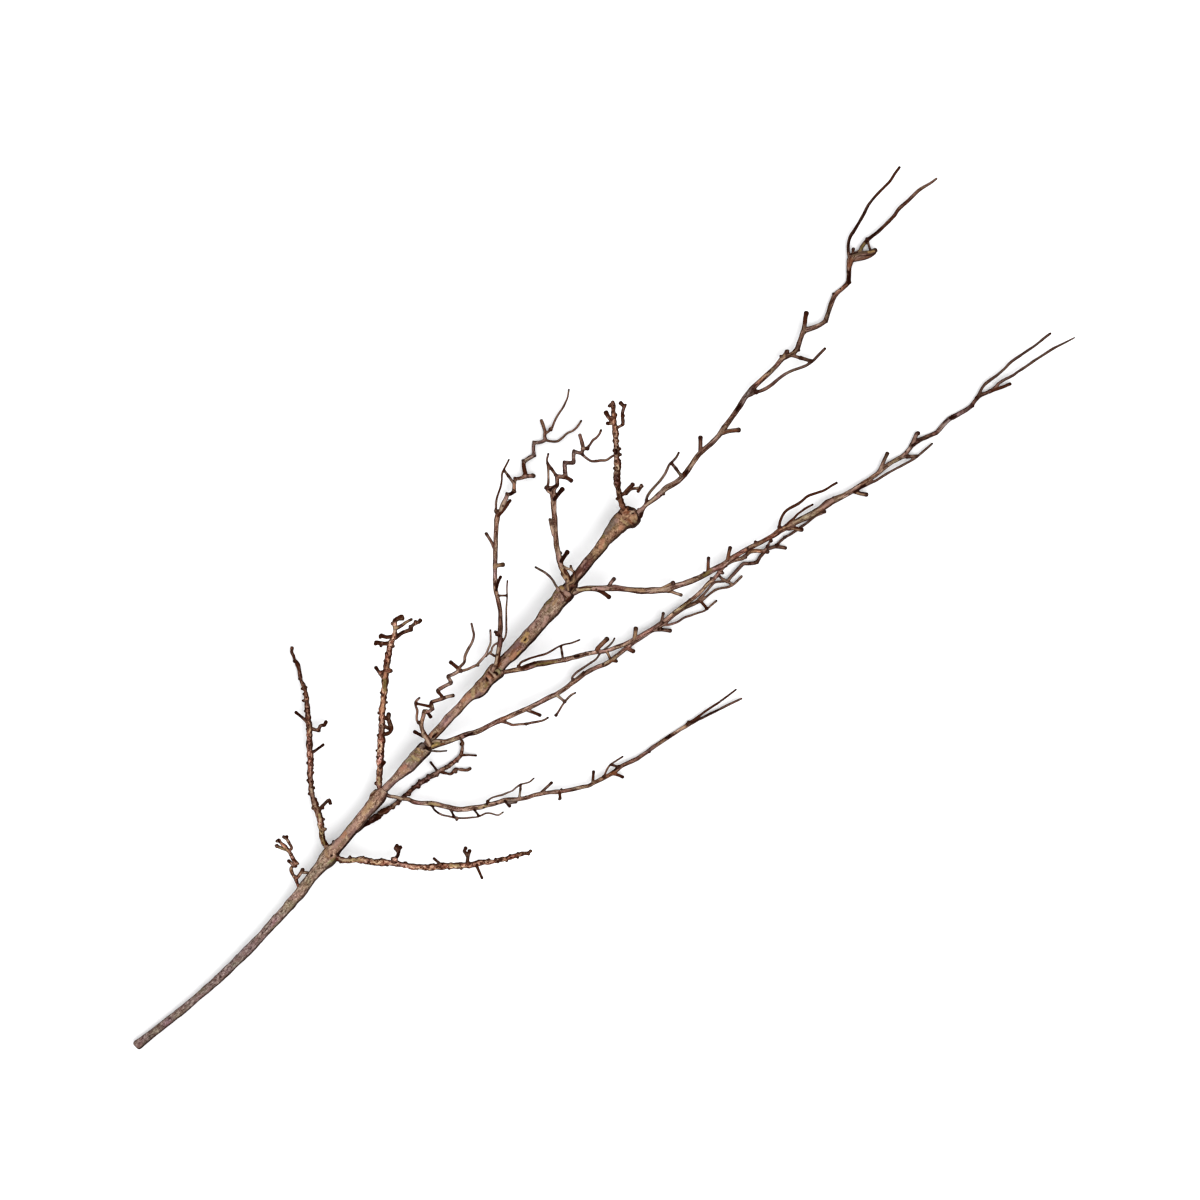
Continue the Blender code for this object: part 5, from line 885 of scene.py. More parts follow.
def skin(name, rods, voxel):
    """Sweep the rods and fuse them into one closed skin."""
    curve = bpy.data.curves.new(name + "_rods", "CURVE")
    curve.dimensions = "3D"
    curve.bevel_depth = MM
    curve.bevel_resolution = ROD_ROUNDING
    curve.use_fill_caps = True
    for line in rods.lines:
        spline = curve.splines.new("POLY")
        spline.points.add(len(line) - 1)
        for point, (x, y, z, d) in zip(spline.points, line):
            point.co = (*real_place(x, y, z), 1)
            point.radius = d / 2
    rough = bpy.data.objects.new(name + "_rods", curve)
    bpy.context.scene.collection.objects.link(rough)
    fuse = rough.modifiers.new("fuse", "REMESH")
    fuse.mode = "VOXEL"
    fuse.voxel_size = voxel
    fuse.adaptivity = 0
    relax = rough.modifiers.new("relax", "SMOOTH")
    relax.factor = RELAX_SHARE
    relax.iterations = RELAX_TIMES
    depsgraph = bpy.context.evaluated_depsgraph_get()
    mesh = bpy.data.meshes.new_from_object(rough.evaluated_get(depsgraph))
    mesh.name = name
    bpy.data.objects.remove(rough, do_unlink=True)
    bpy.data.curves.remove(curve)
    piece = bpy.data.objects.new(name, mesh)
    bpy.context.scene.collection.objects.link(piece)
    return piece


def vertex_vectors(mesh, kind):
    """Read the places or normals of a mesh's vertices."""
    values = np.empty(len(mesh.vertices) * 3)
    mesh.vertices.foreach_get(kind, values)
    return values.reshape(-1, 3)


def rod_sides(out, axis):
    """Say how far up and how far to the side of a rod's axis each offset points, from -1 to 1."""
    reach = np.linalg.norm(out, axis=1) + TINY
    upright = np.array([0, 0, 1.0]) - axis[:, 2:3] * axis
    upright /= np.linalg.norm(upright, axis=1)[:, None] + TINY
    return (out * upright).sum(axis=1) / reach, (out * np.cross(axis, upright)).sum(axis=1) / reach


def batches_near(places, real, margin):
    """Give the vertices near a rod in batches."""
    inside = ((places > real.min(axis=0) - margin) & (places < real.max(axis=0) + margin)).all(axis=1)
    batches = np.array_split(np.flatnonzero(inside), max(1, int(inside.sum()) // BATCH))
    return [part for part in batches if len(part)]


def bark_facts(piece, rods):
    """For each vertex find the rod it belongs to, and where on that rod it is."""
    places = vertex_vectors(piece.data, "co") / MM
    count = len(places)
    facts = {fact: np.zeros(count) for fact in ("along", "up", "across", "dark")}
    facts.update(
        places=places,
        normals=vertex_vectors(piece.data, "normal"),
        kind=np.zeros(count, dtype=int),
        radius=np.ones(count),
    )
    nearest_gap = np.full(count, np.inf)
    start = 0.0
    for line, kind, shade in zip(rods.lines, rods.kinds, rods.shades):
        real = np.array([real_place(*station[:3]) for station in line]) / MM
        run = run_lengths(real)
        radii = line[:, 3] / 2
        axes = np.gradient(real, axis=0)
        axes /= np.linalg.norm(axes, axis=1)[:, None]
        margin = radii.max() + (MAIN_REACH if kind == "main" else SMALL_REACH)
        for part in batches_near(places, real, margin):
            spread = places[part][:, None, :] - real[None]
            distance = np.sqrt((spread**2).sum(axis=2))
            best = (distance - radii).argmin(axis=1)
            rows = np.arange(len(part))
            gap = distance[rows, best] - radii[best]
            if kind in DARK_TIPS:
                touch = 1 - smooth_step(0.1, 0.9, gap)
                tip = 1 - smooth_step(*DARK_TIPS[kind], run[-1] - run[best])
                facts["dark"][part] = np.maximum(facts["dark"][part], shade * touch * tip)
            nearer = gap < nearest_gap[part]
            hit, chosen = part[nearer], best[nearer]
            offset, axis = spread[rows, best][nearer], axes[chosen]
            advance = (offset * axis).sum(axis=1)
            nearest_gap[hit] = gap[nearer]
            facts["along"][hit] = start + run[chosen] + advance
            facts["kind"][hit] = KINDS.index(kind)
            facts["radius"][hit] = radii[chosen]
            facts["up"][hit], facts["across"][hit] = rod_sides(offset - advance[:, None] * axis, axis)
        start += run[-1] + PIECE_GAP
    shrink = 1 - places[:, 2] / VIEW_HEIGHT
    facts["plan"] = (places[:, :2] + CENTRE) / shrink[:, None]
    return facts


def bark_noise(facts, length, turns, seed):
    """Noise that follows the rods: length is its size along them and turns its count around them."""
    points = np.column_stack([facts["along"] / length, facts["up"] * turns, facts["across"] * turns])
    return lattice_noise(points + 50, seed)


def stroke_weight(plan, points, width):
    """Weigh vertices by their plan distance from a stroke, from 1 on it to 0 at its width."""
    if len(points) == 1:  # a dot
        points = [points[0], (points[0][0] + 0.01, points[0][1])]
    points = np.array(points, dtype=float)
    distance = np.full(len(plan), np.inf)
    for start, end in zip(points, points[1:]):
        step = end - start
        share = np.clip(((plan - start) @ step) / (step @ step), 0, 1)
        distance = np.minimum(distance, np.linalg.norm(plan - start - share[:, None] * step, axis=1))
    return 1 - smooth_step(0.45 * width, width, distance)


def paint_marks(facts, marks):
    """Work out the strokes of colour on the camera's side of a piece, and how deep they go."""
    count = len(facts["places"])
    paint, painted, depth = np.zeros((count, 3)), np.zeros(count), np.zeros(count)
    facing = smooth_step(-0.1, 0.2, facts["normals"][:, 2])
    facing *= facts["kind"] < KINDS.index("knob")
    wobble = 0.6 * np.column_stack([lattice_noise(facts["places"] / 2.4, seed) for seed in (8, 9)])
    grain = 0.8 + 0.35 * lattice_noise(facts["places"] / 1.1, 10)
    for tint, width, points, *push in marks:
        weight = stroke_weight(facts["plan"] + wobble, points, width) * facing
        share = (1 if tint in DEEP_TINTS else 0.75 * grain) * weight
        total = share + painted * (1 - share)
        blend = (share / np.maximum(total, TINY))[:, None]
        paint = paint * (1 - blend) + np.array(TINTS[tint]) * blend
        painted = total
        depth += sum(push) * weight
    return paint, painted, depth


def roughen(piece, facts, depth, extra):
    """Push the skin in and out for the bark's ridges, lumps and scars, less so on the small rods."""
    main = facts["kind"] == KINDS.index("main")
    ridges = bark_noise(facts, length=14, turns=2.6, seed=1) * 0.6
    ridges += bark_noise(facts, length=5, turns=5, seed=2) * 0.4
    lumps = bark_noise(facts, length=9, turns=1.2, seed=3)
    scars = np.clip(bark_noise(facts, length=1.6, turns=2.4, seed=4) - 0.45, 0, 1)
    push = depth * (ridges * 0.5 + lumps * 0.45 + scars * 0.9) * facts["radius"] / 5
    push *= np.where(main, 1, 0.7)
    moved = facts["places"] + facts["normals"] * (push + extra)[:, None]
    moved[:, 2] = np.maximum(moved[:, 2], FLOOR_GAP)
    piece.data.vertices.foreach_set("co", (moved * MM).ravel())
    piece.data.update()


def store(piece, name, values):
    """Keep a number for each vertex."""
    attribute = piece.data.attributes.new(name, "FLOAT", "POINT")
    attribute.data.foreach_set("value", np.asarray(values, dtype=np.float32))


def store_color(piece, name, values):
    """Keep a colour for each vertex."""
    attribute = piece.data.attributes.new(name, "FLOAT_COLOR", "POINT")
    full = np.column_stack([values, np.ones(len(values))]).astype(np.float32)
    attribute.data.foreach_set("color", full.ravel())


def store_facts(piece, facts, tone, stem, lean):
    """Keep what the bark's colours need on the mesh, with the painted shade on the sides."""
    radius = facts["radius"]
    bark = np.column_stack([facts["along"], facts["up"] * radius, facts["across"] * radius])
    vector = piece.data.attributes.new("bark", "FLOAT_VECTOR", "POINT")
    vector.data.foreach_set("vector", bark.astype(np.float32).ravel())
    store(piece, "dark", facts["dark"])
    slender = 1 - smooth_step(1.3, 2, radius)
    thin = np.maximum(slender, np.select([facts["kind"] == kind for kind in TWIG_KINDS], [1, 0.5], 0))
    store(piece, "thin", thin * (1 - 0.9 * facts["painted"]))
    # Painted shade: the skin darkens where it turns away from the camera, and lean adds more on the right
    # side.
    shade_tilt = 1 - facts["normals"][:, 2] + lean * facts["across"]
    store(piece, "side_shade", smooth_step(*(STEM_SHADE_SIDES if stem else BRANCH_SHADE_SIDES), shade_tilt))
    store_color(piece, "tone", tone)


class Shading:
    """Adds nodes to a material, one step at a time."""

    def __init__(self, material):
        material.use_nodes = True
        self.nodes = material.node_tree.nodes
        self.link = material.node_tree.links.new

    def attribute(self, name, output):
        """Read what a vertex keeps."""
        node = self.nodes.new("ShaderNodeAttribute")
        node.attribute_name = name
        return node.outputs[output]

    def noise(self, stretch, detail, offset):
        """Noise that follows the bark."""
        mapping = self.nodes.new("ShaderNodeMapping")
        mapping.inputs["Scale"].default_value = stretch
        mapping.inputs["Location"].default_value = (offset, offset, offset)
        self.link(self.attribute("bark", "Vector"), mapping.inputs["Vector"])
        texture = self.nodes.new("ShaderNodeTexNoise")
        texture.inputs["Scale"].default_value = 1
        texture.inputs["Detail"].default_value = detail
        texture.inputs["Roughness"].default_value = 0.6
        self.link(mapping.outputs[0], texture.inputs["Vector"])
        return texture.outputs["Fac"]

    def ramp(self, value, stops):
        """Turn a value into a colour."""
        node = self.nodes.new("ShaderNodeValToRGB")
        node.color_ramp.elements.remove(node.color_ramp.elements[0])
        for number, (place, tint) in enumerate(stops):
            element = node.color_ramp.elements[0] if number == 0 else node.color_ramp.elements.new(place)
            element.position = place
            element.color = (*tint, 1)
        self.link(value, node.inputs["Fac"])
        return node.outputs["Color"]

    def mask(self, value, low, high):
        """Turn a value into a grey from black at low to white at high."""
        return self.ramp(value, ((low, (0, 0, 0)), (high, (1, 1, 1))))

    def blend(self, share, first, second, mode="MIX"):
        """Mix two colours, each one a tint or another node's output."""
        node = self.nodes.new("ShaderNodeMix")
        node.data_type = "RGBA"
        node.blend_type = mode
        for socket, value in ((node.inputs[0], share), (node.inputs[6], first), (node.inputs[7], second)):
            if isinstance(value, bpy.types.NodeSocket):
                self.link(value, socket)
            elif isinstance(value, tuple):
                socket.default_value = (*value, 1)
            else:
                socket.default_value = value
        return node.outputs[2]

    def times(self, value, factor, add=0.0):
        """Multiply a value, add to it and keep it from 0 to 1."""
        node = self.nodes.new("ShaderNodeMath")
        node.operation = "MULTIPLY_ADD"
        node.use_clamp = True
        self.link(value, node.inputs[0])
        node.inputs[1].default_value = factor
        node.inputs[2].default_value = add
        return node.outputs[0]

    def bump(self, height):
        """Turn a height into a bumpy normal."""
        node = self.nodes.new("ShaderNodeBump")
        node.inputs["Strength"].default_value = 0.5
        node.inputs["Distance"].default_value = BUMP_HEIGHT
        self.link(height, node.inputs["Height"])
        return node.outputs["Normal"]


def bark_material(name, looks):
    """Make bark: streaks along the branch, patches, painted marks, darker knobs and tips, and painted shade
    on the sides.
    """
    material = bpy.data.materials.new(name)
    shading = Shading(material)
    shader = shading.nodes["Principled BSDF"]
    shader.inputs["Specular IOR Level"].default_value = SHEEN

    streaks = shading.noise((looks["run"], 0.42, 0.42), 4, 3)
    rings = shading.noise((0.8, 0.2, 0.2), 2, 23)
    blotches = shading.noise((looks["run"] * 0.66, 0.3, 0.3), 2, 11)
    patches = shading.noise((0.05, 0.16, 0.16), 2, 17)
    specks = shading.noise((0.75, 1.1, 1.1), 2, 31)
    cracks = shading.noise((looks["run"] * 1.4, 0.5, 0.5), 2, 41)
    base = shading.ramp(streaks, looks["streaks"])
    # Each layer: its noise, the values where it starts and is full, its strength and what is added to that.
    layers = (
        (patches, 0.5, 0.66, 0.7, 0, "patch"), (blotches, 0.5, 0.62, 0.6, 0, "blotch"),
        (specks, 0.54, 0.68, 0.65, 0, "speck"), (specks, 0.34, 0.46, -0.5, 0.5, "pale"),
        (rings, 0.52, 0.66, looks["rings"], 0, "speck"), (cracks, 0.54, 0.61, looks["cracks"], 0, "dark"),
    )
    for grain, low, high, strength, added, tint in layers:
        share = shading.times(shading.mask(grain, low, high), strength, added)
        base = shading.blend(share, base, looks[tint])
    base = shading.blend(1.0, base, shading.attribute("tone", "Color"), "MULTIPLY")
    base = shading.blend(shading.attribute("painted", "Fac"), base, shading.attribute("paint", "Color"))
    # The thin twigs' own darker colour, the dark tips, and then the painted shade on the sides.
    shades = (("thin", 0.5, "thin"), ("dark", 0.95, "dark"), ("side_shade", looks["shade"], "dark"))
    for fact, strength, tint in shades:
        base = shading.blend(shading.times(shading.attribute(fact, "Fac"), strength), base, looks[tint])
    shading.link(base, shader.inputs["Base Color"])
    shading.link(shading.times(specks, 0.4, 0.5), shader.inputs["Roughness"])
    shading.link(shading.bump(shading.blend(0.5, streaks, specks)), shader.inputs["Normal"])
    return material


def seen(red, green, blue):
    """Turn a colour as it looks in the picture, 0 to 255, into the bark's own colour."""
    return tuple(((part / 255 + 0.055) / 1.055) ** 2.4 / BRIGHTNESS for part in (red, green, blue))


# The colours of the strokes. The deep ones cover what is under them, and the others let some of it through.
# Black, dark and maroon also serve as painted shade in some strokes.
TINTS = {
    "black": seen(30, 8, 2),
    "dark": seen(66, 32, 18),
    "brown": seen(104, 66, 46),
    "rust": seen(108, 56, 26),
    "maroon": seen(94, 56, 46),
    "mauve": seen(120, 92, 90),
    "olive": seen(116, 100, 52),
    "moss": seen(140, 136, 98),
    "orange": seen(186, 132, 102),
    "gold": seen(186, 150, 92),
    "rose": seen(170, 134, 120),
    "pale": seen(184, 158, 134),
    "tan": seen(170, 136, 102),
    "sand": seen(172, 148, 104),
    "grey": seen(112, 102, 96),
    "umber": seen(92, 76, 56),
}

DEEP_TINTS = ("black", "dark")

# How the stem looks along its length: the place along x and the colour there.
STEM_TONES = [
    (-643, seen(118, 102, 95)), (-590, seen(122, 104, 98)), (-500, seen(128, 112, 107)),
    (-445, seen(146, 125, 115)), (-376, seen(150, 128, 107)), (-350, seen(146, 116, 103)),
    (-310, seen(157, 128, 108)), (-270, seen(150, 120, 108)), (-240, seen(146, 124, 107)),
    (-190, seen(148, 117, 102)), (-150, seen(148, 118, 99)), (-125, seen(134, 102, 84)),
    (-100, seen(128, 97, 81)), (-60, seen(138, 113, 99)), (-28, seen(141, 117, 100)),
    (-10, seen(100, 72, 62)), (14, seen(92, 66, 57)), (42, seen(138, 109, 85)), (90, seen(144, 108, 87)),
]

# For each side branch: how bright its bark is beside its kind's usual colour, how bright its twigs are,
# what is added to its diameters, and how much more painted shade its right side gets than its left.
TONES = {
    "spur": (1.65, 1.3, 0.8, 0.1), "branch_1_left": (1.04, 0.52, 1, 0.3),
    "branch_1_right": (1.48, 0.5, 0.7, -0.12), "branch_1_under": (1.62, 2, 0.25, 0.1),
    "branch_2_left": (1.54, 0.62, 1.1, 0.3), "branch_2_right": (1.1, 0.95, 0.4, 0.05),
    "branch_3_left": (1.25, 1.5, 0.8, 0.1), "branch_3_right": (1.07, 1.05, 0.6, 0.1),
    "branch_4_left": (1.07, 0.96, 0.4, 0.1), "branch_4_right": (1.27, 0.9, 0.5, 0.05),
    "branch_5_left": (1.03, 1.5, 0.8, 0.05), "branch_5_right": (0.9, 0.66, 0.7, 0.1),
    "branch_6_left": (1.08, 0.86, 0.5, 0.3), "leader": (0.78, 0.64, 1, 0.15),
}

# Colours of a branch's bark, beside the plain one.
HUES = {
    "plain": seen(140, 111, 93),
    "light": seen(168, 140, 118),
    "tan": seen(154, 124, 98),
    "olive": seen(134, 118, 84),
    "pink": seen(158, 116, 104),
    "rust": seen(146, 96, 70),
    "mauve": seen(126, 98, 98),
    "grey": seen(138, 122, 112),
    "brown": seen(122, 88, 68),
    "dark": seen(96, 66, 52),
    "black": seen(66, 44, 34),
}

# How each side branch's colour changes along x.
RUNS = {
    "spur": [(-416, "brown"), (-411, "brown"), (-405, "plain"), (-399, "tan"), (-396, "brown")],
    "branch_1_left": [
        (-370, "tan"), (-361, "olive"), (-353, "light"), (-346, "black"), (-339, "brown"), (-332, "black"),
        (-324, "pink"), (-306, "pink"), (-297, "brown"), (-289, "dark"), (-281, "black"), (-273, "brown"),
        (-266, "black"), (-256, "black"),
    ],
    "branch_1_right": [
        (-371, "brown"), (-366, "light"), (-357, "light"), (-348, "tan"), (-340, "light"), (-328, "pink"),
        (-318, "light"), (-309, "light"), (-299, "rust"), (-290, "light"), (-280, "dark"), (-270, "dark"),
        (-260, "light"), (-248, "rust"), (-236, "dark"), (-226, "black"),
    ],
    "branch_1_under": [
        (-348, "dark"), (-339, "brown"), (-328, "black"), (-306, "black"), (-298, "dark"), (-288, "light"),
        (-274, "brown"), (-262, "dark"), (-248, "mauve"), (-236, "light"), (-220, "pink"), (-208, "plain"),
        (-197, "brown"),
    ],
    "branch_2_left": [
        (-292, "brown"), (-284, "light"), (-274, "pink"), (-264, "light"), (-252, "pink"), (-243, "light"),
        (-234, "rust"), (-226, "olive"), (-215, "light"), (-206, "brown"), (-196, "dark"), (-184, "dark"),
        (-172, "light"), (-162, "light"), (-152, "plain"),
    ],
    "branch_2_right": [
        (-292, "brown"), (-285, "light"), (-276, "brown"), (-264, "light"), (-250, "plain"),
        (-240, "light"), (-228, "light"), (-216, "tan"), (-206, "tan"), (-196, "light"), (-184, "tan"),
        (-174, "light"), (-163, "brown"), (-154, "black"), (-143, "light"), (-132, "olive"), (-118, "rust"),
        (-106, "dark"), (-92, "brown"), (-82, "brown"), (-72, "mauve"), (-60, "brown"), (-46, "black"),
        (-38, "tan"), (-30, "light"), (-22, "black"), (-12, "black"), (2, "black"), (16, "dark"),
        (30, "dark"),
    ],
    "branch_3_left": [
        (-223, "tan"), (-216, "light"), (-209, "rust"), (-198, "light"), (-188, "dark"), (-179, "plain"),
        (-156, "grey"), (-147, "tan"), (-108, "grey"),
    ],
    "branch_3_right": [
        (-222, "olive"), (-208, "plain"), (-198, "tan"), (-188, "black"), (-177, "light"), (-164, "pink"),
        (-152, "rust"), (-142, "plain"), (-131, "brown"), (-118, "plain"), (-108, "pink"), (-95, "light"),
        (-84, "tan"), (-72, "brown"), (-58, "dark"), (-46, "brown"), (-35, "tan"), (-22, "light"),
        (-10, "pink"), (2, "mauve"), (13, "light"), (25, "brown"), (37, "pink"), (50, "dark"),
        (62, "black"), (74, "brown"), (85, "brown"), (110, "dark"), (220, "dark"),
    ],
    "branch_4_left": [
        (-128, "tan"), (-117, "tan"), (-107, "dark"), (-97, "black"), (-88, "dark"), (-74, "dark"),
        (-65, "tan"), (-56, "mauve"), (-47, "black"), (-38, "light"), (-28, "light"), (-18, "tan"),
        (-8, "tan"), (4, "light"), (12, "black"), (19, "dark"), (27, "light"), (38, "brown"), (48, "grey"),
        (58, "mauve"), (68, "grey"), (78, "brown"),
    ],
    "branch_4_right": [
        (-120, "brown"), (-107, "brown"), (-97, "dark"), (-87, "black"), (-76, "brown"), (-66, "plain"),
        (-57, "black"), (-46, "plain"), (-34, "pink"), (-20, "plain"), (-8, "light"), (4, "pink"),
        (16, "pink"), (27, "black"), (38, "tan"), (60, "olive"), (74, "light"), (88, "tan"), (98, "pink"),
        (112, "rust"), (124, "light"), (136, "black"), (146, "rust"), (152, "dark"),
    ],
    "branch_5_left": [
        (-9, "light"), (2, "tan"), (12, "plain"), (19, "tan"), (28, "dark"), (36, "light"), (44, "light"),
        (52, "plain"), (58, "brown"), (66, "mauve"), (76, "grey"), (86, "grey"), (96, "dark"),
    ],
    "branch_5_right": [
        (-12, "light"), (2, "light"), (12, "tan"), (20, "pink"), (28, "plain"), (36, "dark"), (46, "light"),
        (56, "light"), (68, "light"), (80, "tan"), (92, "olive"), (104, "pink"), (115, "light"),
        (127, "rust"), (139, "dark"), (151, "brown"), (164, "rust"), (176, "rust"), (188, "brown"),
        (200, "olive"), (212, "olive"), (223, "dark"), (235, "dark"), (247, "light"), (259, "plain"),
        (271, "tan"), (284, "brown"), (296, "tan"), (308, "olive"), (320, "light"), (331, "black"),
        (343, "black"), (356, "dark"), (368, "grey"), (379, "black"), (391, "mauve"), (402, "black"),
        (415, "black"), (428, "brown"), (440, "black"), (463, "dark"), (487, "black"), (520, "dark"),
    ],
    "branch_6_left": [
        (80, "rust"), (85, "dark"), (92, "black"), (100, "black"), (108, "light"), (116, "black"),
        (124, "tan"), (132, "brown"), (140, "rust"), (149, "dark"),
    ],
    "leader": [
        (88, "light"), (96, "pink"), (104, "brown"), (115, "tan"), (128, "light"), (140, "light"),
        (150, "black"), (163, "tan"), (175, "brown"), (187, "dark"), (199, "light"), (211, "tan"),
        (223, "brown"), (235, "black"), (247, "grey"), (259, "black"), (271, "rust"), (284, "plain"),
        (296, "light"), (307, "brown"), (319, "black"), (331, "brown"), (343, "plain"), (355, "plain"),
        (367, "black"), (378, "dark"), (391, "rust"), (402, "black"), (412, "dark"), (422, "tan"),
        (436, "dark"), (448, "black"), (462, "dark"), (490, "dark"), (536, "brown"),
    ],
}
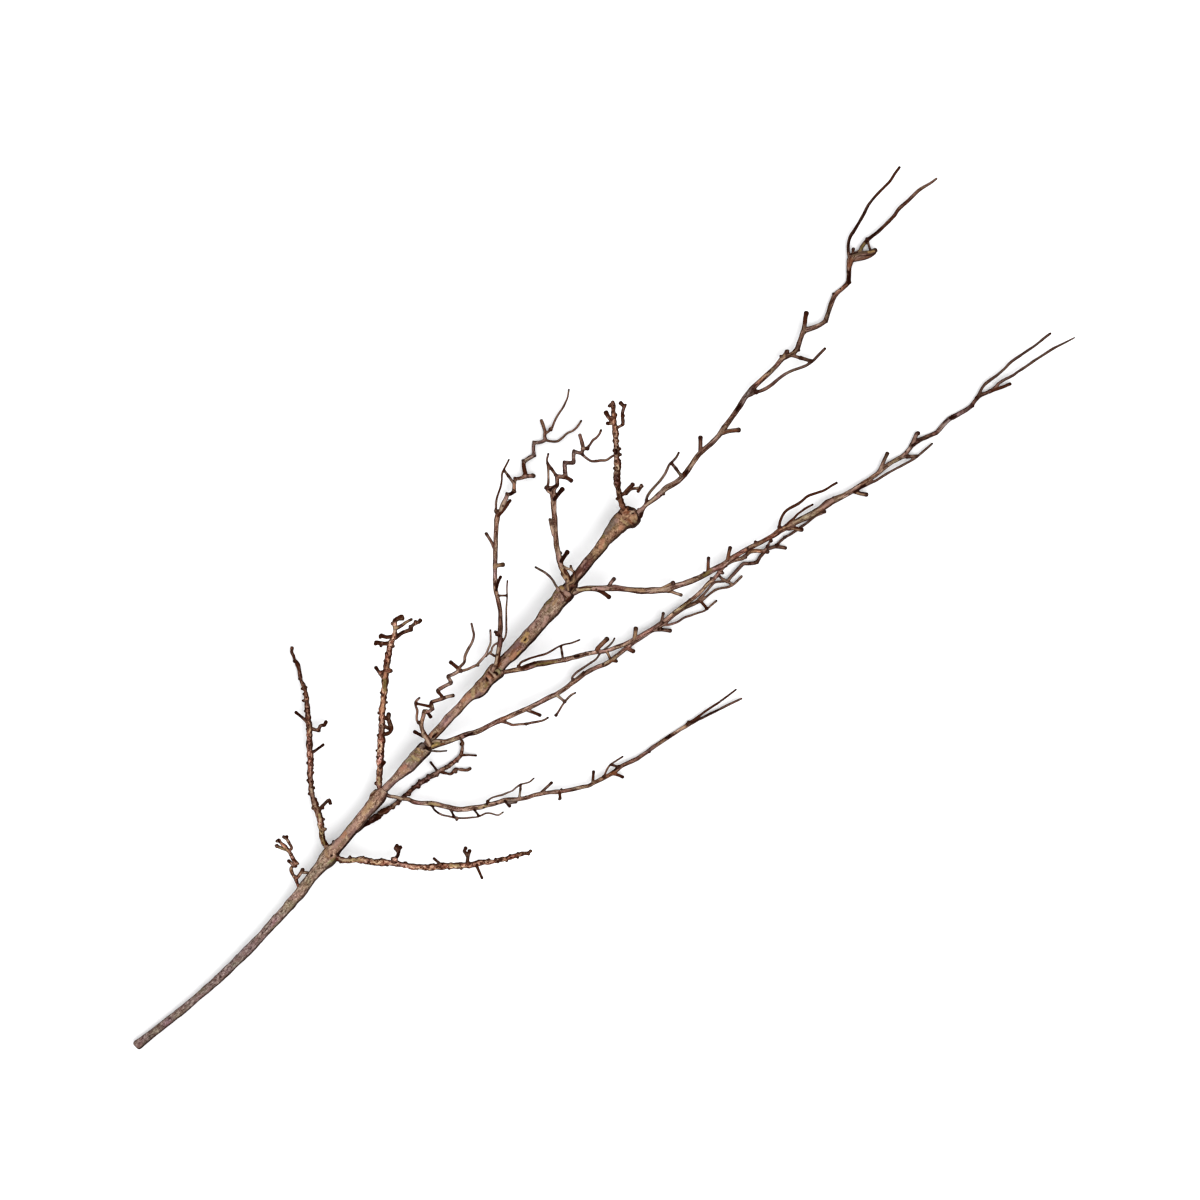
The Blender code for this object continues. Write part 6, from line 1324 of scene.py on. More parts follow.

# Strokes of colour on the camera's side: the colour, the width, the points, and how far the skin is pushed
# out or in there. Some black, dark and maroon strokes are painted shade in sockets, hollows and gaps, under
# roots and overhangs, and along the stem's edges; the comments below say which.
MARKS = {
    "stem_1": [
        ("moss", 1.8, [(-379, 6.2), (-373, 4.8)]), ("olive", 1.8, [(-373, 5), (-370, 4)]),
        ("tan", 2.4, [(-370, 20), (-374, 12)]), ("brown", 1.2, [(-376, 12), (-373, 8)], -0.2),
        # The black stroke at -370.9 is painted shade in a small pit.
        ("black", 1.8, [(-370.9, 9.2), (-370, 8.8)], -0.8), ("rose", 4, [(-362, 14), (-350, 14.6)]),
        ("orange", 3, [(-349, 15), (-345, 15.4)]), ("mauve", 2.4, [(-344, 10), (-336, 10.6)]),
        ("rose", 3, [(-341, 14.6), (-333, 15)]), ("dark", 1.4, [(-373, 19.5), (-368, 19.4), (-363, 17.8)]),
        ("grey", 1.6, [(-361, 16), (-358.6, 18.5)]),
        # Painted shade: the black stroke along the lower edge, and the dark one from -305 to -292 below.
        ("black", 1.5, [(-366, 5.6), (-352, 6.6), (-336, 7.9)]), ("tan", 3, [(-318, 17), (-306, 18.4)]),
        ("mauve", 2.4, [(-318, 12), (-305, 12.6)]), ("dark", 1.6, [(-305, 9.4), (-292, 10.8)]),
        ("dark", 1.2, [(-300.4, 23.6), (-295, 23)]), ("brown", 1.4, [(-299, 22.4), (-291, 23)], -0.3),
        # Painted shade: the maroon stroke where branch_2_right's root runs under the stem's end.
        ("maroon", 1.8, [(-294, 12.4), (-289, 14)], -0.2),
    ],
    "stem_2": [
        # Painted shade: the maroon stroke where branch_2_right's root runs under the stem.
        ("maroon", 1.6, [(-290, 13.6), (-286.4, 14.4)], -0.2), ("rose", 3, [(-287, 20), (-280, 20)]),
        ("mauve", 2, [(-280, 16.6), (-268, 16.4)]), ("orange", 2.4, [(-261, 21.5), (-255, 20)]),
        ("tan", 3, [(-262, 18), (-256, 16)]), ("mauve", 3, [(-252, 15), (-246, 14)]),
        ("rose", 2, [(-249, 12.8)]), ("moss", 2.4, [(-250, 22), (-244, 20)]),
        ("brown", 1.1, [(-244.6, 23), (-247, 17)], -0.2), ("sand", 1.8, [(-243, 22), (-241.4, 15)]),
        ("brown", 1.1, [(-240, 23), (-238, 17)], -0.2), ("gold", 1.3, [(-234, 23.6), (-232.6, 18.6)], 0.2),
        ("olive", 1.6, [(-237.6, 23), (-235.6, 20)]), ("brown", 1.2, [(-237, 15), (-233.6, 18)], -0.2),
        # Painted shade: the black strokes along the top and bottom edges, and those in the socket at -227.
        ("mauve", 2.2, [(-238, 13.6)]), ("black", 1.6, [(-233, 25), (-226, 25.4)]),
        ("black", 1.7, [(-236, 12), (-228, 12)]), ("grey", 2, [(-228.6, 22.8), (-225.6, 22.4)], 0.2),
        ("black", 3, [(-228.6, 18.6), (-227, 17), (-226, 15.6)], -1.2),
        ("pale", 1.1, [(-232.4, 20.6), (-229.4, 16.2), (-226.8, 12.6)], 0.4),
        ("black", 1.6, [(-226.6, 19.6), (-225.6, 15.6)], -0.6),
    ],
    "stem_3": [
        # Painted shade: the black strokes in the socket at -229 to -225. The dark, black and brown strokes
        # from -215 to -201 are a painted shadow where the stem comes out from under the branch_3 roots.
        ("black", 2.6, [(-229, 18.6), (-226, 17.6)], -0.8),
        ("orange", 1.9, [(-213.6, 24.8), (-217, 23)], 0.4),
        ("black", 3, [(-227.4, 17), (-225.4, 15)], -0.8), ("dark", 1.8, [(-215, 21.4), (-209, 21)], -0.2),
        ("brown", 1.8, [(-209, 21), (-201, 20.6)]), ("black", 1.5, [(-215.4, 21.2), (-211, 20.8)], -0.3),
        ("brown", 1.5, [(-213, 18.4), (-201, 18.6)]), ("mauve", 1.4, [(-203, 23.6), (-186, 24.4)]),
        ("rose", 2, [(-199, 20.6), (-178, 22)]), ("rose", 1.8, [(-186, 26.4), (-176, 26.6)]),
        ("orange", 3.2, [(-168, 26), (-160, 25)]), ("rose", 2.4, [(-168, 21.4), (-163, 21.4)]),
        ("sand", 2.8, [(-158, 22), (-153, 26)]), ("brown", 1.6, [(-153.6, 21.6), (-149, 25)], -0.2),
        ("mauve", 2.8, [(-156, 18.4), (-150, 18.6)]), ("tan", 2.2, [(-148, 20), (-143, 25)]),
        ("brown", 1.4, [(-146, 24), (-143.6, 27.6)], -0.3), ("olive", 1.8, [(-142, 20), (-138.6, 21)]),
        # Painted shade: the black stroke along the lower edge.
        ("black", 1.4, [(-157, 16.6), (-149, 14.9), (-143, 15.3), (-128, 15.6), (-123, 14.4)]),
        ("black", 1.9, [(-135.8, 25), (-136.6, 22.6)], -0.7),
        ("orange", 1.8, [(-133.6, 25.6), (-132.4, 23)], 0.2),
        ("brown", 1.2, [(-138, 27), (-139, 20)], -0.4), ("rose", 1.5, [(-134.4, 21), (-136, 18)], 0.3),
        ("brown", 1.2, [(-131.6, 21), (-132, 17)], -0.4), ("dark", 1.5, [(-130.4, 28), (-130, 21)], -0.4),
        ("pale", 1.5, [(-127.6, 28.6), (-127.8, 19.5)], 0.5), ("olive", 1.3, [(-137, 29.6), (-130, 30.6)]),
        ("moss", 3.6, [(-123.2, 21.6), (-121.2, 20.4)], 0.3),
        # Painted shade: the black stroke in the gap at -125.5, and the one under branch_4_left's root.
        ("black", 2.2, [(-125.8, 26), (-125.2, 20.4)], -1),
        ("black", 2.4, [(-124, 26), (-119.6, 26.8)], -0.6),
    ],
    "stem_4": [
        # Painted shade: the black and dark strokes under branch_4_left's root.
        ("black", 1.8, [(-124, 25), (-119, 25.2)]), ("dark", 2.4, [(-120, 26.8), (-114, 28.4)], -0.2),
        ("rust", 1.8, [(-119.6, 25.4), (-115, 25.8)], -0.2),
        ("moss", 3.6, [(-122.6, 21.4), (-120.4, 20.4)], 0.4), ("rose", 2.6, [(-117, 20.4), (-108, 21.4)]),
        # Painted shade: the black stroke along the top edge at -113 to -107.
        ("maroon", 2, [(-120, 17), (-116, 17.4)]), ("black", 1.6, [(-113, 30.6), (-107, 30)]),
        ("rose", 2, [(-112, 24), (-106, 24.4)]), ("mauve", 1.8, [(-104, 28.6), (-96, 28)]),
        ("orange", 2.8, [(-104, 21.6), (-97, 21.4)]), ("gold", 2, [(-96, 19.8), (-93, 19.6)]),
        ("brown", 1.6, [(-104, 24.6), (-94, 24.8), (-89, 23)]),
        # Painted shade: the black stroke along the lower edge.
        ("black", 1.6, [(-116, 18), (-100, 17.8), (-88, 18), (-74, 18.4), (-60, 18.6)]),
        ("gold", 2.6, [(-83.6, 26), (-78, 26.6), (-75, 27.6)], 0.2),
        ("gold", 1.6, [(-83, 23.4), (-79, 23.6)], 0.2), ("black", 1.6, [(-82, 24.8), (-79.8, 25.2)], -0.7),
        ("orange", 1.6, [(-77.6, 25.2)], -0.3), ("mauve", 2.4, [(-94, 27), (-87, 28)]),
        ("maroon", 1.4, [(-65.6, 27), (-64.4, 26.6)], -0.2), ("rose", 2, [(-70, 29), (-64, 30)]),
        ("rose", 2.4, [(-58, 22), (-50, 25)]), ("rose", 2, [(-46, 31), (-40, 33)]),
        ("tan", 2, [(-36, 30), (-30, 31)]), ("olive", 2.4, [(-38.5, 35), (-33, 36)]),
        ("rose", 2.6, [(-22.2, 38), (-22.8, 35), (-24.4, 30), (-26.6, 26.6)], 0.5),
        ("dark", 1.7, [(-21.8, 34), (-21.6, 30), (-22.6, 26.8)], -0.6),
        ("dark", 2.2, [(-24, 22.6), (-19, 22.4)], -0.2),
        # Painted shade: the black stroke along the lower edge.
        ("black", 1.7, [(-30, 20.6), (-24, 20.6), (-17, 21)]),
        ("gold", 2.8, [(-18.8, 36.8), (-17.4, 35)], 0.3), ("olive", 1.3, [(-26, 37), (-24, 34)]),
        ("rose", 2.6, [(-19.4, 29.6), (-18, 26)], 0.3),
    ],
    "stem_5": [
        # Painted shade: the black stroke under the collar's overhang.
        ("black", 2.2, [(-17, 37.2), (-12, 37.4), (-6, 37.2)], -0.4),
        ("mauve", 2, [(-16.6, 33), (-16, 30)]), ("brown", 2, [(-13, 31), (-6, 29.6)]),
        # Painted shade: the black stroke in the socket.
        ("black", 3.4, [(-15, 27), (-11.4, 27.2)], -1.4),
        ("tan", 2.4, [(-15.2, 28.6), (-13.8, 32), (-12, 34), (-9.4, 33.4), (-7, 32.2), (-4.6, 32.4),
                      (-1, 35.6)]),
        ("maroon", 2, [(-9.6, 29), (-6.6, 28.4)], -0.3), ("tan", 1.6, [(-15, 24.6), (-10, 24.6)], 0.3),
        ("maroon", 3, [(-1, 34.6), (8, 35)]), ("rose", 1.2, [(1, 32), (6, 32.4)]),
        # Painted shade: the black strokes along the lower edge, here and at 16 to 34.
        ("dark", 1.6, [(-4, 36.6), (1, 37.4)]), ("black", 1.6, [(-6, 29), (6, 29), (15, 29.8)]),
        ("rose", 1.6, [(11, 37), (17, 37.6)]), ("maroon", 1.8, [(16, 34), (24, 35)]),
        ("tan", 1.8, [(28, 37), (33, 38)]), ("black", 1.2, [(16, 30), (34, 31.2)]),
        ("orange", 3, [(38, 37), (44, 40)]), ("olive", 2.4, [(45, 43), (49, 43.4)]),
        ("grey", 4, [(52, 44), (66, 46)]), ("brown", 1.8, [(53, 42), (55, 42)], -0.2),
        ("orange", 3.4, [(66, 36.4)]), ("rose", 3, [(68, 44)]),
        ("sand", 1.5, [(72.6, 42), (72.4, 34)], 0.2), ("dark", 1.4, [(75.6, 49), (75.6, 45.6)], -0.4),
        # Painted shade: the black and dark strokes in the knuckle's hollow at 80 to 87.
        ("orange", 2.4, [(82, 45.6)], 0.2), ("black", 2.4, [(80.4, 48)], -0.9),
        ("rust", 2.2, [(79, 44.4), (81.6, 42.6)]), ("dark", 1.8, [(84, 48)], -0.4),
        ("black", 2.4, [(84.6, 44), (86.4, 43.8), (87, 42)], -1.2),
        ("rust", 1.8, [(82.8, 46.4), (85.2, 46)]), ("orange", 1.6, [(80, 46), (82.4, 45)]),
        ("tan", 2.6, [(80.6, 36), (83.4, 32)], 0.2),
        ("pale", 1.5, [(82, 39.6), (84.4, 40), (86.4, 38.6)], 0.4), ("black", 1.4, [(84.3, 37.8)], -0.6),
        ("rust", 1.7, [(77, 36.6), (77, 32)], -0.5), ("dark", 1.2, [(77.4, 31), (78, 28.6)], -0.4),
        ("moss", 1, [(80.4, 32), (80.6, 29)]), ("brown", 1, [(81.8, 33), (82, 29)], -0.2),
        # Painted shade: the black stroke where the leader's root meets the knuckle's lower side.
        ("black", 3.4, [(85, 29.6), (88, 31)], -0.3),
    ],
    "branch_1_left": [
        ("pale", 2, [(-346, 58), (-338, 70)]), ("olive", 1.3, [(-367.6, 22), (-365, 28)]),
        ("black", 1.8, [(-366, 20.4), (-362, 27)]), ("black", 2, [(-294, 128), (-294.6, 136)]),
        ("maroon", 2.4, [(-352, 47), (-349, 52)]), ("maroon", 2.4, [(-345, 60), (-341, 66)]),
        ("black", 1.8, [(-309.6, 96), (-298, 93.2)]), ("sand", 1.6, [(-354, 41.4), (-350.4, 47)]),
        ("dark", 1.6, [(-262, 164), (-259, 170), (-256.4, 177)]),
    ],
    "spur": [
        ("dark", 1.5, [(-400, 27), (-400.4, 33)]), ("black", 1.8, [(-397.4, 55.6), (-397, 58.4)]),
        ("black", 1.5, [(-389.4, 53.6), (-388, 54.6)]), ("black", 1.6, [(-402.4, 54), (-403.4, 56)]),
        ("sand", 1.4, [(-398.4, 44), (-402, 53)]), ("pale", 1.6, [(-391.2, 50), (-391.2, 56)]),
        ("pale", 1.6, [(-403, 18), (-399.8, 14)]),
    ],
    "branch_1_right": [
        ("dark", 2.6, [(-370, 3), (-367, -1)]), ("black", 2, [(-329.6, -40.4), (-320, -36)]),
        ("maroon", 1.3, [(-319.4, -34), (-317, -30)]), ("dark", 2, [(-275.6, -101), (-280, -113)]),
        ("sand", 1.7, [(-366, -2.4), (-358, -9), (-350, -18)]),
        ("pale", 1.6, [(-367, 1), (-365.4, -2.6), (-362, -6)]),
        ("sand", 1.8, [(-294, -81.6), (-288, -87.6)]),
    ],
    "branch_1_under": [
        # Painted shade: the first black stroke, where the branch runs out from under the stem.
        ("black", 3.4, [(-342, 9.2), (-330, 7.4), (-322, 6.6)]), ("black", 3, [(-316, 3.6), (-309, 2.6)]),
        ("dark", 2.6, [(-305, 5.4), (-297, 3)]), ("black", 2.2, [(-262, -3.4), (-256, -4.2)]),
        ("black", 2, [(-252, -5.6), (-245, -6.4)]), ("mauve", 2.6, [(-292, 2), (-284, 0.6)]),
        ("dark", 2, [(-236, -8), (-230, -14), (-226, -17.6)]), ("black", 2.2, [(-236.4, -5), (-234.6, 5)]),
        ("dark", 1.3, [(-208.6, -12), (-198, -22)]), ("tan", 1.6, [(-291, 1.6), (-283, 0.4)]),
        ("rose", 1.8, [(-240, -6), (-232, -8)]),
    ],
    "branch_2_left": [
        ("olive", 2.8, [(-216, 89), (-209, 95)]), ("maroon", 2.6, [(-205, 100), (-199, 102)]),
        ("umber", 3, [(-158.6, 130), (-153, 127.6)]),
        ("dark", 2.4, [(-162, 131.4), (-157, 131.6), (-152, 129)]),
        ("maroon", 3, [(-170, 118), (-156, 113.5)]), ("black", 1.2, [(-169, 118), (-161, 116.6)]),
        ("dark", 2.6, [(-182, 121), (-187, 126.6)]), ("black", 2.6, [(-206.6, 108.6), (-206.2, 111)]),
        ("maroon", 2.8, [(-252, 58), (-244, 64)]), ("dark", 2.8, [(-248, 57.6), (-241, 55), (-238, 57)]),
        ("maroon", 2, [(-284, 27), (-276, 34)]), ("orange", 2, [(-232, 75.6), (-224, 82)]),
        ("orange", 2, [(-206, 97.6), (-200, 102)]), ("dark", 2.2, [(-175, 122.6), (-179, 128)]),
        ("pale", 2.2, [(-168, 121.4), (-163.4, 126)]),
        ("tan", 1.8, [(-163, 124), (-156, 121.8), (-148, 119.8)]),
        ("black", 2, [(-273.4, 37), (-267.6, 38)]), ("sand", 1.6, [(-286.6, 26), (-282, 30.4)]),
        ("tan", 1.6, [(-165, 125), (-161.6, 128.6)]),
    ],
    "branch_2_right": [
        ("black", 2.4, [(-264.6, -24), (-265.6, -31), (-265, -36)]),
        ("black", 2.2, [(-256.4, -50), (-254.6, -46)]), ("black", 2.2, [(-238.2, -66), (-237.4, -60)]),
        ("black", 2.4, [(-225.6, -64), (-221, -62.8)]), ("black", 2, [(-209.2, -75), (-210, -82)]),
        ("grey", 3, [(-206.6, -79), (-202, -83)]), ("black", 1.8, [(-113, -129.6), (-104, -131)]),
        ("rust", 3, [(-114, -130), (-111, -135)]),
        ("dark", 2, [(-28, -149.2), (-10, -152.3), (10, -156.2), (33, -159.5)]),
        ("tan", 1.6, [(-34, -148.4), (-29, -149.4)]), ("dark", 2, [(-164.8, -107.6), (-168.4, -112)]),
        ("dark", 1.8, [(-131.6, -122.4), (-126, -117)]), ("dark", 2, [(-111.6, -136), (-109, -141.5)]),
        ("black", 2, [(-51, -144.8), (-47, -145.6)]), ("pale", 1.6, [(-286, 8.6), (-283, 4), (-281, 0)]),
        ("sand", 1.6, [(-265, -22.6), (-259, -31)]), ("sand", 1.6, [(-232, -61), (-226, -64.8)]),
        ("black", 1.3, [(-26, -150.8), (-15, -154), (-5, -157.5), (6, -161.2)]),
    ],
    "branch_3_left": [
        ("black", 3, [(-221.8, 29), (-224.3, 38)]), ("dark", 3, [(-148.8, 54), (-149.6, 61)]),
        ("dark", 2.4, [(-202.4, 56), (-195.6, 45.6)]), ("black", 2.4, [(-202, 40.6), (-202.4, 37)]),
        ("dark", 2.4, [(-179.9, 43), (-179, 50)]),
        ("pale", 2.2, [(-222.6, 17), (-221.4, 27), (-219.4, 31)]),
        ("brown", 1.5, [(-218.6, 19), (-218.6, 26), (-216.6, 32)], -0.1),
        ("rose", 1.8, [(-208, 42), (-204, 44)]), ("pale", 1.8, [(-180, 41.4), (-172, 36.8)]),
    ],
    "branch_3_right": [
        ("olive", 3, [(-221.6, 15.8), (-219, 14.6), (-215.6, 12.6)]),
        # Painted shade: the black stroke in the socket at the root.
        ("black", 2.2, [(-226, 18), (-225, 15.6)], -0.6), ("gold", 1.3, [(-222.6, 15.4), (-218, 13)]),
        ("black", 1.1, [(-222.6, 16.8), (-219.6, 16.6)], -0.3),
        ("pale", 1.7, [(-218, 18.4), (-214, 15), (-211, 11)], 0.2),
        ("brown", 1.2, [(-213.6, 17), (-211.6, 13), (-209, 10)], -0.2),
        ("rust", 1.4, [(-215, 10.4), (-212, 8.4)]), ("maroon", 2, [(-199, 4.6), (-196, 3.4)]),
        ("black", 2.2, [(-190, -2), (-185, -4)]), ("rust", 2.6, [(-36, -51), (-32, -55)]),
        ("rust", 2.8, [(-15, -53), (-13, -59)]), ("maroon", 1.8, [(-176, -7.6), (-166, -10.6)]),
        ("orange", 1.8, [(98, -69.5)]), ("dark", 2.6, [(-127, -31), (-123.8, -39)]),
        ("black", 2.4, [(21, -62.4), (24, -64.6)]), ("dark", 2.4, [(70, -74), (69.6, -81)]),
        ("black", 1.6, [(-192, -0.2), (-186, -3.4)]),
    ],
    "branch_4_right": [
        ("dark", 1.8, [(-104, 6.8), (-98, 3.4)]), ("olive", 1.2, [(-92, 0.4), (-74, -12.6)]),
        ("black", 2, [(-58, -22.6), (-54.6, -24.6)]), ("rust", 3.4, [(-36, -32.6), (-26, -32.5)]),
        ("rust", 2, [(95.6, -66.6)], -0.6), ("black", 1.6, [(29, -60.4)]),
        ("black", 1.6, [(-100.6, 6.2), (-91, 2.6)]),
        ("dark", 1.2, [(-104, 10.8), (-95, 10), (-83, 4), (-70, -1.7), (-56, -6.7), (-43, -13.6)]),
        ("tan", 2, [(-31.6, -42), (-34, -48)]), ("tan", 2.2, [(-2, -51), (4.6, -46)]),
        ("rose", 1.8, [(151, -81), (162, -79.4)]),
    ],
    "branch_4_left": [
        ("pale", 1.8, [(-119, 29.4), (-112, 33.6), (-106, 37.6)]),
        ("dark", 1.6, [(-117, 26.6), (-108, 33.6)]), ("black", 2.6, [(-66, 80.6), (-60, 84), (-54, 86.7)]),
        ("maroon", 3, [(-37, 115), (-33.5, 127)]), ("tan", 4, [(-50, 97.6), (-44, 94)]),
        ("black", 3.2, [(10.6, 139.8), (15, 137.6)]), ("orange", 2.4, [(18, 139.6), (21, 142)]),
        ("dark", 2.6, [(-12, 131.4), (-4, 131.7), (6, 133.8)]),
        ("dark", 3, [(36.5, 142.6), (39, 146), (43, 150.6)]), ("pale", 2.4, [(-7, 134), (2, 137.4)]),
        ("black", 2, [(-96, 45.4), (-96.7, 51)]), ("rose", 2, [(35, 140), (40, 135.4)]),
        ("dark", 0.9, [(-12, 134), (-5, 142), (5, 148), (15, 154), (25, 160.5), (35, 163.7)]),
    ],
    "branch_5_left": [
        ("tan", 1.6, [(-8.6, 37), (-8, 43), (-6, 49)]),
        ("dark", 1.8, [(-6.6, 36), (-5.6, 41), (-4, 47)], -0.2), ("rose", 1.6, [(-4, 51), (-1, 56)]),
        ("pale", 1.6, [(2, 58), (12, 68)]), ("black", 3, [(0, 54.8), (11, 57)]),
        ("black", 3, [(39, 103.4), (52, 105)]), ("black", 2.4, [(42.6, 112.4), (42, 117.5)]),
        ("black", 2, [(43.4, 113.2), (50, 112)]), ("dark", 2, [(62.6, 111.4), (64, 105)]),
        ("tan", 1.7, [(-9.5, 39), (-8.4, 45.5)]), ("pale", 1.4, [(-1, 46), (1.2, 40), (-1, 36)]),
        ("pale", 1.2, [(1, 41), (3.4, 45)]), ("pale", 2.2, [(14.6, 81), (17, 85.6), (21.6, 92.6)]),
        ("pale", 1.6, [(95, 119), (98.5, 115.8)]), ("tan", 1.6, [(-10, 34.4), (-7, 39.6)]),
    ],
    "branch_5_right": [
        # Painted shade: the black stroke in the socket at the root.
        ("black", 3, [(-15, 27), (-11.2, 27.4)], -1), ("pale", 1.8, [(-14, 24.6), (-9, 23.4)], 0.2),
        ("sand", 1.8, [(-8, 22), (0, 15)]), ("dark", 1, [(-6, 23), (2, 16)], -0.2),
        ("rose", 1.8, [(3, 13), (10, 5.6)]), ("tan", 2, [(26, -11), (38, -25)]),
        ("black", 1.4, [(93, -55)]), ("olive", 1.8, [(91, -56.4), (100, -57.6)]),
        ("maroon", 2, [(105, -60.6), (112, -62)]), ("orange", 1.6, [(138, -67.6)]),
        ("rose", 2.2, [(224, -92), (235, -94)]), ("dark", 2.2, [(5.4, 7.4), (7, 4), (8.5, -4.5)]),
        ("tan", 2, [(186, -86), (190, -91)]), ("dark", 1.6, [(189, -87), (193.5, -93)]),
        ("tan", 2, [(255.4, -104), (260.4, -112.4)]), ("black", 1.6, [(259.4, -105), (264, -112)]),
        ("rust", 2.4, [(98.4, -54.4), (102, -51)]), ("rust", 2.4, [(120, -61), (124, -58.4)]),
        ("black", 2, [(256, -103.6), (268, -106)]), ("rose", 1.8, [(14.6, 3.4), (20, 4.5), (24, 5)]),
        ("tan", 1.8, [(54.4, -43), (58.5, -49), (61, -53.6)]), ("tan", 1.6, [(50, -34.4), (63, -39.4)]),
        ("dark", 1.9, [(179, -74.6), (185, -70.8), (194, -68.5), (203, -70.5), (213, -72.8), (222, -74)]),
        ("dark", 1.7, [(222, -74), (235, -80.5), (250, -84.4)]),
        ("dark", 1.6, [(184, -78.6), (200, -79), (210, -80.5), (218, -83)]),
        ("rose", 2.4, [(332.6, -110), (336, -108.5), (341, -106.8)]),
        ("dark", 2, [(425, -129), (435, -134), (443, -137.3)]),
        ("pale", 1.6, [(44, -30.6), (50, -36), (57, -40.8)]),
        ("black", 1.6, [(330, -111.6), (334, -111.7)]), ("black", 1.6, [(376, -119), (382, -121.4)]),
    ],
    "branch_6_left": [
        ("dark", 3.2, [(79.6, 44), (80.6, 47)]), ("brown", 3.4, [(81.4, 48), (82.6, 51), (85, 56)]),
        ("black", 1.6, [(85.6, 52), (88, 56), (91, 59)]), ("brown", 1.8, [(91, 58.5), (104, 58.6)]),
        ("black", 1.4, [(115, 92), (118, 94.6)]), ("dark", 1.5, [(104, 49.8), (110.5, 52)]),
        ("dark", 1.2, [(135, 119), (135.6, 123.3), (136.8, 128.4)]),
    ],
    "leader": [
        ("rose", 2.6, [(88.4, 35.8), (92, 35), (98, 35)]), ("pale", 1.6, [(99, 34.6), (112, 33.4)]),
        # Painted shade: the black stroke where the root meets the knuckle's lower side.
        ("black", 3, [(85, 28), (88.6, 29.4), (91, 31)]), ("dark", 1.6, [(147, 27), (149, 31)]),
        ("dark", 2.8, [(341, 51.4), (349, 57)]), ("rust", 3, [(413, 60), (418, 63)]),
        ("umber", 2, [(423, 64.6), (434, 59), (441, 53.6)]), ("black", 1.2, [(421, 67.6), (428, 63.8)]),
        ("gold", 1.3, [(435.6, 56), (440, 53)]), ("brown", 1.2, [(420, 60.4), (430, 54), (440, 50.4)]),
        ("olive", 1.6, [(431, 63.4), (440, 65)]), ("rose", 1.8, [(424, 60.6), (431, 56.6)]),
        ("maroon", 2.4, [(177.6, 35.8), (181, 39), (186, 44)]),
        ("rust", 1.6, [(206, 31), (211, 28), (217, 23.4)]), ("tan", 1.6, [(299, 42.2), (306.6, 43.4)]),
        ("black", 1.3, [(422, 71), (425, 74), (430, 78), (440, 81.3), (460, 86.5), (480, 90.8)]),
        ("dark", 1.3, [(402, 48.8), (406, 52.6), (411, 57.2)]),
        ("black", 1.9, [(441, 65.2), (450, 64.8), (462, 63.6)]),
        ("dark", 1, [(462, 63.6), (480, 63.7), (500, 64.5)]),
        ("dark", 1.6, [(480, 90.8), (500, 91), (517, 94)]), ("black", 2, [(231, 37.4), (238, 39)]),
        ("black", 2, [(400, 48.6), (404, 51.8), (408, 56)]), ("black", 1.6, [(150, 29), (153, 29.5)]),
    ],
}


# The three barks: their slot, how fast their streaks run, their colours from deep to pale, and how strong
# the shade of their sides, their rings and their cracks are.
LOOKS = {
    "stem": {
        "slot": "stem_bark",
        "run": 0.24,
        "streaks": (
            (0.37, seen(70, 48, 40)), (0.46, seen(136, 108, 96)), (0.55, seen(164, 136, 120)),
            (0.64, seen(210, 182, 162)),
        ),
        "patch": seen(140, 122, 96),
        "blotch": seen(150, 110, 98),
        "speck": seen(88, 62, 52),
        "pale": seen(190, 166, 148),
        "thin": seen(56, 44, 40),
        "dark": seen(36, 20, 15),
        "shade": 0.9,
        "rings": 0.6,
        "cracks": 0.3,
    },
    "knobby": {
        "slot": "knobby_bark",
        "run": 0.24,
        "streaks": (
            (0.38, seen(56, 22, 10)), (0.46, seen(126, 80, 62)), (0.55, seen(168, 129, 108)),
            (0.64, seen(194, 162, 138)),
        ),
        "patch": seen(112, 66, 54),
        "blotch": seen(66, 32, 22),
        "speck": seen(72, 38, 24),
        "pale": seen(192, 160, 132),
        "thin": seen(76, 53, 43),
        "dark": seen(42, 14, 2),
        "shade": 0.9,
        "rings": 0.3,
        "cracks": 1.0,
    },
    "smooth": {
        "slot": "smooth_bark",
        "run": 0.075,
        "streaks": (
            (0.38, seen(62, 34, 24)), (0.46, seen(131, 96, 83)), (0.55, seen(164, 131, 114)),
            (0.64, seen(198, 168, 148)),
        ),
        "patch": seen(108, 74, 60),
        "blotch": seen(72, 42, 32),
        "speck": seen(74, 46, 36),
        "pale": seen(186, 160, 136),
        "thin": seen(88, 64, 54),
        "dark": seen(42, 16, 6),
        "shade": 0.88,
        "rings": 0.12,
        "cracks": 0.8,
    },
}
LOOKS["dark"] = dict(
    LOOKS["knobby"],
    streaks=((0.36, seen(48, 30, 22)), (0.5, seen(92, 68, 57)), (0.66, seen(138, 114, 97))),
    blotch=seen(84, 54, 46),
    pale=seen(142, 112, 94),
)


def add_camera():
    """Look straight down, turned so that the stem runs from the lower left to the upper right."""
    data = bpy.data.cameras.new("camera")
    data.sensor_width = SENSOR
    data.lens = LENS
    camera = bpy.data.objects.new("camera", data)
    camera.location = real_place(0, 0, 0)[:2] + (VIEW_HEIGHT * MM,)
    camera.rotation_euler = (0, 0, math.radians(PICTURE_TURN))
    bpy.context.scene.collection.objects.link(camera)
    bpy.context.scene.camera = camera


def add_light():
    """Soft light from above and from the stem's right, with a pale surround."""
    data = bpy.data.lights.new("key", "SUN")
    data.energy = SUN_POWER
    data.angle = math.radians(SUN_WIDTH)
    key = bpy.data.objects.new("key", data)
    key.rotation_euler = Vector(SUN_WAY).to_track_quat("-Z", "Y").to_euler()
    bpy.context.scene.collection.objects.link(key)
    world = bpy.data.worlds.new("surround")
    world.use_nodes = True
    sky = world.node_tree.nodes["Background"]
    sky.inputs["Color"].default_value = (1, 1, 1, 1)
    sky.inputs["Strength"].default_value = SKY_POWER
    bpy.context.scene.world = world


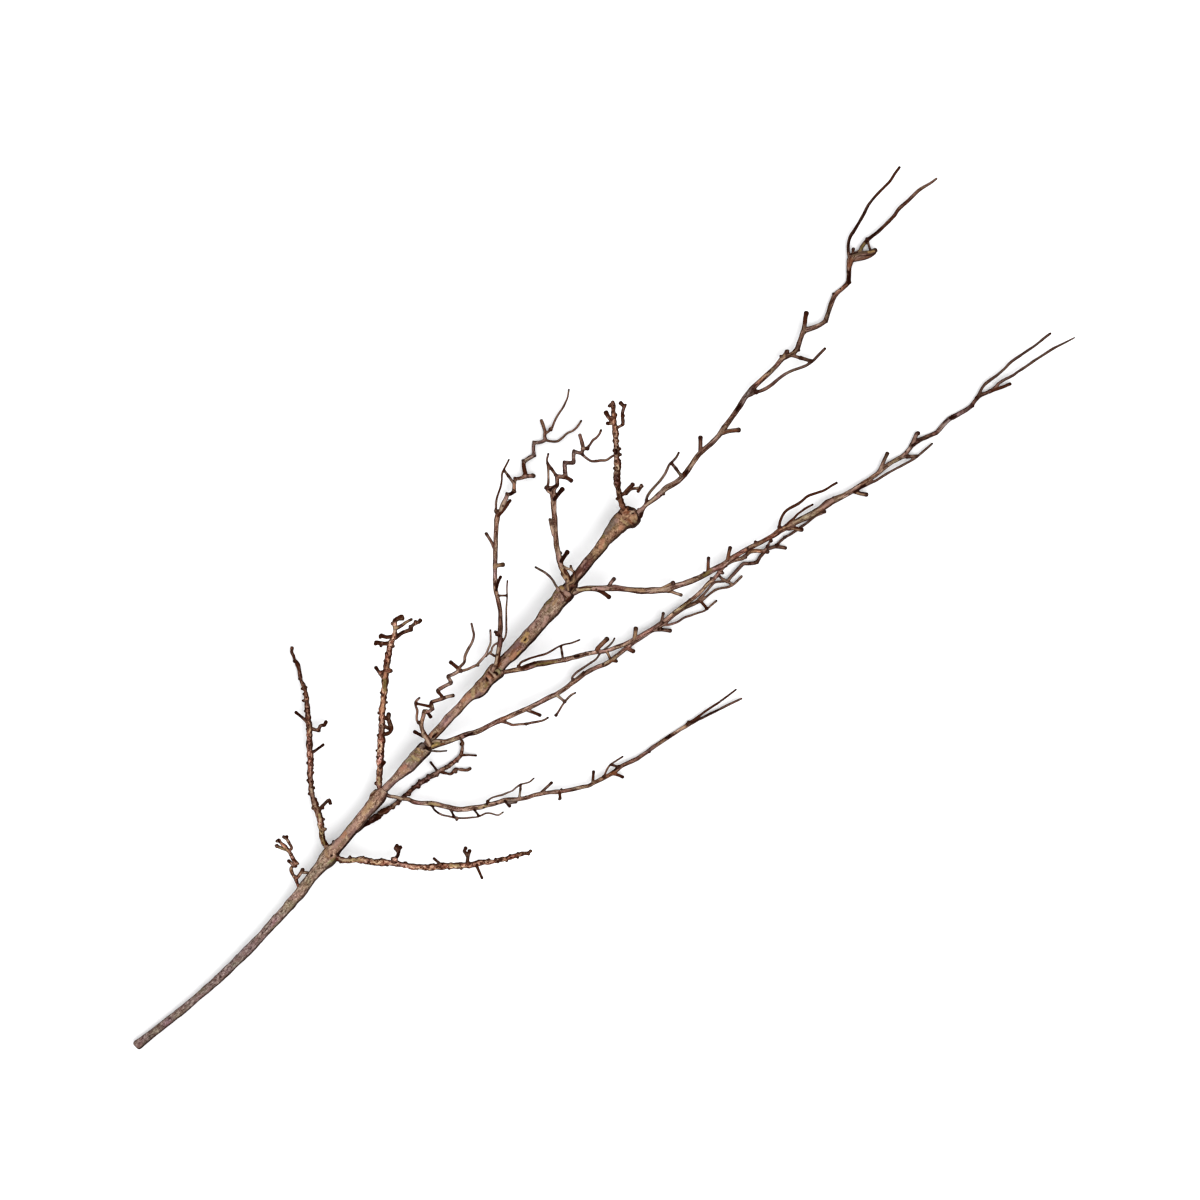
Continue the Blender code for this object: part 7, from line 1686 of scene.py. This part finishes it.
def add_floor():
    """A plain pale floor."""
    bpy.ops.mesh.primitive_plane_add(size=FLOOR_SIZE, location=(0, 0, 0))
    floor = bpy.context.object
    floor.name = "floor"
    material = bpy.data.materials.new("floor")
    material.use_nodes = True
    shader = material.node_tree.nodes["Principled BSDF"]
    shader.inputs["Base Color"].default_value = FLOOR_COLOR
    shader.inputs["Roughness"].default_value = 0.9
    floor.data.materials.append(material)


def colors_along(facts, places, tints):
    """Blend colours that are given at places along x."""
    x = facts["plan"][:, 0]
    return np.column_stack([np.interp(x, places, band) for band in np.transpose(tints)])


def tone_of(name, facts, bark):
    """Work out how each vertex's colour differs from the bark's usual one."""
    red = 0.5 * bark_noise(facts, length=10, turns=0.9, seed=14)
    blue = 0.5 * bark_noise(facts, length=14, turns=0.6, seed=15)
    hues = np.column_stack([1 + 0.12 * red, 1 - 0.16 * red, 1 + 0.1 * red + 0.3 * blue])
    if bark == "stem":
        usual = np.mean([tint for place, tint in LOOKS[bark]["streaks"]], axis=0)
        # Painted light and shade: the stem's left side is lighter and its right side darker.
        lit_left_side = 1.12 - 0.12 * facts["across"]
        return lit_left_side[:, None] * hues * colors_along(facts, *zip(*STEM_TONES)) / usual
    swing = 1 + 0.2 * bark_noise(facts, length=22, turns=0.4, seed=6)
    swing += SPECKLE[bark] * bark_noise(facts, length=5, turns=0.5, seed=7)
    swing *= np.where(np.isin(facts["kind"], TWIG_KINDS), TONES[name][1], TONES[name][0])
    places, tints = zip(*RUNS[name])
    here = colors_along(facts, places, np.array([HUES[tint] for tint in tints]) / HUES["plain"])
    return swing[:, None] * hues * (here / here.mean(axis=0)) ** RUN_POWER[bark]


def add_piece(name, rods, bark, materials):
    """Make one piece of the branch and let it stand for its node."""
    stem = bark == "stem"
    piece = skin(name + "_bark", rods, STEM_VOXEL if stem else BRANCH_VOXEL)
    facts = bark_facts(piece, rods)
    paint, painted, depth = paint_marks(facts, MARKS.get(name, []))
    facts["painted"] = painted
    roughen(piece, facts, RIDGES[bark], depth)
    store_facts(piece, facts, tone_of(name, facts, bark), stem, STEM_SHADE_LEAN if stem else TONES[name][3])
    store_color(piece, "paint", paint)
    store(piece, "painted", painted)
    piece.data.shade_smooth()
    piece.data.materials.append(materials[bark])
    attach(piece, "root")
    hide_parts(name)


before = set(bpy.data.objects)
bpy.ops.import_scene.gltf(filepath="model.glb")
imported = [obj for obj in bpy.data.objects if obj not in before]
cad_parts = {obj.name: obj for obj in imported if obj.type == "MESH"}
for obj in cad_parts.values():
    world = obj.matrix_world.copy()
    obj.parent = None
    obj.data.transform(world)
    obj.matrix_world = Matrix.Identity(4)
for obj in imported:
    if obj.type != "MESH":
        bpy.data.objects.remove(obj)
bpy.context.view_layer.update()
add_camera()
add_light()
add_floor()
barks = {name: bark_material(name + "_bark", looks) for name, looks in LOOKS.items()}
for section in STEM:
    add_piece(section, stem_rods(section), "stem", barks)
for branch_name, branch_facts in BRANCHES.items():
    add_piece(branch_name, branch_rods(branch_name, branch_facts), branch_facts["bark"], barks)

scene = bpy.context.scene
scene.view_settings.view_transform = "Standard"
scene.cycles.use_denoising = True
scene.cycles.filter_width = PIXEL_BLUR
